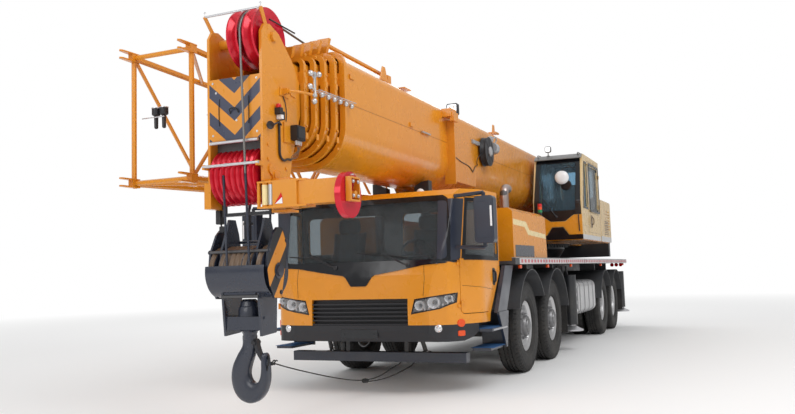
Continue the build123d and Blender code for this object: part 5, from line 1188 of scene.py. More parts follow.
def on_cab_flank(side):
    """The same for one flank, at (x, z)."""
    def lift(flat, distance):
        x, z = flat[..., 0], flat[..., 1]
        return np.stack([x, side * (cab_flank(x) + distance), z], -1)
    return lift


def on_wall(axis, level=0.0, way=1):
    """The same for a flat wall square to an axis, at a level on it, that faces along it or against it."""
    def lift(flat, distance):
        place = [flat[..., 0], flat[..., 1]]
        place.insert(axis, way * (level + distance) + 0 * flat[..., 0])
        return np.stack(place, -1)
    return lift


def even(points, step=0.03, closed=True):
    """A closed outline, or an open path, with points added along its runs, at most a step apart."""
    points = np.asarray(points, float)
    out = []
    for a, b in zip(points, np.roll(points, -1, 0) if closed else points[1:]):
        count = max(1, int(math.ceil(np.linalg.norm(b - a) / step)))
        out.append(a + (b - a) * np.linspace(0, 1, count, endpoint=False)[:, None])
    return np.concatenate(out if closed else out + [points[-1:]])


SCREEN_MIDDLE = (0.0, 1.845)
SCREEN_OPENING = rounded(2.15, 0.66, 0.05, centre=SCREEN_MIDDLE)
SURROUND = (
    (0.0, 2.236), (1.02, 2.236), (1.075, 2.2), (1.13, 1.75), (1.155, 1.475), (0.806, 1.455), (0.5, 1.402),
    (0.2, 1.356), (0.165, 1.33), (0.105, 1.24), (0.088, 1.232),
)


def both_sides(outline):
    """A half outline from the centreline outwards and back, closed by its mirror image."""
    outline = [tuple(p) for p in outline]
    return outline + [(-y, z) for y, z in reversed(outline) if abs(y) > 1e-6]


def seam(points, lift, width=0.004):
    """Fine dark line along a panel joint: a flat strip that follows the surface."""
    points = even(points, 0.03, False)
    ahead = np.gradient(points, axis=0)
    ahead /= np.linalg.norm(ahead, axis=1)[:, None]
    across = np.stack([-ahead[:, 1], ahead[:, 0]], 1) * width / 2
    left, right = points - across, points + across
    grid = np.stack([lift(left, -0.002), lift(left, 0.0012), lift(right, 0.0012), lift(right, -0.002)], 1)
    return rings(grid)


HANDLE_X = 3.585
LAMP = ((0.651, 0.912), (0.696, 1.076), (1.148, 1.137), (1.138, 1.032), (0.98, 0.968))


class CRANE_OT_cab(bpy.types.Operator):
    """Adds the driver's cab's glass surround, lamps, wipers, handles, seams and small trim"""

    bl_idname = "crane.cab"
    bl_label = "Driver's cab"

    def execute(self, context):
        flat = frame_between(SCREEN_OPENING, both_sides(SURROUND), SCREEN_MIDDLE, 7, 220)
        piece(
            "screen_surround", [ring_sheet(flat, on_cab_front, 0.0005, 0.009)], "gloss_black", "carrier",
            "black_trim"
        )
        seams = [
            seam([(side * 0.806, 1.453), (side * 0.815, 1.3), (side * 0.8, 1.11)], on_cab_front)
            for side in (1, -1)
        ]
        piece("front_seams", seams, "shadow_gap", "carrier", "black_trim")
        self.flanks()
        self.lamps()
        self.wipers()
        self.interior()
        return {"FINISHED"}

    def flanks(self):
        """Window rubber, handles and seams of the doors."""
        window = np.array(((3.45, 2.165), (3.45, 1.52), (4.16, 1.56), (4.115, 2.165)))
        centre = window.mean(0)
        outer = np.array(((3.415, 2.2), (3.415, 1.485), (4.205, 1.5), (4.14, 2.205)))
        for side, hand in SIDES:
            lift = on_cab_flank(side)
            door = f"cab_door_{hand}"
            ring = ring_sheet(frame_between(window, outer, centre, 4, 90), lift, 0.0005, 0.007)
            piece(f"door_window_frame_{hand}", [ring], "gloss_black", door, "black_trim")
            cup = patch_sheet(
                even(rounded(0.085, 0.2, 0.03, centre=(HANDLE_X, 1.3)), 0.02), lift, -0.004, 0.004
            )
            grip = ((0.002, 1.375), (0.026, 1.35), (0.03, 1.3), (0.026, 1.25), (0.002, 1.225))
            grip = [(HANDLE_X, side * (cab_flank(HANDLE_X) + out), z) for out, z in grip]
            piece(f"door_handle_{hand}", [cup, sweep(grip, 0.011, 10)], "black_trim", door, "black_trim")
            joint = [seam([(3.625, 1.15), (4.205, 1.215)], lift)]
            piece(f"door_seams_{hand}", joint, "shadow_gap", door, "black_trim")
            reflectors = []
            for z, outline in ((0.802, rounded(0.085, 0.085, 0.042, 8)), (0.69, rounded(0.075, 0.06, 0.012))):
                reflectors.append(patch_sheet(even(outline + (4.24, z), 0.012), lift, -0.003, 0.012))
            piece(f"side_reflectors_{hand}", reflectors, "amber_lens", "carrier", "lamp_clear")

    def lamps(self):
        """Headlamp housings with their bowls, fog lamps and marker lamps."""
        for side, hand in SIDES:
            outline = even(np.array(LAMP) * (side, 1), 0.03)
            bezel = frame_between(inset_outline(outline, 0.012), outline, outline.mean(0), 3, 80)
            piece(
                f"headlamp_bezel_{hand}", [ring_sheet(bezel, on_cab_front, -0.004, 0.003)], "gloss_black",
                "carrier", "black_trim"
            )
            bowls, darks = [], []
            for y, z, radius in ((0.745, 1.005, 0.05), (0.905, 1.035, 0.062), (1.06, 1.078, 0.04)):
                x = float(cab_front(np.array(y), np.array(z)))
                aim = (1.0, side * 0.12 * (y > 1.0), 0.0)
                at = (x - 0.07, side * y, z)
                bowl = (
                    (1.0, 0.058), (1.06, 0.06), (1.06, 0.0), (0.4, -0.012), (0.38, 0.0), (0.62, 0.012),
                    (0.85, 0.032)
                )
                bowls.append(hollow_lathe([(radius * share, height) for share, height in bowl], at, aim, 28))
                bulb = ((0.4, -0.004), (0.4, 0.018), (0.34, 0.028), (0.16, 0.036))
                darks.append(lathe([(radius * share, height) for share, height in bulb], at, aim, 24))
            fins = []
            for y in np.linspace(0.8, 1.1, 7):
                x = float(cab_front(np.array(y), np.array(1.0)))
                low = np.interp(y, (0.651, 0.98, 1.138), (0.912, 0.968, 1.032)) + 0.014
                fins.append(
                    block((x - 0.06, side * y - 0.004, low), (x - 0.03, side * y + 0.004, low + 0.03), 0.002)
                )
            piece(f"headlamp_bowls_{hand}", bowls + fins, "reflector", "carrier", "chrome")
            piece(f"headlamp_bulbs_{hand}", darks, "gloss_black", "carrier", "black_trim")
            fog = (float(cab_front(np.array(0.955), np.array(0.8))) - 0.012, side * 0.955, 0.752)
            dish = [
                (0.04, -0.01), (0.042, 0.016), (0.036, 0.02), (0.03, 0.018), (0.018, 0.026), (0.003, 0.029)
            ]
            piece(
                f"fog_lamp_{hand}", [lathe(dish, fog, (1, side * 0.2, 0), 30)], "chrome", "carrier", "chrome"
            )
        dome = [(0.05, 0.0), (0.052, 0.01), (0.046, 0.03), (0.03, 0.052), (0.01, 0.06)]
        piece(
            "roof_dome", [lathe(dome, (3.95, 0.62, 2.302), Z, 28)], "frosted_white", "carrier", "lamp_clear"
        )

    def wipers(self):
        """Two wipers with their arms lying on the windscreen."""
        arms, blades = [], []
        for foot, tip, blade in (
            ((0.62, 1.455), (0.3, 1.6), ((0.62, 1.545), (-0.02, 1.615))),
            ((-0.3, 1.455), (-0.62, 1.6), ((-0.28, 1.545), (-0.92, 1.6))),
        ):
            line = even([foot, tip], 0.05, False)
            points = on_cab_front(line, 0.04)
            points[0, 0] -= 0.03
            arms.append(sweep(points, 0.009, 8))
            pivot = on_cab_front(np.array([foot]), 0.012)[0]
            arms.append(lathe([(0.022, -0.02), (0.024, 0.012), (0.015, 0.022)], pivot, X, 18))
            strip = even(blade, 0.05, False)
            blades.append(sweep(on_cab_front(strip, 0.022), 0.008, 6))
        piece("wiper_arms", arms, "black_trim", "carrier", "black_trim")
        piece("wiper_blades", blades, "rubber", "carrier", "black_trim")

    def interior(self):
        """Headrests and dashboard that show through the glass."""
        parts = []
        for y in (DRIVER_Y, -DRIVER_Y):
            parts.append(prism(rounded(0.3, 0.2, 0.07, centre=(y, 1.985)), 3.455, 3.545, "yz", 0.025))
            post = [(y - 0.02, 1.87), (y + 0.02, 1.87), (y + 0.02, 1.93), (y - 0.02, 1.93)]
            parts.append(prism(post, 3.49, 3.51, "yz", 0.003))
        piece("headrests", parts, "seat_cloth", "carrier", "seat_fabric")
        parts = [
            prism(
                [(4.08, 1.43), (4.37, 1.43), (4.36, 1.49), (4.2, 1.5), (4.09, 1.47)], -1.0, 1.0, "xz", 0.01
            ),
            prism([(4.06, 1.43), (4.2, 1.43), (4.2, 1.56), (4.1, 1.57)], 0.33, 0.8, "xz", 0.02)
        ]
        piece("dashboard", parts, "black_trim", "carrier", "black_trim")


# ---------------------------------------------------------------- front trim, steps and mirrors
class CRANE_OT_front(bpy.types.Operator):
    """Adds the grille's mesh, the underrun struts, tread mats, mirror trim, fender lips and pillar trim"""

    bl_idname = "crane.front"
    bl_label = "Front trim"

    def execute(self, context):
        cells = []
        for row, z in enumerate(np.arange(0.8, 1.07, 0.023)):
            for y in np.arange(-0.59, 0.595, 0.026):
                shift = 0.013 * (row % 2)
                if abs(y + shift) < 0.597:
                    cells.append(
                        block(
                            (4.338, y + shift - 0.0022, z - 0.0115), (4.352, y + shift + 0.0022, z + 0.0115),
                            0.0009
                        )
                    )
        for z in np.arange(0.7885, 1.075, 0.023):
            cells.append(block((4.338, -0.605, z - 0.0018), (4.352, 0.605, z + 0.0018), 0.0008))
        piece("grille_mesh", cells, "black_trim", "carrier", "black_trim")
        plate = [block((4.437, -0.235, 0.64), (4.4425, 0.235, 0.745), 0.002)]
        plate += [p for y in (-0.19, 0.19) for p in bolt((4.4425, y, 0.692), X, 0.007, 0.004)]
        piece("front_plate_carrier", plate, "gloss_black", "carrier", "black_trim")

        struts, clamps = [], []
        for y in (-0.62, 0.62):
            struts += [sweep([(3.94, y, 0.44), (3.99, y * 0.99, 0.53), (4.05, y * 0.97, 0.63)], 0.026, 14)]
            struts += [block((3.9, y - 0.05, 0.44), (4.0, y + 0.05, 0.456), 0.003)]
            clamps += [p for dx in (-0.03, 0.03) for p in bolt((3.95 + dx, y + 0.03, 0.456), Z, 0.009, 0.008)]
        struts.append(sweep([(3.945, -0.46, 0.445), (3.955, -0.46, 0.62)], 0.03, 14))
        struts.append(lathe([(0.036, 0.0), (0.036, 0.05), (0.03, 0.055)], (3.95, -0.46, 0.5), Z, 18))
        piece("underrun_struts", struts, "frame_paint", "carrier", "dark_frame")
        piece("underrun_bolts", clamps, "steel", "carrier", "steel")
        beam = [block((3.886, -1.132, 0.333), (4.005, 1.132, 0.448), 0.004)]
        piece("underrun_skin", beam, "navy_paint", "carrier", "dark_frame")

        mats, cleats, lips = [], [], []
        for s in (1, -1):
            for x0, x1, z in ((3.425, 4.0, 0.719), (3.425, 3.94, 0.499)):
                mats.append(side_block(s, (x0, 1.165, z), (x1, 1.44, z + 0.003), 0.001))
                for x in np.arange(x0 + 0.03, x1 - 0.02, 0.042):
                    cleats.append(side_block(s, (x, 1.177, z + 0.003), (x + 0.016, 1.428, z + 0.0065), 0.001))
            lips.append(sweep([(3.96, s * 1.449, 0.702), (3.415, s * 1.449, 0.702)], 0.011, 10))
        piece("step_mats", mats, "blue_mat", "carrier", "hook_blue")
        piece("step_cleats", cleats, "blue_mat", "carrier", "hook_blue")
        piece("step_nosings", lips, "steel", "carrier", "steel")
        self.mirrors()
        self.pillars()
        return {"FINISHED"}

    def mirrors(self):
        """Mirror housings' outer shells, their glass and the pale strip."""
        shells, strips, glasses, ribs = [], [], [], []
        for s in (1, -1):
            for kept, width, height, radius, steps, y, z, low, high, edge in (
                (shells, 0.215, 0.515, 0.045, 6, 1.515, 1.93, 4.363, 4.374, 0.009),
                (ribs, 0.165, 0.4, 0.03, 5, 1.515, 1.925, 4.373, 4.3785, 0.004),
                (strips, 0.022, 0.225, 0.005, 3, 1.6, 1.965, 4.3745, 4.38, 0.002),
                (glasses, 0.19, 0.3, 0.03, 5, 1.515, 2.0, 4.231, 4.2345, 0.002),
                (glasses, 0.19, 0.14, 0.03, 5, 1.515, 1.76, 4.231, 4.2345, 0.002),
            ):
                outline = rounded(width, height, radius, steps, (s * y, z))
                kept.append(prism(outline, low, high, "yz", edge))
        piece("mirror_shells", shells + ribs, "navy_paint", "carrier", "black_trim")
        piece("mirror_strips", strips, "white_gloss", "carrier", "lamp_clear")
        piece("mirror_glasses", glasses, "chrome", "carrier", "chrome")

    def pillars(self):
        """Dark trim of the corner pillars beside the windscreen."""
        for s, hand in SIDES:
            rows = []
            for height in np.linspace(1.5, 2.19, 12):
                along = np.linspace(4.222 - 0.1 * (height - 1.5), 4.4, 14)
                y = np.interp(along, CAB_ROUND[:, 0], CAB_ROUND[:, 1])
                along = np.minimum(along, cab_front(0.0, height))
                rows.append(np.stack([along + 0.004, s * (y + 0.004), np.full(14, height)], 1))
            piece(f"pillar_trim_{hand}", [slab(np.array(rows), 0.006)], "navy_paint", "carrier", "black_trim")


# ---------------------------------------------------------------- boom head
HEAD_X = 6.63  # the sheaves' axles
HEAD_SIDE = 0.295  # the side plates' outer faces
WIND_POST = (6.24, 0.5, 3.04)
GLANDS = (6.25, 6.28, 6.31, 6.34)


class CRANE_OT_head(bpy.types.Operator):
    """Adds the boom head's warning plate, lamps, control box, wind gauge, hoist rope and small fittings"""

    bl_idname = "crane.head"
    bl_label = "Boom head"

    def execute(self, context):
        plate = [block((6.8185, -0.272, 2.606), (6.8205, 0.272, 3.174), 0.0008)]
        piece("chevron_plate", plate, "chevron_plate", "head", "boom_yellow")
        bolts = []
        for y, z in (
            (-0.2, 3.05), (0.09, 3.06), (-0.235, 2.66), (0.235, 2.66), (-0.235, 3.14), (0.235, 3.14),
            (0.02, 2.78)
        ):
            bolts += bolt((6.8205, y, z), X, 0.008, 0.005)
        piece("plate_bolts", bolts, "rim_silver", "head", "steel")
        grip = ((6.821, -0.045, 2.845), (6.846, -0.035, 2.88), (6.848, 0.0, 2.888), (6.846, 0.035, 2.88))
        pull = [cable([*grip, (6.821, 0.045, 2.845)], 0.007, 10)]
        pull += [
            cable(
                [(6.8215, y, 2.99), (6.826, y * 1.03, 2.92), (6.826, y * 1.03, 2.8), (6.8215, y, 2.74)],
                0.004, 8
            )
            for y in (-0.16, 0.15)
        ]
        piece("plate_handle", pull, "gloss_black", "head", "black_trim")

        bars = [rod(0.0132, 0.297, (6.9, 0, 2.372), Y, 16)]
        bars += [rod(0.0145, 0.255, (6.842, 0, 2.585), Y, 16)]
        bars += [rod(0.0148, 0.014, (6.9, y, 2.372), Y, 6) for y in (0.155, -0.045)]
        bars += [rod(0.0102, 0.297, (6.838, 0, 3.768), Y, 14)]
        piece("guard_bars", bars, "steel", "head", "steel")
        bend = ((0.302, 3.772), (0.302, 3.795), (0.309, 3.806), (0.3, 3.815), (0.291, 3.806))
        hooks = [cable([(6.838, s * y, z) for y, z in bend], 0.003, 8, 30) for s in (1, -1)]
        piece("rope_hooks", hooks, "steel", "head", "steel")

        self.left_plate()
        self.wind_gauge()
        self.ropes()
        return {"FINISHED"}

    def left_plate(self):
        """Beacon, horn, control box with its cables, rollers and lifting eye on the left side plate."""
        y = HEAD_SIDE
        black = [
            block((6.575, y, 2.835), (6.625, y + 0.06, 2.9), 0.006),
            block((6.535, y, 2.79), (6.56, y + 0.055, 2.87), 0.005),
            lathe(
                [
                    (0.012, 0.0), (0.014, 0.03), (0.02, 0.045), (0.034, 0.058), (0.038, 0.06), (0.038, 0.063),
                    (0.004, 0.052)
                ],
                (6.7, y + 0.04, 2.728), (1, 0, -0.25), 24
            ),
            cable(
                [
                    (6.7, y + 0.04, 2.728), (6.64, y + 0.04, 2.752), (6.59, y + 0.03, 2.757),
                    (6.534, y + 0.012, 2.752)
                ],
                0.008, 10
            ),
            cable(
                [
                    (6.569, y + 0.012, 2.78), (6.57, y + 0.014, 2.6), (6.56, y + 0.012, 2.47),
                    (6.5, y + 0.012, 2.43), (6.44, y + 0.014, 2.446), (6.389, y + 0.02, 2.445)
                ],
                0.011, 10, 50
            ),
            cable(
                [
                    (6.505, y + 0.006, 3.05), (6.455, y + 0.008, 2.98), (6.43, y + 0.008, 2.88),
                    (6.44, y + 0.008, 2.8)
                ],
                0.004, 8, 30
            ),
        ]
        piece("head_cables", black, "black_trim", "head", "black_trim")
        beacon = [
            lathe(
                [(0.023, 0.0), (0.024, 0.02), (0.019, 0.034), (0.004, 0.04)], (6.602, y + 0.03, 2.898), Z, 22
            )
        ]
        piece("head_beacon", beacon, "red_lens", "head", "lamp_clear")
        piece(
            "head_unit", [block((6.56, y + 0.004, 2.795), (6.598, y + 0.056, 2.838), 0.004)], "white_gloss",
            "head", "lamp_clear"
        )
        box = [block((6.225, y + 0.012, 2.632), (6.375, y + 0.085, 2.775), 0.008)]
        box += [block((6.238, y + 0.085, 2.65), (6.362, y + 0.091, 2.757), 0.004)]
        box += [
            p for x in (6.236, 6.364) for z in (2.645, 2.762)
            for p in bolt((x, y + 0.085, z), Y, 0.004, 0.003)
        ]
        piece("control_box", box, "black_trim", "head", "black_trim")
        back = [prism([(6.205, 2.61), (6.48, 2.6), (6.48, 2.79), (6.205, 2.8)], y, y + 0.012, "xz", 0.003)]
        piece("control_box_plate", back, "boom_paint", "head", "boom_yellow")
        gland = [(0.0065, -0.04), (0.0065, -0.024), (0.009, -0.018), (0.009, 0.0)]
        glands = [lathe(gland, (x, y + 0.05, 2.632), Z, 12) for x in GLANDS]
        piece("control_box_glands", glands, "grey_light", "head", "steel")
        wires = []
        for x, sag in zip(GLANDS, (0.03, 0.012, -0.012, -0.03)):
            wires.append(
                cable(
                    [
                        (x, y + 0.05, 2.6), (x + sag, y + 0.046, 2.54), (x + 0.045, y + 0.03, 2.48),
                        (6.389, y + 0.02, 2.447)
                    ],
                    0.0035, 8, 30
                )
            )
        piece("control_box_wires", wires, "brown_nylon", "head", "black_trim")
        boss = [(0.06, 0.0), (0.062, 0.012), (0.03, 0.016), (0.028, 0.026), (0.004, 0.028)]
        fittings = [
            prism([(6.255, 3.05), (6.345, 3.06), (6.335, 3.125), (6.265, 3.115)], y, y + 0.01, "xz", 0.002),
            prism([(6.385, 3.02), (6.545, 3.03), (6.53, 3.11), (6.4, 3.11)], y, y + 0.01, "xz", 0.002),
            block((6.44, y, 3.045), (6.5, y + 0.06, 3.1), 0.006),
            lathe([(0.024, 0.0), (0.024, 0.018), (0.012, 0.02)], (6.47, y + 0.06, 3.072), Y, 22),
            cable([(6.47, y + 0.07, 3.072), (6.4, y + 0.13, 3.07), (6.28, y + 0.2, 3.06)], 0.013, 12),
            lathe([(0.026, -0.165), (0.03, -0.16), (0.03, 0.16), (0.026, 0.165)], (6.275, 0, 3.635), Y, 26),
            hollow_lathe(
                [(0.02, -0.006), (0.032, -0.006), (0.034, 0.0), (0.032, 0.006), (0.02, 0.006)],
                (6.629, y + 0.006, 3.537), Y, 26
            ),
            *(lathe(boss, (HEAD_X, way * y, 2.285), (0, way, 0), 40) for way in (1, -1)),
            lathe(
                [(0.058, 0.0), (0.06, 0.01), (0.03, 0.014), (0.004, 0.015)], (HEAD_X, -y, 3.55), (0, -1, 0),
                40
            ),
            lathe([(0.05, 0.0), (0.052, 0.012), (0.004, 0.014)], (6.69, y, 2.33), Y, 30),
        ]
        stud = [(0.015, 0.0), (0.017, 0.004), (0.017, 0.008), (0.006, 0.01)]
        fittings += [lathe(stud, (x, y, z), Y, 16) for x, z in ((6.44, 2.36), (6.74, 2.42), (6.74, 2.55))]
        piece("head_fittings", fittings, "boom_paint", "head", "boom_yellow")
        piece(
            "long_rod", [sweep([(6.666, 0.286, 3.705), (6.227, 0.286, 3.692)], 0.008, 10)], "gloss_black",
            "head", "black_trim"
        )
        # painted shade: a thin dark iron sheet across the head's hollow stands in for the shade inside it
        cavity = [block((6.7, -0.266, 2.5), (6.712, 0.266, 2.636), 0.002)]
        piece("head_cavity_shade", cavity, "iron", "head", "dark_frame")

    def wind_gauge(self):
        """Four cups on a cross post, and a wire rack with a row of balls."""
        cups, wires, balls = [], [], []
        post = [
            lathe(
                [
                    (0.02, 0.0), (0.022, 0.02), (0.014, 0.05), (0.014, 0.18), (0.02, 0.2), (0.02, 0.235),
                    (0.008, 0.245)
                ],
                WIND_POST, Z, 22
            )
        ]
        post.append(sweep([(6.285, 0.49, 3.06), (6.24, 0.5, 3.06)], 0.012, 12))
        for dx, dz, y in (
            (0.075, 0.215, 0.5), (-0.085, 0.235, 0.5), (0.015, -0.04, 0.5), (0.1, 0.085, 0.505)
        ):
            cup = (WIND_POST[0] + dx, y, WIND_POST[2] + dz)
            foot = np.add(WIND_POST, (0, 0, max(dz * 0.8, 0.01)))
            post.append(sweep([foot, cup], 0.006, 8))
            cups.append(ball(cup, 0.029))
        for x in np.linspace(6.104, 5.48, 6):
            balls.append(ball((x, 0.5, 3.09), 0.027))
            wires.append(sweep([(x, 0.47, 3.124), (x, 0.5, 3.09), (x, 0.53, 3.124)], 0.003, 6))
        for y in (0.462, 0.5, 0.538):
            wires.append(sweep([(6.23, y, 3.112), (5.44, y, 3.124)], 0.0035, 6))
        for x in np.linspace(6.16, 5.46, 9):
            wires.append(sweep([(x, 0.462, 3.122), (x, 0.538, 3.122)], 0.003, 6))
        piece("wind_post", post, "rim_silver", "head", "steel")
        piece("wind_cups", cups, "rim_silver", "head", "steel")
        piece("ball_rack", wires, "steel", "head", "steel")
        piece("rack_balls", balls, "rim_silver", "head", "steel")

    def ropes(self):
        """Hoist rope over the upper sheaves and down the front of the head, and back along the boom."""
        radius = sizes().fall / 2
        turn = np.linspace(math.radians(96), 0, 16)
        over = np.stack(
            [HEAD_X + 0.2645 * np.cos(turn), np.full(16, 0.117), 3.5475 + 0.2645 * np.sin(turn)], 1
        )
        path = np.concatenate(
            [[(5.66, 0.06, 3.772), (6.2, 0.09, 3.8)], over, [(6.887, 0.13, 3.0), (6.8775, 0.145, 2.285)]]
        )
        piece("hoist_rope_head", [sweep(path, radius, 12)], "rope_steel", "head", "steel")
        path = [(-5.3, 0.03, 3.4), (-4.9, 0.03, 3.675), (-4.6, 0.03, 3.69), (5.6, 0.06, 3.77)]
        piece("hoist_rope_boom", [cable(path, radius, 10, 60)], "rope_steel", "boom", "steel")


# ---------------------------------------------------------------- hook block and hook
BLOCK_SIDE = 0.3125  # the hook block's outer face
OUTER_SIDE = (
    (6.59, 1.818), (6.645, 1.815), (6.705, 1.765), (6.795, 1.6), (6.815, 1.43), (6.79, 1.31), (6.705, 1.19),
    (6.59, 1.185), (6.5, 1.53), (6.495, 1.69), (6.55, 1.79),
)


def grooves(count, pitch, top, depth):
    """Profile across a rope pulley: the radius drops by depth in a half sine at each groove."""
    out = []
    for k in range(count):
        for share in np.linspace(0, 1, 8, endpoint=k == count - 1):
            out.append((top - depth * math.sin(math.pi * share), (k + share - count / 2) * pitch))
    return out


# outer y and z, inner y and z, thickness along X
HOOK_STATIONS = (
    (-0.062, 0.86, 0.062, 0.86, 0.112), (-0.066, 0.77, 0.062, 0.78, 0.112), (-0.12, 0.69, 0.05, 0.7, 0.114),
    (-0.172, 0.59, 0.018, 0.61, 0.115), (-0.188, 0.48, 0.0, 0.54, 0.115), (-0.16, 0.37, 0.006, 0.498, 0.115),
    (-0.095, 0.295, 0.026, 0.465, 0.115), (0.0, 0.265, 0.06, 0.447, 0.115),
    (0.095, 0.292, 0.092, 0.456, 0.115), (0.165, 0.365, 0.114, 0.484, 0.115),
    (0.196, 0.46, 0.126, 0.52, 0.114), (0.198, 0.57, 0.132, 0.57, 0.108), (0.186, 0.68, 0.135, 0.68, 0.098),
    (0.168, 0.71, 0.146, 0.708, 0.06)
)


def forged_hook():
    """Hook's body: round a section of half sizes a and b, point t lies at (a sgn(cos t) |cos t|^0.7,
    b sgn(sin t) |sin t|^0.7), and the section is carried through the stations on a smooth path."""
    stations = curve(HOOK_STATIONS, 150)
    turn = np.linspace(0, TAU, 32, endpoint=False)
    c, s = (np.sign(f(turn)) * np.abs(f(turn)) ** 0.7 for f in (np.cos, np.sin))
    points = np.zeros((len(stations), len(turn), 3))
    points[..., 0] = HEAD_X + stations[:, 4:] / 2 * s
    outer, inner = stations[:, None, :2], stations[:, None, 2:4]
    points[..., 1:] = (outer + inner) / 2 + (outer - inner) / 2 * c[:, None]
    return rings(points)


class CRANE_OT_hook(bpy.types.Operator):
    """Adds the hook block's pulleys, stripes, ribs and bolts, the hook's latch and the strop on it"""

    bl_idname = "crane.hook"
    bl_label = "Hook block"

    def execute(self, context):
        wheels = []
        for y, half, ridges in (
            (0.0, 0.162, grooves(6, 0.054, 0.232, 0.014)), (-0.246, 0.026, grooves(1, 0.048, 0.232, 0.018)),
            (0.246, 0.026, grooves(1, 0.048, 0.232, 0.018)),
        ):
            wheels.append(lathe([(0.1, -half), *ridges, (0.1, half)], (HEAD_X, y, 1.43), Y, 56))
        piece("block_pulleys", wheels, "brown_nylon", "hook_block", "hook_blue", 40)
        plate = [prism(inset_outline(OUTER_SIDE, 0.004), BLOCK_SIDE, 0.3145, "xz", 0.0008)]
        piece("block_stripes", plate, "hazard_plate", "hook_block", "boom_yellow")
        ring = frame_between(inset_outline(OUTER_SIDE, 0.0015), OUTER_SIDE, np.mean(OUTER_SIDE, 0), 2, 80)
        edge = ring_sheet(ring, on_wall(1, BLOCK_SIDE), -0.018, 0.003)
        piece("block_stripe_edge", [edge], "hook_paint", "hook_block", "hook_blue")
        nuts = []
        for y, way in ((0.3145, 1), (-BLOCK_SIDE, -1)):
            nuts += [
                lathe(
                    [(0.07, 0.0), (0.072, 0.006), (0.052, 0.008), (0.05, 0.024), (0.004, 0.026)],
                    (HEAD_X, y, 1.43), (0, way, 0), 36
                )
            ]
            for x, z in ((6.782, 1.608), (6.5, 1.7), (6.6, 1.24)):
                nuts += bolt((x, y, z), (0, way, 0), 0.016, 0.014)
        piece("block_nuts", nuts, "hook_paint", "hook_block", "hook_blue")
        bars = [rod(0.0155, 0.32, (6.782, 0, 1.608), Y, 18)]
        bars += [rod(0.0155, 0.195, (6.768, 0, 1.212), Y, 18)]
        piece("block_bars", bars, "iron", "hook_block", "hook_blue")
        trims = [block((6.772, -0.165, 1.225), (6.78, 0.165, 1.395), 0.004)]
        for y in (0.2, -0.2):
            trims += [
                p for z in (1.02, 1.3) for p in bolt((6.7, y, z), (0, 1 if y > 0 else -1, 0), 0.012, 0.01)
            ]
        piece("block_trims", trims, "navy_paint", "hook_block", "hook_blue")
        self.forging()
        swivel = [
            lathe(
                [
                    (0.06, -0.01), (0.098, 0.0), (0.1, 0.06), (0.084, 0.092), (0.078, 0.13), (0.058, 0.15),
                    (0.004, 0.152)
                ],
                (HEAD_X, 0, 1.034), Z, 40
            )
        ]
        swivel += [
            lathe([(0.084, 0.0), (0.086, -0.012), (0.07, -0.02), (0.066, -0.034)], (HEAD_X, 0, 0.914), Z, 40)
        ]
        piece("swivel_nut", swivel, "hook_paint", "hook", "hook_blue")

        latch = [
            prism(
                [
                    (0.05, 0.835), (0.082, 0.83), (0.098, 0.76), (0.12, 0.7), (0.152, 0.652), (0.128, 0.64),
                    (0.092, 0.69), (0.06, 0.76)
                ],
                6.598, 6.662, "yz", 0.005
            ),
            lathe(
                [(0.016, -0.052), (0.02, -0.048), (0.02, 0.048), (0.016, 0.052)], (HEAD_X, 0.064, 0.8), X, 18
            ),
        ]
        piece("hook_latch", latch, "black_trim", "hook", "black_trim")
        turn = np.linspace(0, TAU, 30, endpoint=False)
        across = 0.158 + 0.052 * np.cos(turn) + 0.012 * np.sin(2 * turn)
        loop = np.stack([6.602 + 0.064 * np.cos(turn), across, 0.618 + 0.07 * np.sin(turn)], 1)
        strop = [sweep(loop, 0.0075, 8), sweep(loop + (0.006, 0.004, -0.018), 0.0075, 8)]
        strop.append(cable([(6.56, 0.172, 0.6), (6.5, 0.15, 0.596), (6.446, 0.133, 0.592)], 0.0072, 8))
        for at, size_now in (((6.556, 0.176, 0.606), 0.018), ((6.452, 0.135, 0.593), 0.014)):
            strop.append(ball(at, size_now, 8, 14))
            tail = ((0.0, 0.004, 0.01), (-0.012, 0.016, 0.028), (-0.02, 0.026, 0.022))
            strop.append(cable(np.add(at, tail), 0.006, 8))
        piece("hook_strop", strop, "rope", "hook", "rope_black")
        knot = [ball((4.592, 0.152, 0.19), 0.014, 8, 14), ball((4.575, 0.153, 0.186), 0.012, 8, 14)]
        knot.append(cable([(4.592, 0.152, 0.19), (4.6, 0.146, 0.212), (4.622, 0.15, 0.222)], 0.005, 8))
        piece("tether_knot", knot, "rope", "carrier", "rope_black")
        weight = [
            lathe(
                [
                    (0.0275, 1.712), (0.0275, 1.848), (0.0455, 1.85), (0.0455, 1.87), (0.0275, 1.872),
                    (0.0275, 1.948)
                ],
                (HEAD_X, 0, 0), Z, 24
            )
        ]
        weight += [
            cable([(HEAD_X, y, 1.945), (6.61, y * 2.2, 2.05), (6.632, y * 3.0, 2.13)], 0.006, 8)
            for y in (0.01, -0.01)
        ]
        piece("limit_weight_shell", weight, "black_trim", "hang", "dark_frame")
        return {"FINISHED"}

    def forging(self):
        """The hook as one smooth forging with its shank, in place of the plain one."""
        shank = lathe([(0.058, 0.826), (0.062, 0.835), (0.062, 1.115), (0.056, 1.122)], (HEAD_X, 0, 0), Z, 40)
        nut = lathe([(0.088, 1.035), (0.091, 1.04), (0.091, 1.118), (0.086, 1.124)], (HEAD_X, 0, 0), Z, 40)
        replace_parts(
            piece("hook_forging", [forged_hook(), shank, nut], "hook_paint", "hook", "hook_blue"), "hook"
        )


# ---------------------------------------------------------------- boom, jib and nose arm
WORK_LAMP = (0.52, 3.6)  # y and z
JIB_LUGS = tuple((y, z) for y in (-0.76, -1.48) for z in (2.352, 3.64))


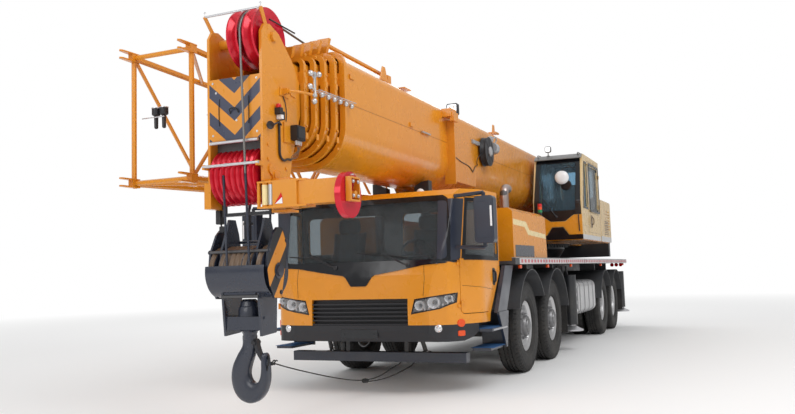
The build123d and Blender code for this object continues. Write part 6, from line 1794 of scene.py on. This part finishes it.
class CRANE_OT_boom(bpy.types.Operator):
    """Adds the boom's gussets, seam, lamp, cable reel, brackets, guide pads, jib lugs and nose arm trim"""

    bl_idname = "crane.boom"
    bl_label = "Boom trim"

    def execute(self, context):
        orange = [
            prism([(2.02, 2.86), (2.46, 3.42), (2.46, 2.7), (2.3, 2.62)], 0.4505, 0.462, "xz", 0.003),
            prism([(1.2, 3.3), (2.46, 3.42), (2.46, 2.62), (1.28, 2.62)], 0.4505, 0.458, "xz", 0.003),
            prism([(2.455, 2.56), (2.475, 2.56), (2.475, 3.44), (2.455, 3.44)], 0.4, 0.56, "xz", 0.003),
        ]
        for x, z, w, h in ((3.25, 3.115, 0.15, 0.045), (3.72, 3.152, 0.09, 0.05), (5.32, 3.4, 0.1, 0.05)):
            orange.append(block((x, 0.4505, z), (x + w, 0.466, z + h), 0.004))
        orange += [
            block((-0.16, 0.3, 3.63), (0.02, 0.44, 3.66), 0.004),
            prism([(-0.14, 3.65), (0.0, 3.65), (-0.04, 3.79), (-0.12, 3.79)], 0.36, 0.375, "xz", 0.003)
        ]
        orange += [prism([(4.18, 3.63), (4.4, 3.63), (4.32, 3.8), (4.25, 3.8)], 0.33, 0.345, "xz", 0.003)]
        orange += [block((3.6, 0.2, 3.636), (3.8, 0.4, 3.652), 0.004)]
        piece("boom_brackets", orange, "boom_paint", "boom", "boom_yellow")
        seams = [
            block((-5.6, s * 0.45 - 0.003, 3.128), (5.55, s * 0.45 + 0.003, 3.1335), 0.0015) for s in (1, -1)
        ]
        piece("boom_seam", seams, "seam_orange", "boom", "boom_yellow")
        pins = [p for x, z in ((3.27, 3.137), (3.38, 3.137)) for p in bolt((x, 0.466, z), Y, 0.011, 0.01)]
        pins += [rod(0.014, 0.14, (3.325, 0.474, 3.137), X, 12)]
        piece("bracket_pins", pins, "rim_silver", "boom", "steel")
        self.lamp()
        self.reel()
        self.sections()
        self.jib()
        self.nose()
        return {"FINISHED"}

    def lamp(self):
        """Work lamp on its stem with the cable down the boom's side."""
        dark = [
            prism(rounded(0.165, 0.165, 0.025, 5, WORK_LAMP), 2.345, 2.425, "yz", 0.01),
            cable(
                [(2.385, 0.52, 3.53), (2.35, 0.52, 3.49), (2.325, 0.5, 3.46), (2.322, 0.47, 3.44)], 0.01, 10
            ),
            block((2.29, 0.44, 3.425), (2.36, 0.475, 3.45), 0.004),
            cable(
                [
                    (2.345, 0.52, 3.55), (2.33, 0.47, 3.4), (2.332, 0.464, 3.2), (2.336, 0.464, 3.03),
                    (2.25, 0.464, 2.98), (1.95, 0.464, 2.93), (1.6, 0.464, 2.9), (1.42, 0.464, 2.83)
                ],
                0.006, 8, 60
            ),
        ]
        dark += [
            block((2.343, 0.52 + dy, 3.54), (2.349, 0.526 + dy, 3.66), 0.001)
            for dy in np.linspace(-0.06, 0.055, 7)
        ]
        piece("work_lamp", dark, "black_trim", "boom", "black_trim")
        face = [prism(rounded(0.13, 0.13, 0.02, 5, WORK_LAMP), 2.4255, 2.429, "yz", 0.002)]
        piece("work_lamp_face", face, "chrome", "boom", "chrome")
        dot = [(0.018, 0.0), (0.016, 0.004), (0.004, 0.006)]
        spots = [
            (2.429, WORK_LAMP[0] + dy, WORK_LAMP[1] + dz) for dy in (-0.03, 0.03) for dz in (-0.03, 0.03)
        ]
        dots = [lathe(dot, spot, X, 16) for spot in spots]
        piece("work_lamp_lenses", dots, "frosted_white", "boom", "lamp_clear")

    def reel(self):
        """Cable reel with its ribs, motor, bracket and the hanging end of its cable."""
        at = (0.88, 0.0, 3.2)
        wound = [(0.218 - 0.005 * (k % 2), 0.489 + 0.0072 * k) for k in range(10)]
        low_flange, high_flange = [
            (0.1, 0.476), (0.226, 0.477), (0.226, 0.485)
        ], [(0.226, 0.563), (0.226, 0.572), (0.1, 0.574)]
        turns = [lathe(low_flange + wound + high_flange, at, Y, 48)]
        turns += turned(block((0.872, 0.571, 3.25), (0.888, 0.577, 3.4), 0.002), at, Y, 8)
        piece("reel_drum", turns, "black_trim", "boom", "black_trim", 25)
        grey = [lathe([(0.075, 0.57), (0.078, 0.59), (0.06, 0.604), (0.004, 0.606)], at, Y, 30)]
        grey += [
            lathe(
                [(0.085, 0.0), (0.09, 0.02), (0.09, 0.15), (0.06, 0.175), (0.06, 0.24), (0.004, 0.245)],
                (0.6, 0.525, 3.3), (-1, 0, 0), 30
            )
        ]
        grey += [block((0.66, 0.455, 3.27), (1.42, 0.485, 3.33), 0.006)]
        grey += [block((0.5, 0.452, 3.22), (0.72, 0.48, 3.4), 0.006)]
        grey += [
            lathe([(0.045, 0.0), (0.048, 0.03), (0.048, 0.08), (0.03, 0.09)], (0.66, 0.525, 3.385), Z, 22)
        ]
        grey += [
            cable(
                [(0.56, 0.56, 3.36), (0.52, 0.585, 3.43), (0.62, 0.59, 3.46), (0.68, 0.56, 3.42)], 0.011, 10
            )
        ]
        piece("reel_motor", grey, "aluminium_paint", "boom", "steel")
        hanging = [
            cable(
                [
                    (1.08, 0.53, 3.16), (1.235, 0.5, 3.08), (1.25, 0.475, 3.0), (1.212, 0.47, 2.96),
                    (1.3, 0.466, 2.93), (1.42, 0.464, 2.84)
                ],
                0.006, 8, 40
            )
        ]
        piece("reel_cable", hanging, "black_trim", "boom", "black_trim")

    def sections(self):
        """Bolts and guide pads on the sections' collars, where the four ends show."""
        for level, name in enumerate(("section_2", "section_3", "section_4", "section_5"), 1):
            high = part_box(name)[1]
            x, half = high[0], high[1]
            bolts, plates = [], []
            for s in (1, -1):
                for z in (2.62, 2.8, 2.98, 3.16, 3.34, 3.5):
                    bolts += bolt((x - 0.035, s * half, z), (0, s, 0), 0.012, 0.009)
                for z in (2.71, 3.25):
                    plates.append(
                        block(
                            (x - 0.055, s * half - 0.004, z - 0.03), (x - 0.012, s * half + 0.005, z + 0.03),
                            0.002
                        )
                    )
            piece(f"collar_bolts_{level + 1}", bolts, "boom_paint", name, "boom_yellow")
            piece(f"collar_plates_{level + 1}", plates, "boom_paint", name, "boom_yellow")

    def jib(self):
        """Stowed nozzles on the jib's side and the pins of its lugs."""
        black, rims, pins, forks = [], [], [], []
        for x, y, z in ((6.33, -1.3, 3.05), (6.33, -1.2, 3.05), (5.95, -0.86, 3.1), (5.95, -0.78, 3.1)):
            cup = [(0.04, 0.0), (0.044, 0.006), (0.044, 0.07), (0.04, 0.074), (0.02, 0.076)]
            black.append(lathe(cup, (x, y, z), Z, 26))
            black.append(
                lathe([(0.012, -0.14), (0.02, -0.13), (0.022, -0.01), (0.038, 0.0)], (x, y, z), Z, 20)
            )
            rims.append(
                hollow_lathe(
                    [(0.043, 0.066), (0.047, 0.068), (0.047, 0.076), (0.041, 0.076)], (x, y, z), Z, 26
                )
            )
        for x, y0, y1, z in ((6.33, -1.44, -1.16, 3.02), (5.95, -0.92, -0.74, 3.07)):
            rims.append(sweep([(x + 0.046, y0, z), (x + 0.046, y1, z)], 0.006, 8))
        piece("jib_nozzles", black, "black_trim", "boom", "black_trim")
        piece("jib_nozzle_rings", rims, "steel", "boom", "steel")
        fork = (
            (6.4, -0.034), (6.53, -0.03), (6.64, -0.022), (6.66, 0.0), (6.64, 0.022), (6.53, 0.03),
            (6.4, 0.034)
        )
        for y, z in JIB_LUGS:
            pin = [(0.018, -0.05), (0.02, -0.046), (0.02, 0.046), (0.018, 0.05)]
            pins.append(lathe(pin, (6.44, y, z), Z, 16))
            for dz in (-0.046, 0.03):
                forks.append(prism(np.add(fork, (0, y)), z + dz, z + dz + 0.016, "xy", 0.003))
            forks.append(block((6.4, y - 0.03, z - 0.04), (6.5, y + 0.03, z + 0.04), 0.006))
        piece("jib_pins", pins, "boom_paint", "boom", "boom_yellow")
        piece("jib_forks", forks, "boom_paint", "boom", "boom_yellow")

    def nose(self):
        """Rollers, end plate bolts and the small mark of the nose arm."""
        pale = [rod(0.0285, 0.088, (6.815, 0.305, 2.087), Z, 24)]
        dark = [rod(0.0285, 0.088, (6.815, 0.37, 2.087), Z, 24)]
        piece("nose_roller_pale", pale, "stripe_cream", "nose_arm", "boom_yellow")
        piece("nose_roller_dark", dark, "steel", "nose_arm", "steel")
        wedge = [prism([(0.42, 2.0), (0.505, 2.0), (0.5, 2.06), (0.488, 2.098)], 6.8505, 6.852, "yz", 0.0005)]
        piece("nose_mark_red", wedge, "red_lens", "nose_arm", "boom_yellow")
        wedge = [prism([(0.428, 2.0015), (0.503, 2.0015), (0.497, 2.055)], 6.8521, 6.853, "yz", 0.0003)]
        piece("nose_mark_white", wedge, "white_gloss", "nose_arm", "boom_yellow")
        pins = []
        for x, z in ((6.7, 2.15), (6.79, 2.15), (6.7, 2.03), (6.79, 2.03)):
            pins += bolt((x, 1.15, z), Y, 0.012, 0.012)
        for y, z in ((1.065, 2.206), (1.12, 2.206), (0.45, 2.206)):
            pins += bolt((6.74, y, z), Z, 0.014, 0.012)
        piece("nose_bolts", pins, "steel", "nose_arm", "steel")
        half = ((0.034, 0.0275), (0.186, 0.0285), (0.1962, 0.0285), (0.1966, 0.022))
        profile = [*((r, -h) for r, h in half), (0.1955, 0.0), *reversed(half)]
        wheel = [lathe(profile, (6.72, 1.065, 2.045), Y, 56)]
        piece("nose_sheave_shell", wheel, "sheave_red", "nose_arm", "sheave_red")
        switch = [
            block((6.6, -0.335, 1.87), (6.66, -0.285, 2.0), 0.005),
            cable([(6.63, -0.3, 1.88), (6.65, -0.27, 1.82), (6.66, -0.25, 1.8)], 0.008, 8),
            block((6.64, -0.29, 1.79), (6.67, -0.24, 1.85), 0.004)
        ]
        piece("limit_switch", switch, "black_trim", "head", "black_trim")


# ---------------------------------------------------------------- operator's cab, winches and carrier trim
def on_operator_front(flat, distance):
    """Points of the operator cab's front at (y, z), moved forwards by a distance."""
    y, z = flat[..., 0], flat[..., 1]
    x = np.interp(z, (2.15, 2.6, 3.397), (-1.79, -1.81, -2.07))
    return np.stack([x + distance + 0 * y, y, z], -1)


on_operator_side = on_wall(1, 1.45)
OPERATOR_Y = 1.005  # the operator's cab's middle
SLEW_X = -3.67  # the slewing ring's axis
RING_TEETH = 96
WINCHES = ((-4.45, 2.2, 0.178, 0.37), (-6.2, 2.25, 0.235, 0.37))  # x, z, rope's radius, half width


class CRANE_OT_upper(bpy.types.Operator):
    """Adds the operator's cab's glass frame, mirror, wiper, panels, lamp, louvres and the winches' ropes"""

    bl_idname = "crane.upper"
    bl_label = "Operator's cab"

    def execute(self, context):
        middle = (OPERATOR_Y, 2.86)
        pane = even(rounded(0.66, 0.9, 0.05) + middle, 0.05)
        outer = even(
            [
                (0.575, 2.33), (0.6, 3.395), (1.41, 3.395), (1.435, 2.33), (1.3, 2.33), (1.14, 2.215),
                (0.88, 2.215), (0.72, 2.33)
            ],
            0.05
        )
        ring = frame_between(pane, outer, middle, 5, 160)
        piece(
            "operator_glass_frame", [ring_sheet(ring, on_operator_front, 0.001, 0.01)], "gloss_black",
            "upper", "black_trim"
        )
        low = even([(0.8, 1.96), (0.9, 2.105), (1.1, 2.105), (1.2, 1.96)], 0.05)
        panels = [patch_sheet(low, on_operator_front, 0.001, 0.008)]
        panels += [
            prism([(-1.8, 1.88), (-1.78, 1.88), (-1.78, 1.962), (-1.8, 1.962)], 0.565, 1.448, "xz", 0.004)
        ]
        piece("operator_lower_trim", panels, "gloss_black", "upper", "black_trim")
        outline = [
            (0.566, 1.965), (0.79, 1.965), (0.895, 2.115), (1.105, 2.115), (1.21, 1.965), (1.444, 1.965),
            (1.442, 2.325), (1.305, 2.325), (1.145, 2.208), (0.875, 2.208), (0.715, 2.325), (0.57, 2.325),
        ]
        panels = [strip_sheet(outline, on_operator_front, 0.0015, 0.007)]
        piece("operator_lower_panel", panels, "body_paint", "upper", "body_yellow")
        visor = [
            prism(
                [
                    (-2.07, 3.398), (-1.975, 3.372), (-1.965, 3.384), (-2.06, 3.455), (-2.15, 3.474),
                    (-2.15, 3.466)
                ],
                0.575, 1.44, "xz", 0.003
            )
        ]
        visor += [
            cable(
                [(-2.06, y, 3.44), (-2.02, y, 3.475), (-2.25, y, 3.492), (-3.4, y, 3.492), (-3.44, y, 3.468)],
                0.01, 8, 40
            )
            for y in (0.64, 1.38)
        ]
        piece("operator_visor", visor, "visor_grey", "upper", "black_trim")
        guard = [sweep([(x, 0.64, 3.492), (x, 1.38, 3.492)], 0.008, 8) for x in np.linspace(-2.3, -3.35, 6)]
        piece("operator_roof_guard", guard, "visor_grey", "upper", "black_trim")
        lamp = [
            prism(rounded(0.115, 0.115, 0.03, 5) + (0.82, 3.595), -2.135, -2.075, "yz", 0.01),
            sweep([(-2.1, 0.82, 3.47), (-2.1, 0.82, 3.55)], 0.01, 10),
            lathe([(0.03, 0), (0.028, 0.008), (0.01, 0.012)], (-2.1, 0.82, 3.47), Z, 18)
        ]
        piece("operator_lamp", lamp, "visor_grey", "upper", "black_trim")
        piece(
            "operator_lamp_face",
            [prism(rounded(0.085, 0.085, 0.02, 5) + (0.82, 3.595), -2.0755, -2.072, "yz", 0.002)], "chrome",
            "upper", "chrome"
        )

        arm = [
            cable(
                [(-1.985, 1.3, 3.18), (-1.86, 1.28, 3.2), (-1.84, 1.14, 3.18), (-1.83, 1.1, 3.08)], 0.01, 10
            ),
            lathe(
                [(0.085, 0.0), (0.1, 0.012), (0.092, 0.03), (0.06, 0.048), (0.004, 0.056)],
                (-1.875, 1.17, 2.88), (-1, 0, 0), 34
            ),
            cable([(-1.87, 1.16, 2.9), (-1.88, 1.14, 3.0), (-1.83, 1.1, 3.09)], 0.008, 8),
        ]
        piece("operator_mirror_arm", arm, "gloss_black", "upper", "black_trim")
        dome = [
            lathe(
                [(0.118, 0.0), (0.126, 0.01), (0.122, 0.022), (0.098, 0.04), (0.06, 0.05), (0.004, 0.054)],
                (-1.85, 1.105, 3.02), (1, 0.15, 0), 40
            )
        ]
        piece("operator_mirror", dome, "white_gloss", "upper", "lamp_clear")
        wipers = [lathe([(0.022, -0.02), (0.024, 0.012), (0.012, 0.02)], (-1.785, 0.985, 2.3), X, 18)]
        for line, out, radius, sides in (
            ([(0.985, 2.3), (0.76, 2.64)], 0.035, 0.009, 8),
            ([(0.735, 2.52), (0.735, 2.98)], 0.022, 0.008, 6),
            ([(1.385, 2.32), (1.395, 2.02)], 0.022, 0.009, 8),
        ):
            wipers.append(sweep(on_operator_front(even(line, 0.05, False), out), radius, sides))
        piece("operator_wiper", wipers, "black_trim", "upper", "black_trim")

        window = np.array(((-3.56, 2.45), (-2.58, 2.45), (-2.58, 3.3), (-3.56, 3.3)))
        middle = (-3.07, 2.875)
        outer = even(rounded(1.06, 0.93, 0.05, centre=middle), 0.06)
        rim = frame_between(even(window, 0.06), outer, middle, 3, 90)
        piece(
            "operator_door_frame", [ring_sheet(rim, on_operator_side, 0.018, 0.026)], "gloss_black",
            "operator_door", "black_trim"
        )
        handle = [
            patch_sheet(
                even(rounded(0.075, 0.24, 0.035) + (-2.66, 2.23), 0.03), on_operator_side, 0.016, 0.024
            ),
            cable(
                [(-2.66, 1.474, 2.31), (-2.66, 1.5, 2.28), (-2.66, 1.503, 2.2), (-2.66, 1.474, 2.16)], 0.01, 8
            )
        ]
        piece("operator_door_handle", handle, "brown_nylon", "operator_door", "black_trim")
        side = np.array(((-2.39, 2.48), (-1.99, 2.48), (-2.21, 3.3), (-2.39, 3.3)))
        rim = frame_between(side, inset_outline(side, -0.035), side.mean(0), 3, 70)
        piece(
            "operator_side_frame", [ring_sheet(rim, on_operator_side, 0.001, 0.008)], "gloss_black", "upper",
            "black_trim"
        )
        seams = [seam(line, on_operator_side, 0.005) for line in (
            [(-1.8, 2.13), (-2.4, 2.13), (-2.4, 2.02), (-3.66, 2.02)], [(-2.44, 1.98), (-2.44, 3.42)],
        )]
        piece("operator_seams", seams, "cream_shade", "upper", "pale_cream")
        skirt = [
            block((-3.64, 1.44, 1.88), (-1.8, 1.458, 1.965), 0.004),
            block((-5.06, 1.435, 1.88), (-3.8, 1.452, 1.99), 0.004)
        ]
        piece("operator_skirt", skirt, "grey_light", "upper", "pale_cream")
        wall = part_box("tail_box")[1][1]
        louvres = []
        for z in np.arange(2.03, 2.3, 0.038):
            louvres.append(block((-4.72, wall - 0.002, z), (-4.22, wall + 0.003, z + 0.016), 0.0012))
        piece("tail_louvres", louvres, "brown_nylon", "upper", "pale_cream")

        aerial = [
            sweep(
                [(-3.83, 1.0, 2.74), (-3.83, 1.0, 3.02), (-4.55, 1.02, 3.06), (-5.0, 1.02, 3.02)], 0.014, 10
            ),
            sweep([(-4.62, 1.02, 2.78), (-4.4, 1.02, 3.05)], 0.018, 10),
            sweep([(-4.05, 1.02, 2.76), (-4.3, 1.02, 3.05)], 0.014, 10),
            sweep([(-4.7, 1.02, 3.05), (-4.72, 1.02, 3.13)], 0.008, 8),
            ball((-4.72, 1.02, 3.14), 0.026, 8, 14),
            sweep([(-4.45, 1.02, 3.075), (-5.02, 1.02, 3.1)], 0.006, 8)
        ]
        piece("aerial_bracket", aerial, "grey_light", "upper", "steel")
        self.winches()
        return {"FINISHED"}

    def winches(self):
        """Rope wound on both winches, as ridged layers, and the ring's teeth under the turntable."""
        wound = []
        for x, z, radius, half in WINCHES:
            count = int(half * 2 / sizes().fall)
            profile = [(0.1, -half)]
            for k in range(count):
                for share in (0.0, 0.25, 0.5, 0.75):
                    profile.append(
                        (radius + 0.009 * math.sin(math.pi * share), -half + (k + share) * 2 * half / count)
                    )
            wound.append(lathe(profile + [(0.1, half)], (x, 0, z), Y, 48))
        piece("winch_ropes", wound, "rope_steel", "upper", "steel", 50)
        tooth = prism([(0.77, -0.013), (0.8, -0.008), (0.8, 0.008), (0.77, 0.013)], 1.822, 1.858, "xy", 0.002)
        teeth = [moved(part, offset=(SLEW_X, 0, 0)) for part in turned(tooth, (0, 0, 0), Z, RING_TEETH)]
        piece("ring_teeth", teeth, "iron", "carrier", "dark_frame")


def strip_sheet(outline, lift, low, high):
    """Closed sheet over any outline without holes: its front and back faces are the outline itself."""
    outline = np.asarray(outline, float)
    edge = np.minimum(0.004, high - low)
    inner = inset_outline(outline, 0.003)
    return rings(np.stack([lift(outline, low), lift(outline, high - edge), lift(inner, high)]))


LAMP_TOWER = (0.965, 1.335, 0)
EXHAUST_Y = 0.9


class CRANE_OT_carrier(bpy.types.Operator):
    """Adds the rail's tape, the hood's stripe, exhaust, lamp tower, tank straps and lamps"""

    bl_idname = "crane.carrier"
    bl_label = "Carrier trim"

    def execute(self, context):
        tapes, rails, joints = [], [], []
        for s in (1, -1):
            tapes.append(side_block(s, (-6.84, 1.5, 1.4385), (2.88, 1.5025, 1.5125), 0.0008))
            rails.append(side_block(s, (-6.85, 1.452, 1.5155), (3.075, 1.5035, 1.523), 0.002))
            for x in (-6.0, -4.5, -3.0, -1.5, 0.0, 1.5):
                joints.append(side_block(s, (x - 0.003, 1.502, 1.438), (x + 0.003, 1.5045, 1.513), 0.0008))
        piece("rail_tape", tapes, "rail_tape", "carrier", "grey_deck")
        piece("rail_caps", rails, "aluminium_paint", "carrier", "grey_deck")
        piece("rail_joints", joints, "shadow_gap", "carrier", "black_trim")

        stripe = [
            (2.745, 2.025), (2.745, 1.95), (2.17, 1.935), (2.0, 1.835), (0.96, 1.805), (0.98, 1.875),
            (1.93, 1.905), (2.09, 2.01),
        ]
        bands = [strip_sheet(stripe, on_wall(1, 1.4, s), -0.0005, 0.002) for s in (1, -1)]
        piece("hood_stripe", bands, "stripe_cream", "carrier", "body_yellow")
        plates = [side_block(s, (1.7, 1.3995, 1.535), (2.68, 1.4025, 1.69), 0.001) for s in (1, -1)]
        piece("hood_blank_plate", plates, "chevron_grey", "carrier", "black_trim")

        pipe = ((1.34, 2.14), (1.34, 2.3), (1.338, 2.45), (1.3, 2.545), (1.22, 2.572), (1.128, 2.574))
        exhaust = [cable([(x, EXHAUST_Y, z) for x, z in pipe], 0.0645, 26, 60)]
        exhaust += [
            lathe(
                [(0.08, 0.0), (0.082, 0.012), (0.072, 0.016), (0.072, 0.022)], (1.34, EXHAUST_Y, 2.17), Z, 30
            )
        ]
        piece("exhaust_shell", exhaust, "exhaust_steel", "carrier", "steel")

        base = [lathe([(0.026, 2.165), (0.028, 2.195), (0.028, 2.32), (0.026, 2.324)], LAMP_TOWER, Z, 22)]
        piece("lamp_tower_base", base, "black_trim", "carrier", "black_trim")
        for name, z, material in (
            ("green", 2.2, "green_lens"), ("amber", 2.245, "amber_lens"), ("red", 2.29, "red_lens")
        ):
            shell = [
                lathe(
                    [(0.029, z), (0.032, z + 0.006), (0.032, z + 0.036), (0.029, z + 0.042)], LAMP_TOWER, Z,
                    24
                )
            ]
            piece(f"lamp_tower_{name}", shell, material, "carrier", "lamp_clear")
        slats = [block((0.905, -0.5, z), (0.968, 0.5, z + 0.006), 0.002) for z in np.arange(1.66, 2.0, 0.03)]
        piece("cooler_slats", slats, "iron", "carrier", "dark_frame")

        self.midships()
        self.ends()
        return {"FINISHED"}

    def midships(self):
        """Silver tank with its straps, the stacked pale bands ahead of it and hoses below the deck."""
        straps, bands, hoses, box = [], [], [], []
        for s in (1, -1):
            inner, outer = rounded(0.54, 0.57, 0.1, 8), rounded(0.554, 0.584, 0.11, 8)
            ring = frame_between(inner, outer, (0, 0), 2, 60) + (s * 1.105, 0.84)
            for x in (-2.85, -2.45, -2.05, -1.65):
                straps.append(ring_sheet(ring, on_wall(0), x - 0.03, x + 0.03))
            for z in (0.6, 0.735, 0.87, 1.005):
                bands.append(side_block(s, (-1.34, 1.03, z), (-1.22, 1.37, z + 0.06), 0.008))
            box.append(side_block(s, (-1.2, 1.0, 0.56), (-1.02, 1.32, 1.1), 0.01))
            for k, y in enumerate((1.22, 1.28, 1.34)):
                drop = (
                    (-0.55 - 0.05 * k, s * y, 1.4), (-0.6 - 0.05 * k, s * (y + 0.02), 1.1),
                    (-0.5 - 0.08 * k, s * y, 0.86), (-0.62 - 0.05 * k, s * (y - 0.03), 0.66),
                )
                hoses.append(cable(drop, 0.016, 10, 30))
        piece("tank_straps", straps, "rim_silver", "carrier", "steel")
        piece("stacked_bands", bands, "white_gloss", "carrier", "lamp_clear")
        piece("valve_boxes", box, "frame_paint", "carrier", "dark_frame")
        piece("deck_hoses", hoses, "black_trim", "carrier", "black_trim")

    def ends(self):
        """Side markers, rear lamps, mud flaps and frame bolts."""
        markers, flaps, reds, bolts = [], [], [], []
        for s in (1, -1):
            for x in (2.78, 1.25, -0.42, -3.35, -6.4):
                markers.append(side_block(s, (x - 0.045, 1.462, 1.385), (x + 0.045, 1.488, 1.432), 0.004))
            flaps.append(side_block(s, (-6.3, 0.66, 0.34), (-6.285, 1.43, 0.98), 0.004))
            flaps.append(side_block(s, (-0.295, 1.02, 0.34), (-0.28, 1.4, 0.86), 0.004))
            lens = [(0.042, 0.0), (0.044, 0.012), (0.036, 0.018), (0.004, 0.021)]
            reds += [lathe(lens, (-6.852, s * y, 1.4), (-1, 0, 0), 24) for y in (1.36, 1.26, 1.16)]
            for x in np.arange(-6.3, 2.9, 0.46):
                bolts += bolt((x, s * 1.5025, 1.507), (0, s, 0), 0.007, 0.0015)
        piece("side_markers", markers, "amber_lens", "carrier", "lamp_clear")
        piece("mud_flaps", flaps, "rubber", "carrier", "black_trim")
        piece("rear_lamps", reds, "red_lens", "carrier", "lamp_clear")
        piece("rail_bolts", bolts, "steel", "carrier", "steel")
# ---------------------------------------------------------------- seats
def cushion(origin, across, along, width, length, thick, channels):
    """Sewn pad of half sizes width and length on two unit vectors. For u and v from -1 to 1 its face stands
    at thick (0.45 + 0.55 ((1 - u^4)(1 - v^4))^0.4) less a channel 0.009 exp(-((w - c) / 0.06)^2) for each
    (axis, c) and a tuck of 0.012 u^2 v^2 at the corners, and its sides are drawn in by 5% (1 - w^2). Below
    it is flat, and piping runs round its rim."""
    origin, across, along = (np.asarray(given, float) for given in (origin, across, along))
    turn = np.sin(np.linspace(-math.pi / 2, math.pi / 2, 45))
    u, v = np.meshgrid(turn, turn)
    crown = np.clip((1 - u**4) * (1 - v**4), 0, 1) ** 0.4
    face = thick * (0.45 + 0.55 * crown) - 0.012 * u**2 * v**2
    for axis, c in channels:
        face = face - 0.009 * np.exp(-((((u, v)[axis] - c) / 0.06) ** 2)) * crown
    x = width * u * (1 - 0.05 * (1 - v**2))
    y = length * v * (1 - 0.05 * (1 - u**2))
    low = 0.1 * thick * (1 - crown)
    normal = np.cross(across, along)
    flat = origin + x[..., None] * across + y[..., None] * along
    out = flat.reshape(-1, 3)[rim_of(*u.shape)] - origin
    edge = origin + out + normal * 0.4 * thick
    out /= np.linalg.norm(out, axis=1)[:, None]
    turns = np.linspace(0, TAU, 8, endpoint=False)[:, None]
    piping = loop_rings(edge[:, None] + 0.005 * (np.cos(turns) * out[:, None] + np.sin(turns) * normal))
    return [shell_between(flat + face[..., None] * normal, flat + low[..., None] * normal), piping]


# name, body, middle y, pad: middle x, z, half length and thickness, back: low and high point, half width
SEATS = (
    ("driver_seat", "carrier", DRIVER_Y, (3.825, 1.16, 0.2, 0.095), ((3.6, 1.185), (3.455, 1.895)), 0.225),
    ("second_seat", "carrier", -DRIVER_Y, (3.825, 1.16, 0.2, 0.095), ((3.6, 1.185), (3.455, 1.895)), 0.225),
    (
        "operator_seat", "upper", OPERATOR_Y, (-3.13, 2.25, 0.265, 0.098), ((-3.42, 2.31), (-3.52, 3.04)),
        0.225
    ),
)


class CRANE_OT_seats(bpy.types.Operator):
    """Adds the padded seats, their pedestals and arm consoles"""

    bl_idname = "crane.seats"
    bl_label = "Seats"

    def execute(self, context):
        for name, body, y, (x, z, half, thick), (low, high), width in SEATS:
            pad = cushion(
                (x, y, z), (0, 1, 0), (-1, 0, 0), width, half, thick, ((0, -0.55), (0, 0.55), (1, 0.1))
            )
            lean = np.array((high[0] - low[0], 0, high[1] - low[1]))
            tall = np.linalg.norm(lean)
            middle = np.array(((low[0] + high[0]) / 2, y, (low[1] + high[1]) / 2))
            back = cushion(
                middle, (0, 1, 0), lean / tall, width, tall / 2, 0.092,
                ((0, -0.55), (0, 0.55), (1, -0.3), (1, 0.35))
            )
            for part, parts in (("pad", pad), ("back", back)):
                made = piece(f"{name}_{part}", parts, "seat_cloth", body, "seat_fabric", 60)
        frames = []
        for y in (DRIVER_Y, -DRIVER_Y):
            frames += [
                block((3.822, y - 0.178, 0.862), (3.988, y + 0.178, 1.158), 0.02),
                block((3.66, y - 0.2, 1.135), (4.0, y + 0.2, 1.16), 0.01)
            ]
            frames += [
                sweep([(3.6, y + side * 0.14, 1.16), (3.455, y + side * 0.14, 1.88)], 0.012, 10)
                for side in (-1, 1)
            ]
        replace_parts(piece("seat_frames", frames, "black_trim", "carrier", "black_trim"), "seats")
        y = OPERATOR_Y
        frames = [
            block((-3.298, y - 0.168, 1.93), (-2.902, y + 0.168, 2.235), 0.02),
            block((-3.38, y - 0.22, 2.225), (-2.87, y + 0.22, 2.25), 0.01)
        ]
        frames += [
            block((-3.198, y + side * 0.3 - 0.043, 2.2), (-2.652, y + side * 0.3 + 0.043, 2.438), 0.02)
            for side in (-1, 1)
        ]
        for side in (-1, 1):
            frames += [sweep([(-2.72, y + side * 0.3, 2.36), (-2.725, y + side * 0.3, 2.436)], 0.012, 10)]
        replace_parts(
            piece("operator_seat_frame", frames, "black_trim", "upper", "black_trim"), "operator_seat"
        )
        return {"FINISHED"}




STEPS = (
    CRANE_OT_finishes, CRANE_OT_stage, CRANE_OT_tether, CRANE_OT_wheels, CRANE_OT_cab, CRANE_OT_front,
    CRANE_OT_head, CRANE_OT_hook, CRANE_OT_boom, CRANE_OT_upper, CRANE_OT_carrier, CRANE_OT_seats,
)


class CRANE_PT_panel(bpy.types.Panel):
    """Lists the crane's steps, colours and sizes in the sidebar"""

    bl_idname = "CRANE_PT_panel"
    bl_label = "Mobile crane"
    bl_space_type = "VIEW_3D"
    bl_region_type = "UI"
    bl_category = "Crane"

    def draw(self, context):
        for step in STEPS:
            self.layout.operator(step.bl_idname)
        for settings in (colours(), sizes()):
            for name in settings.__annotations__:
                self.layout.prop(settings, name)


CLASSES = (CraneColours, CraneSizes, *STEPS, CRANE_PT_panel)


def register():
    """Registers the add-on's classes and settings."""
    for cls in CLASSES:
        bpy.utils.register_class(cls)
    bpy.types.Scene.crane_colours = bpy.props.PointerProperty(type=CraneColours)
    bpy.types.Scene.crane_sizes = bpy.props.PointerProperty(type=CraneSizes)


def unregister():
    """Takes the add-on's settings and classes away."""
    del bpy.types.Scene.crane_sizes
    del bpy.types.Scene.crane_colours
    for cls in reversed(CLASSES):
        bpy.utils.unregister_class(cls)


def main():
    """Registers the add-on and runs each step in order."""
    register()
    for step in STEPS:
        family, name = step.bl_idname.split(".")
        getattr(getattr(bpy.ops, family), name)()


if __name__ == "__main__":
    main()
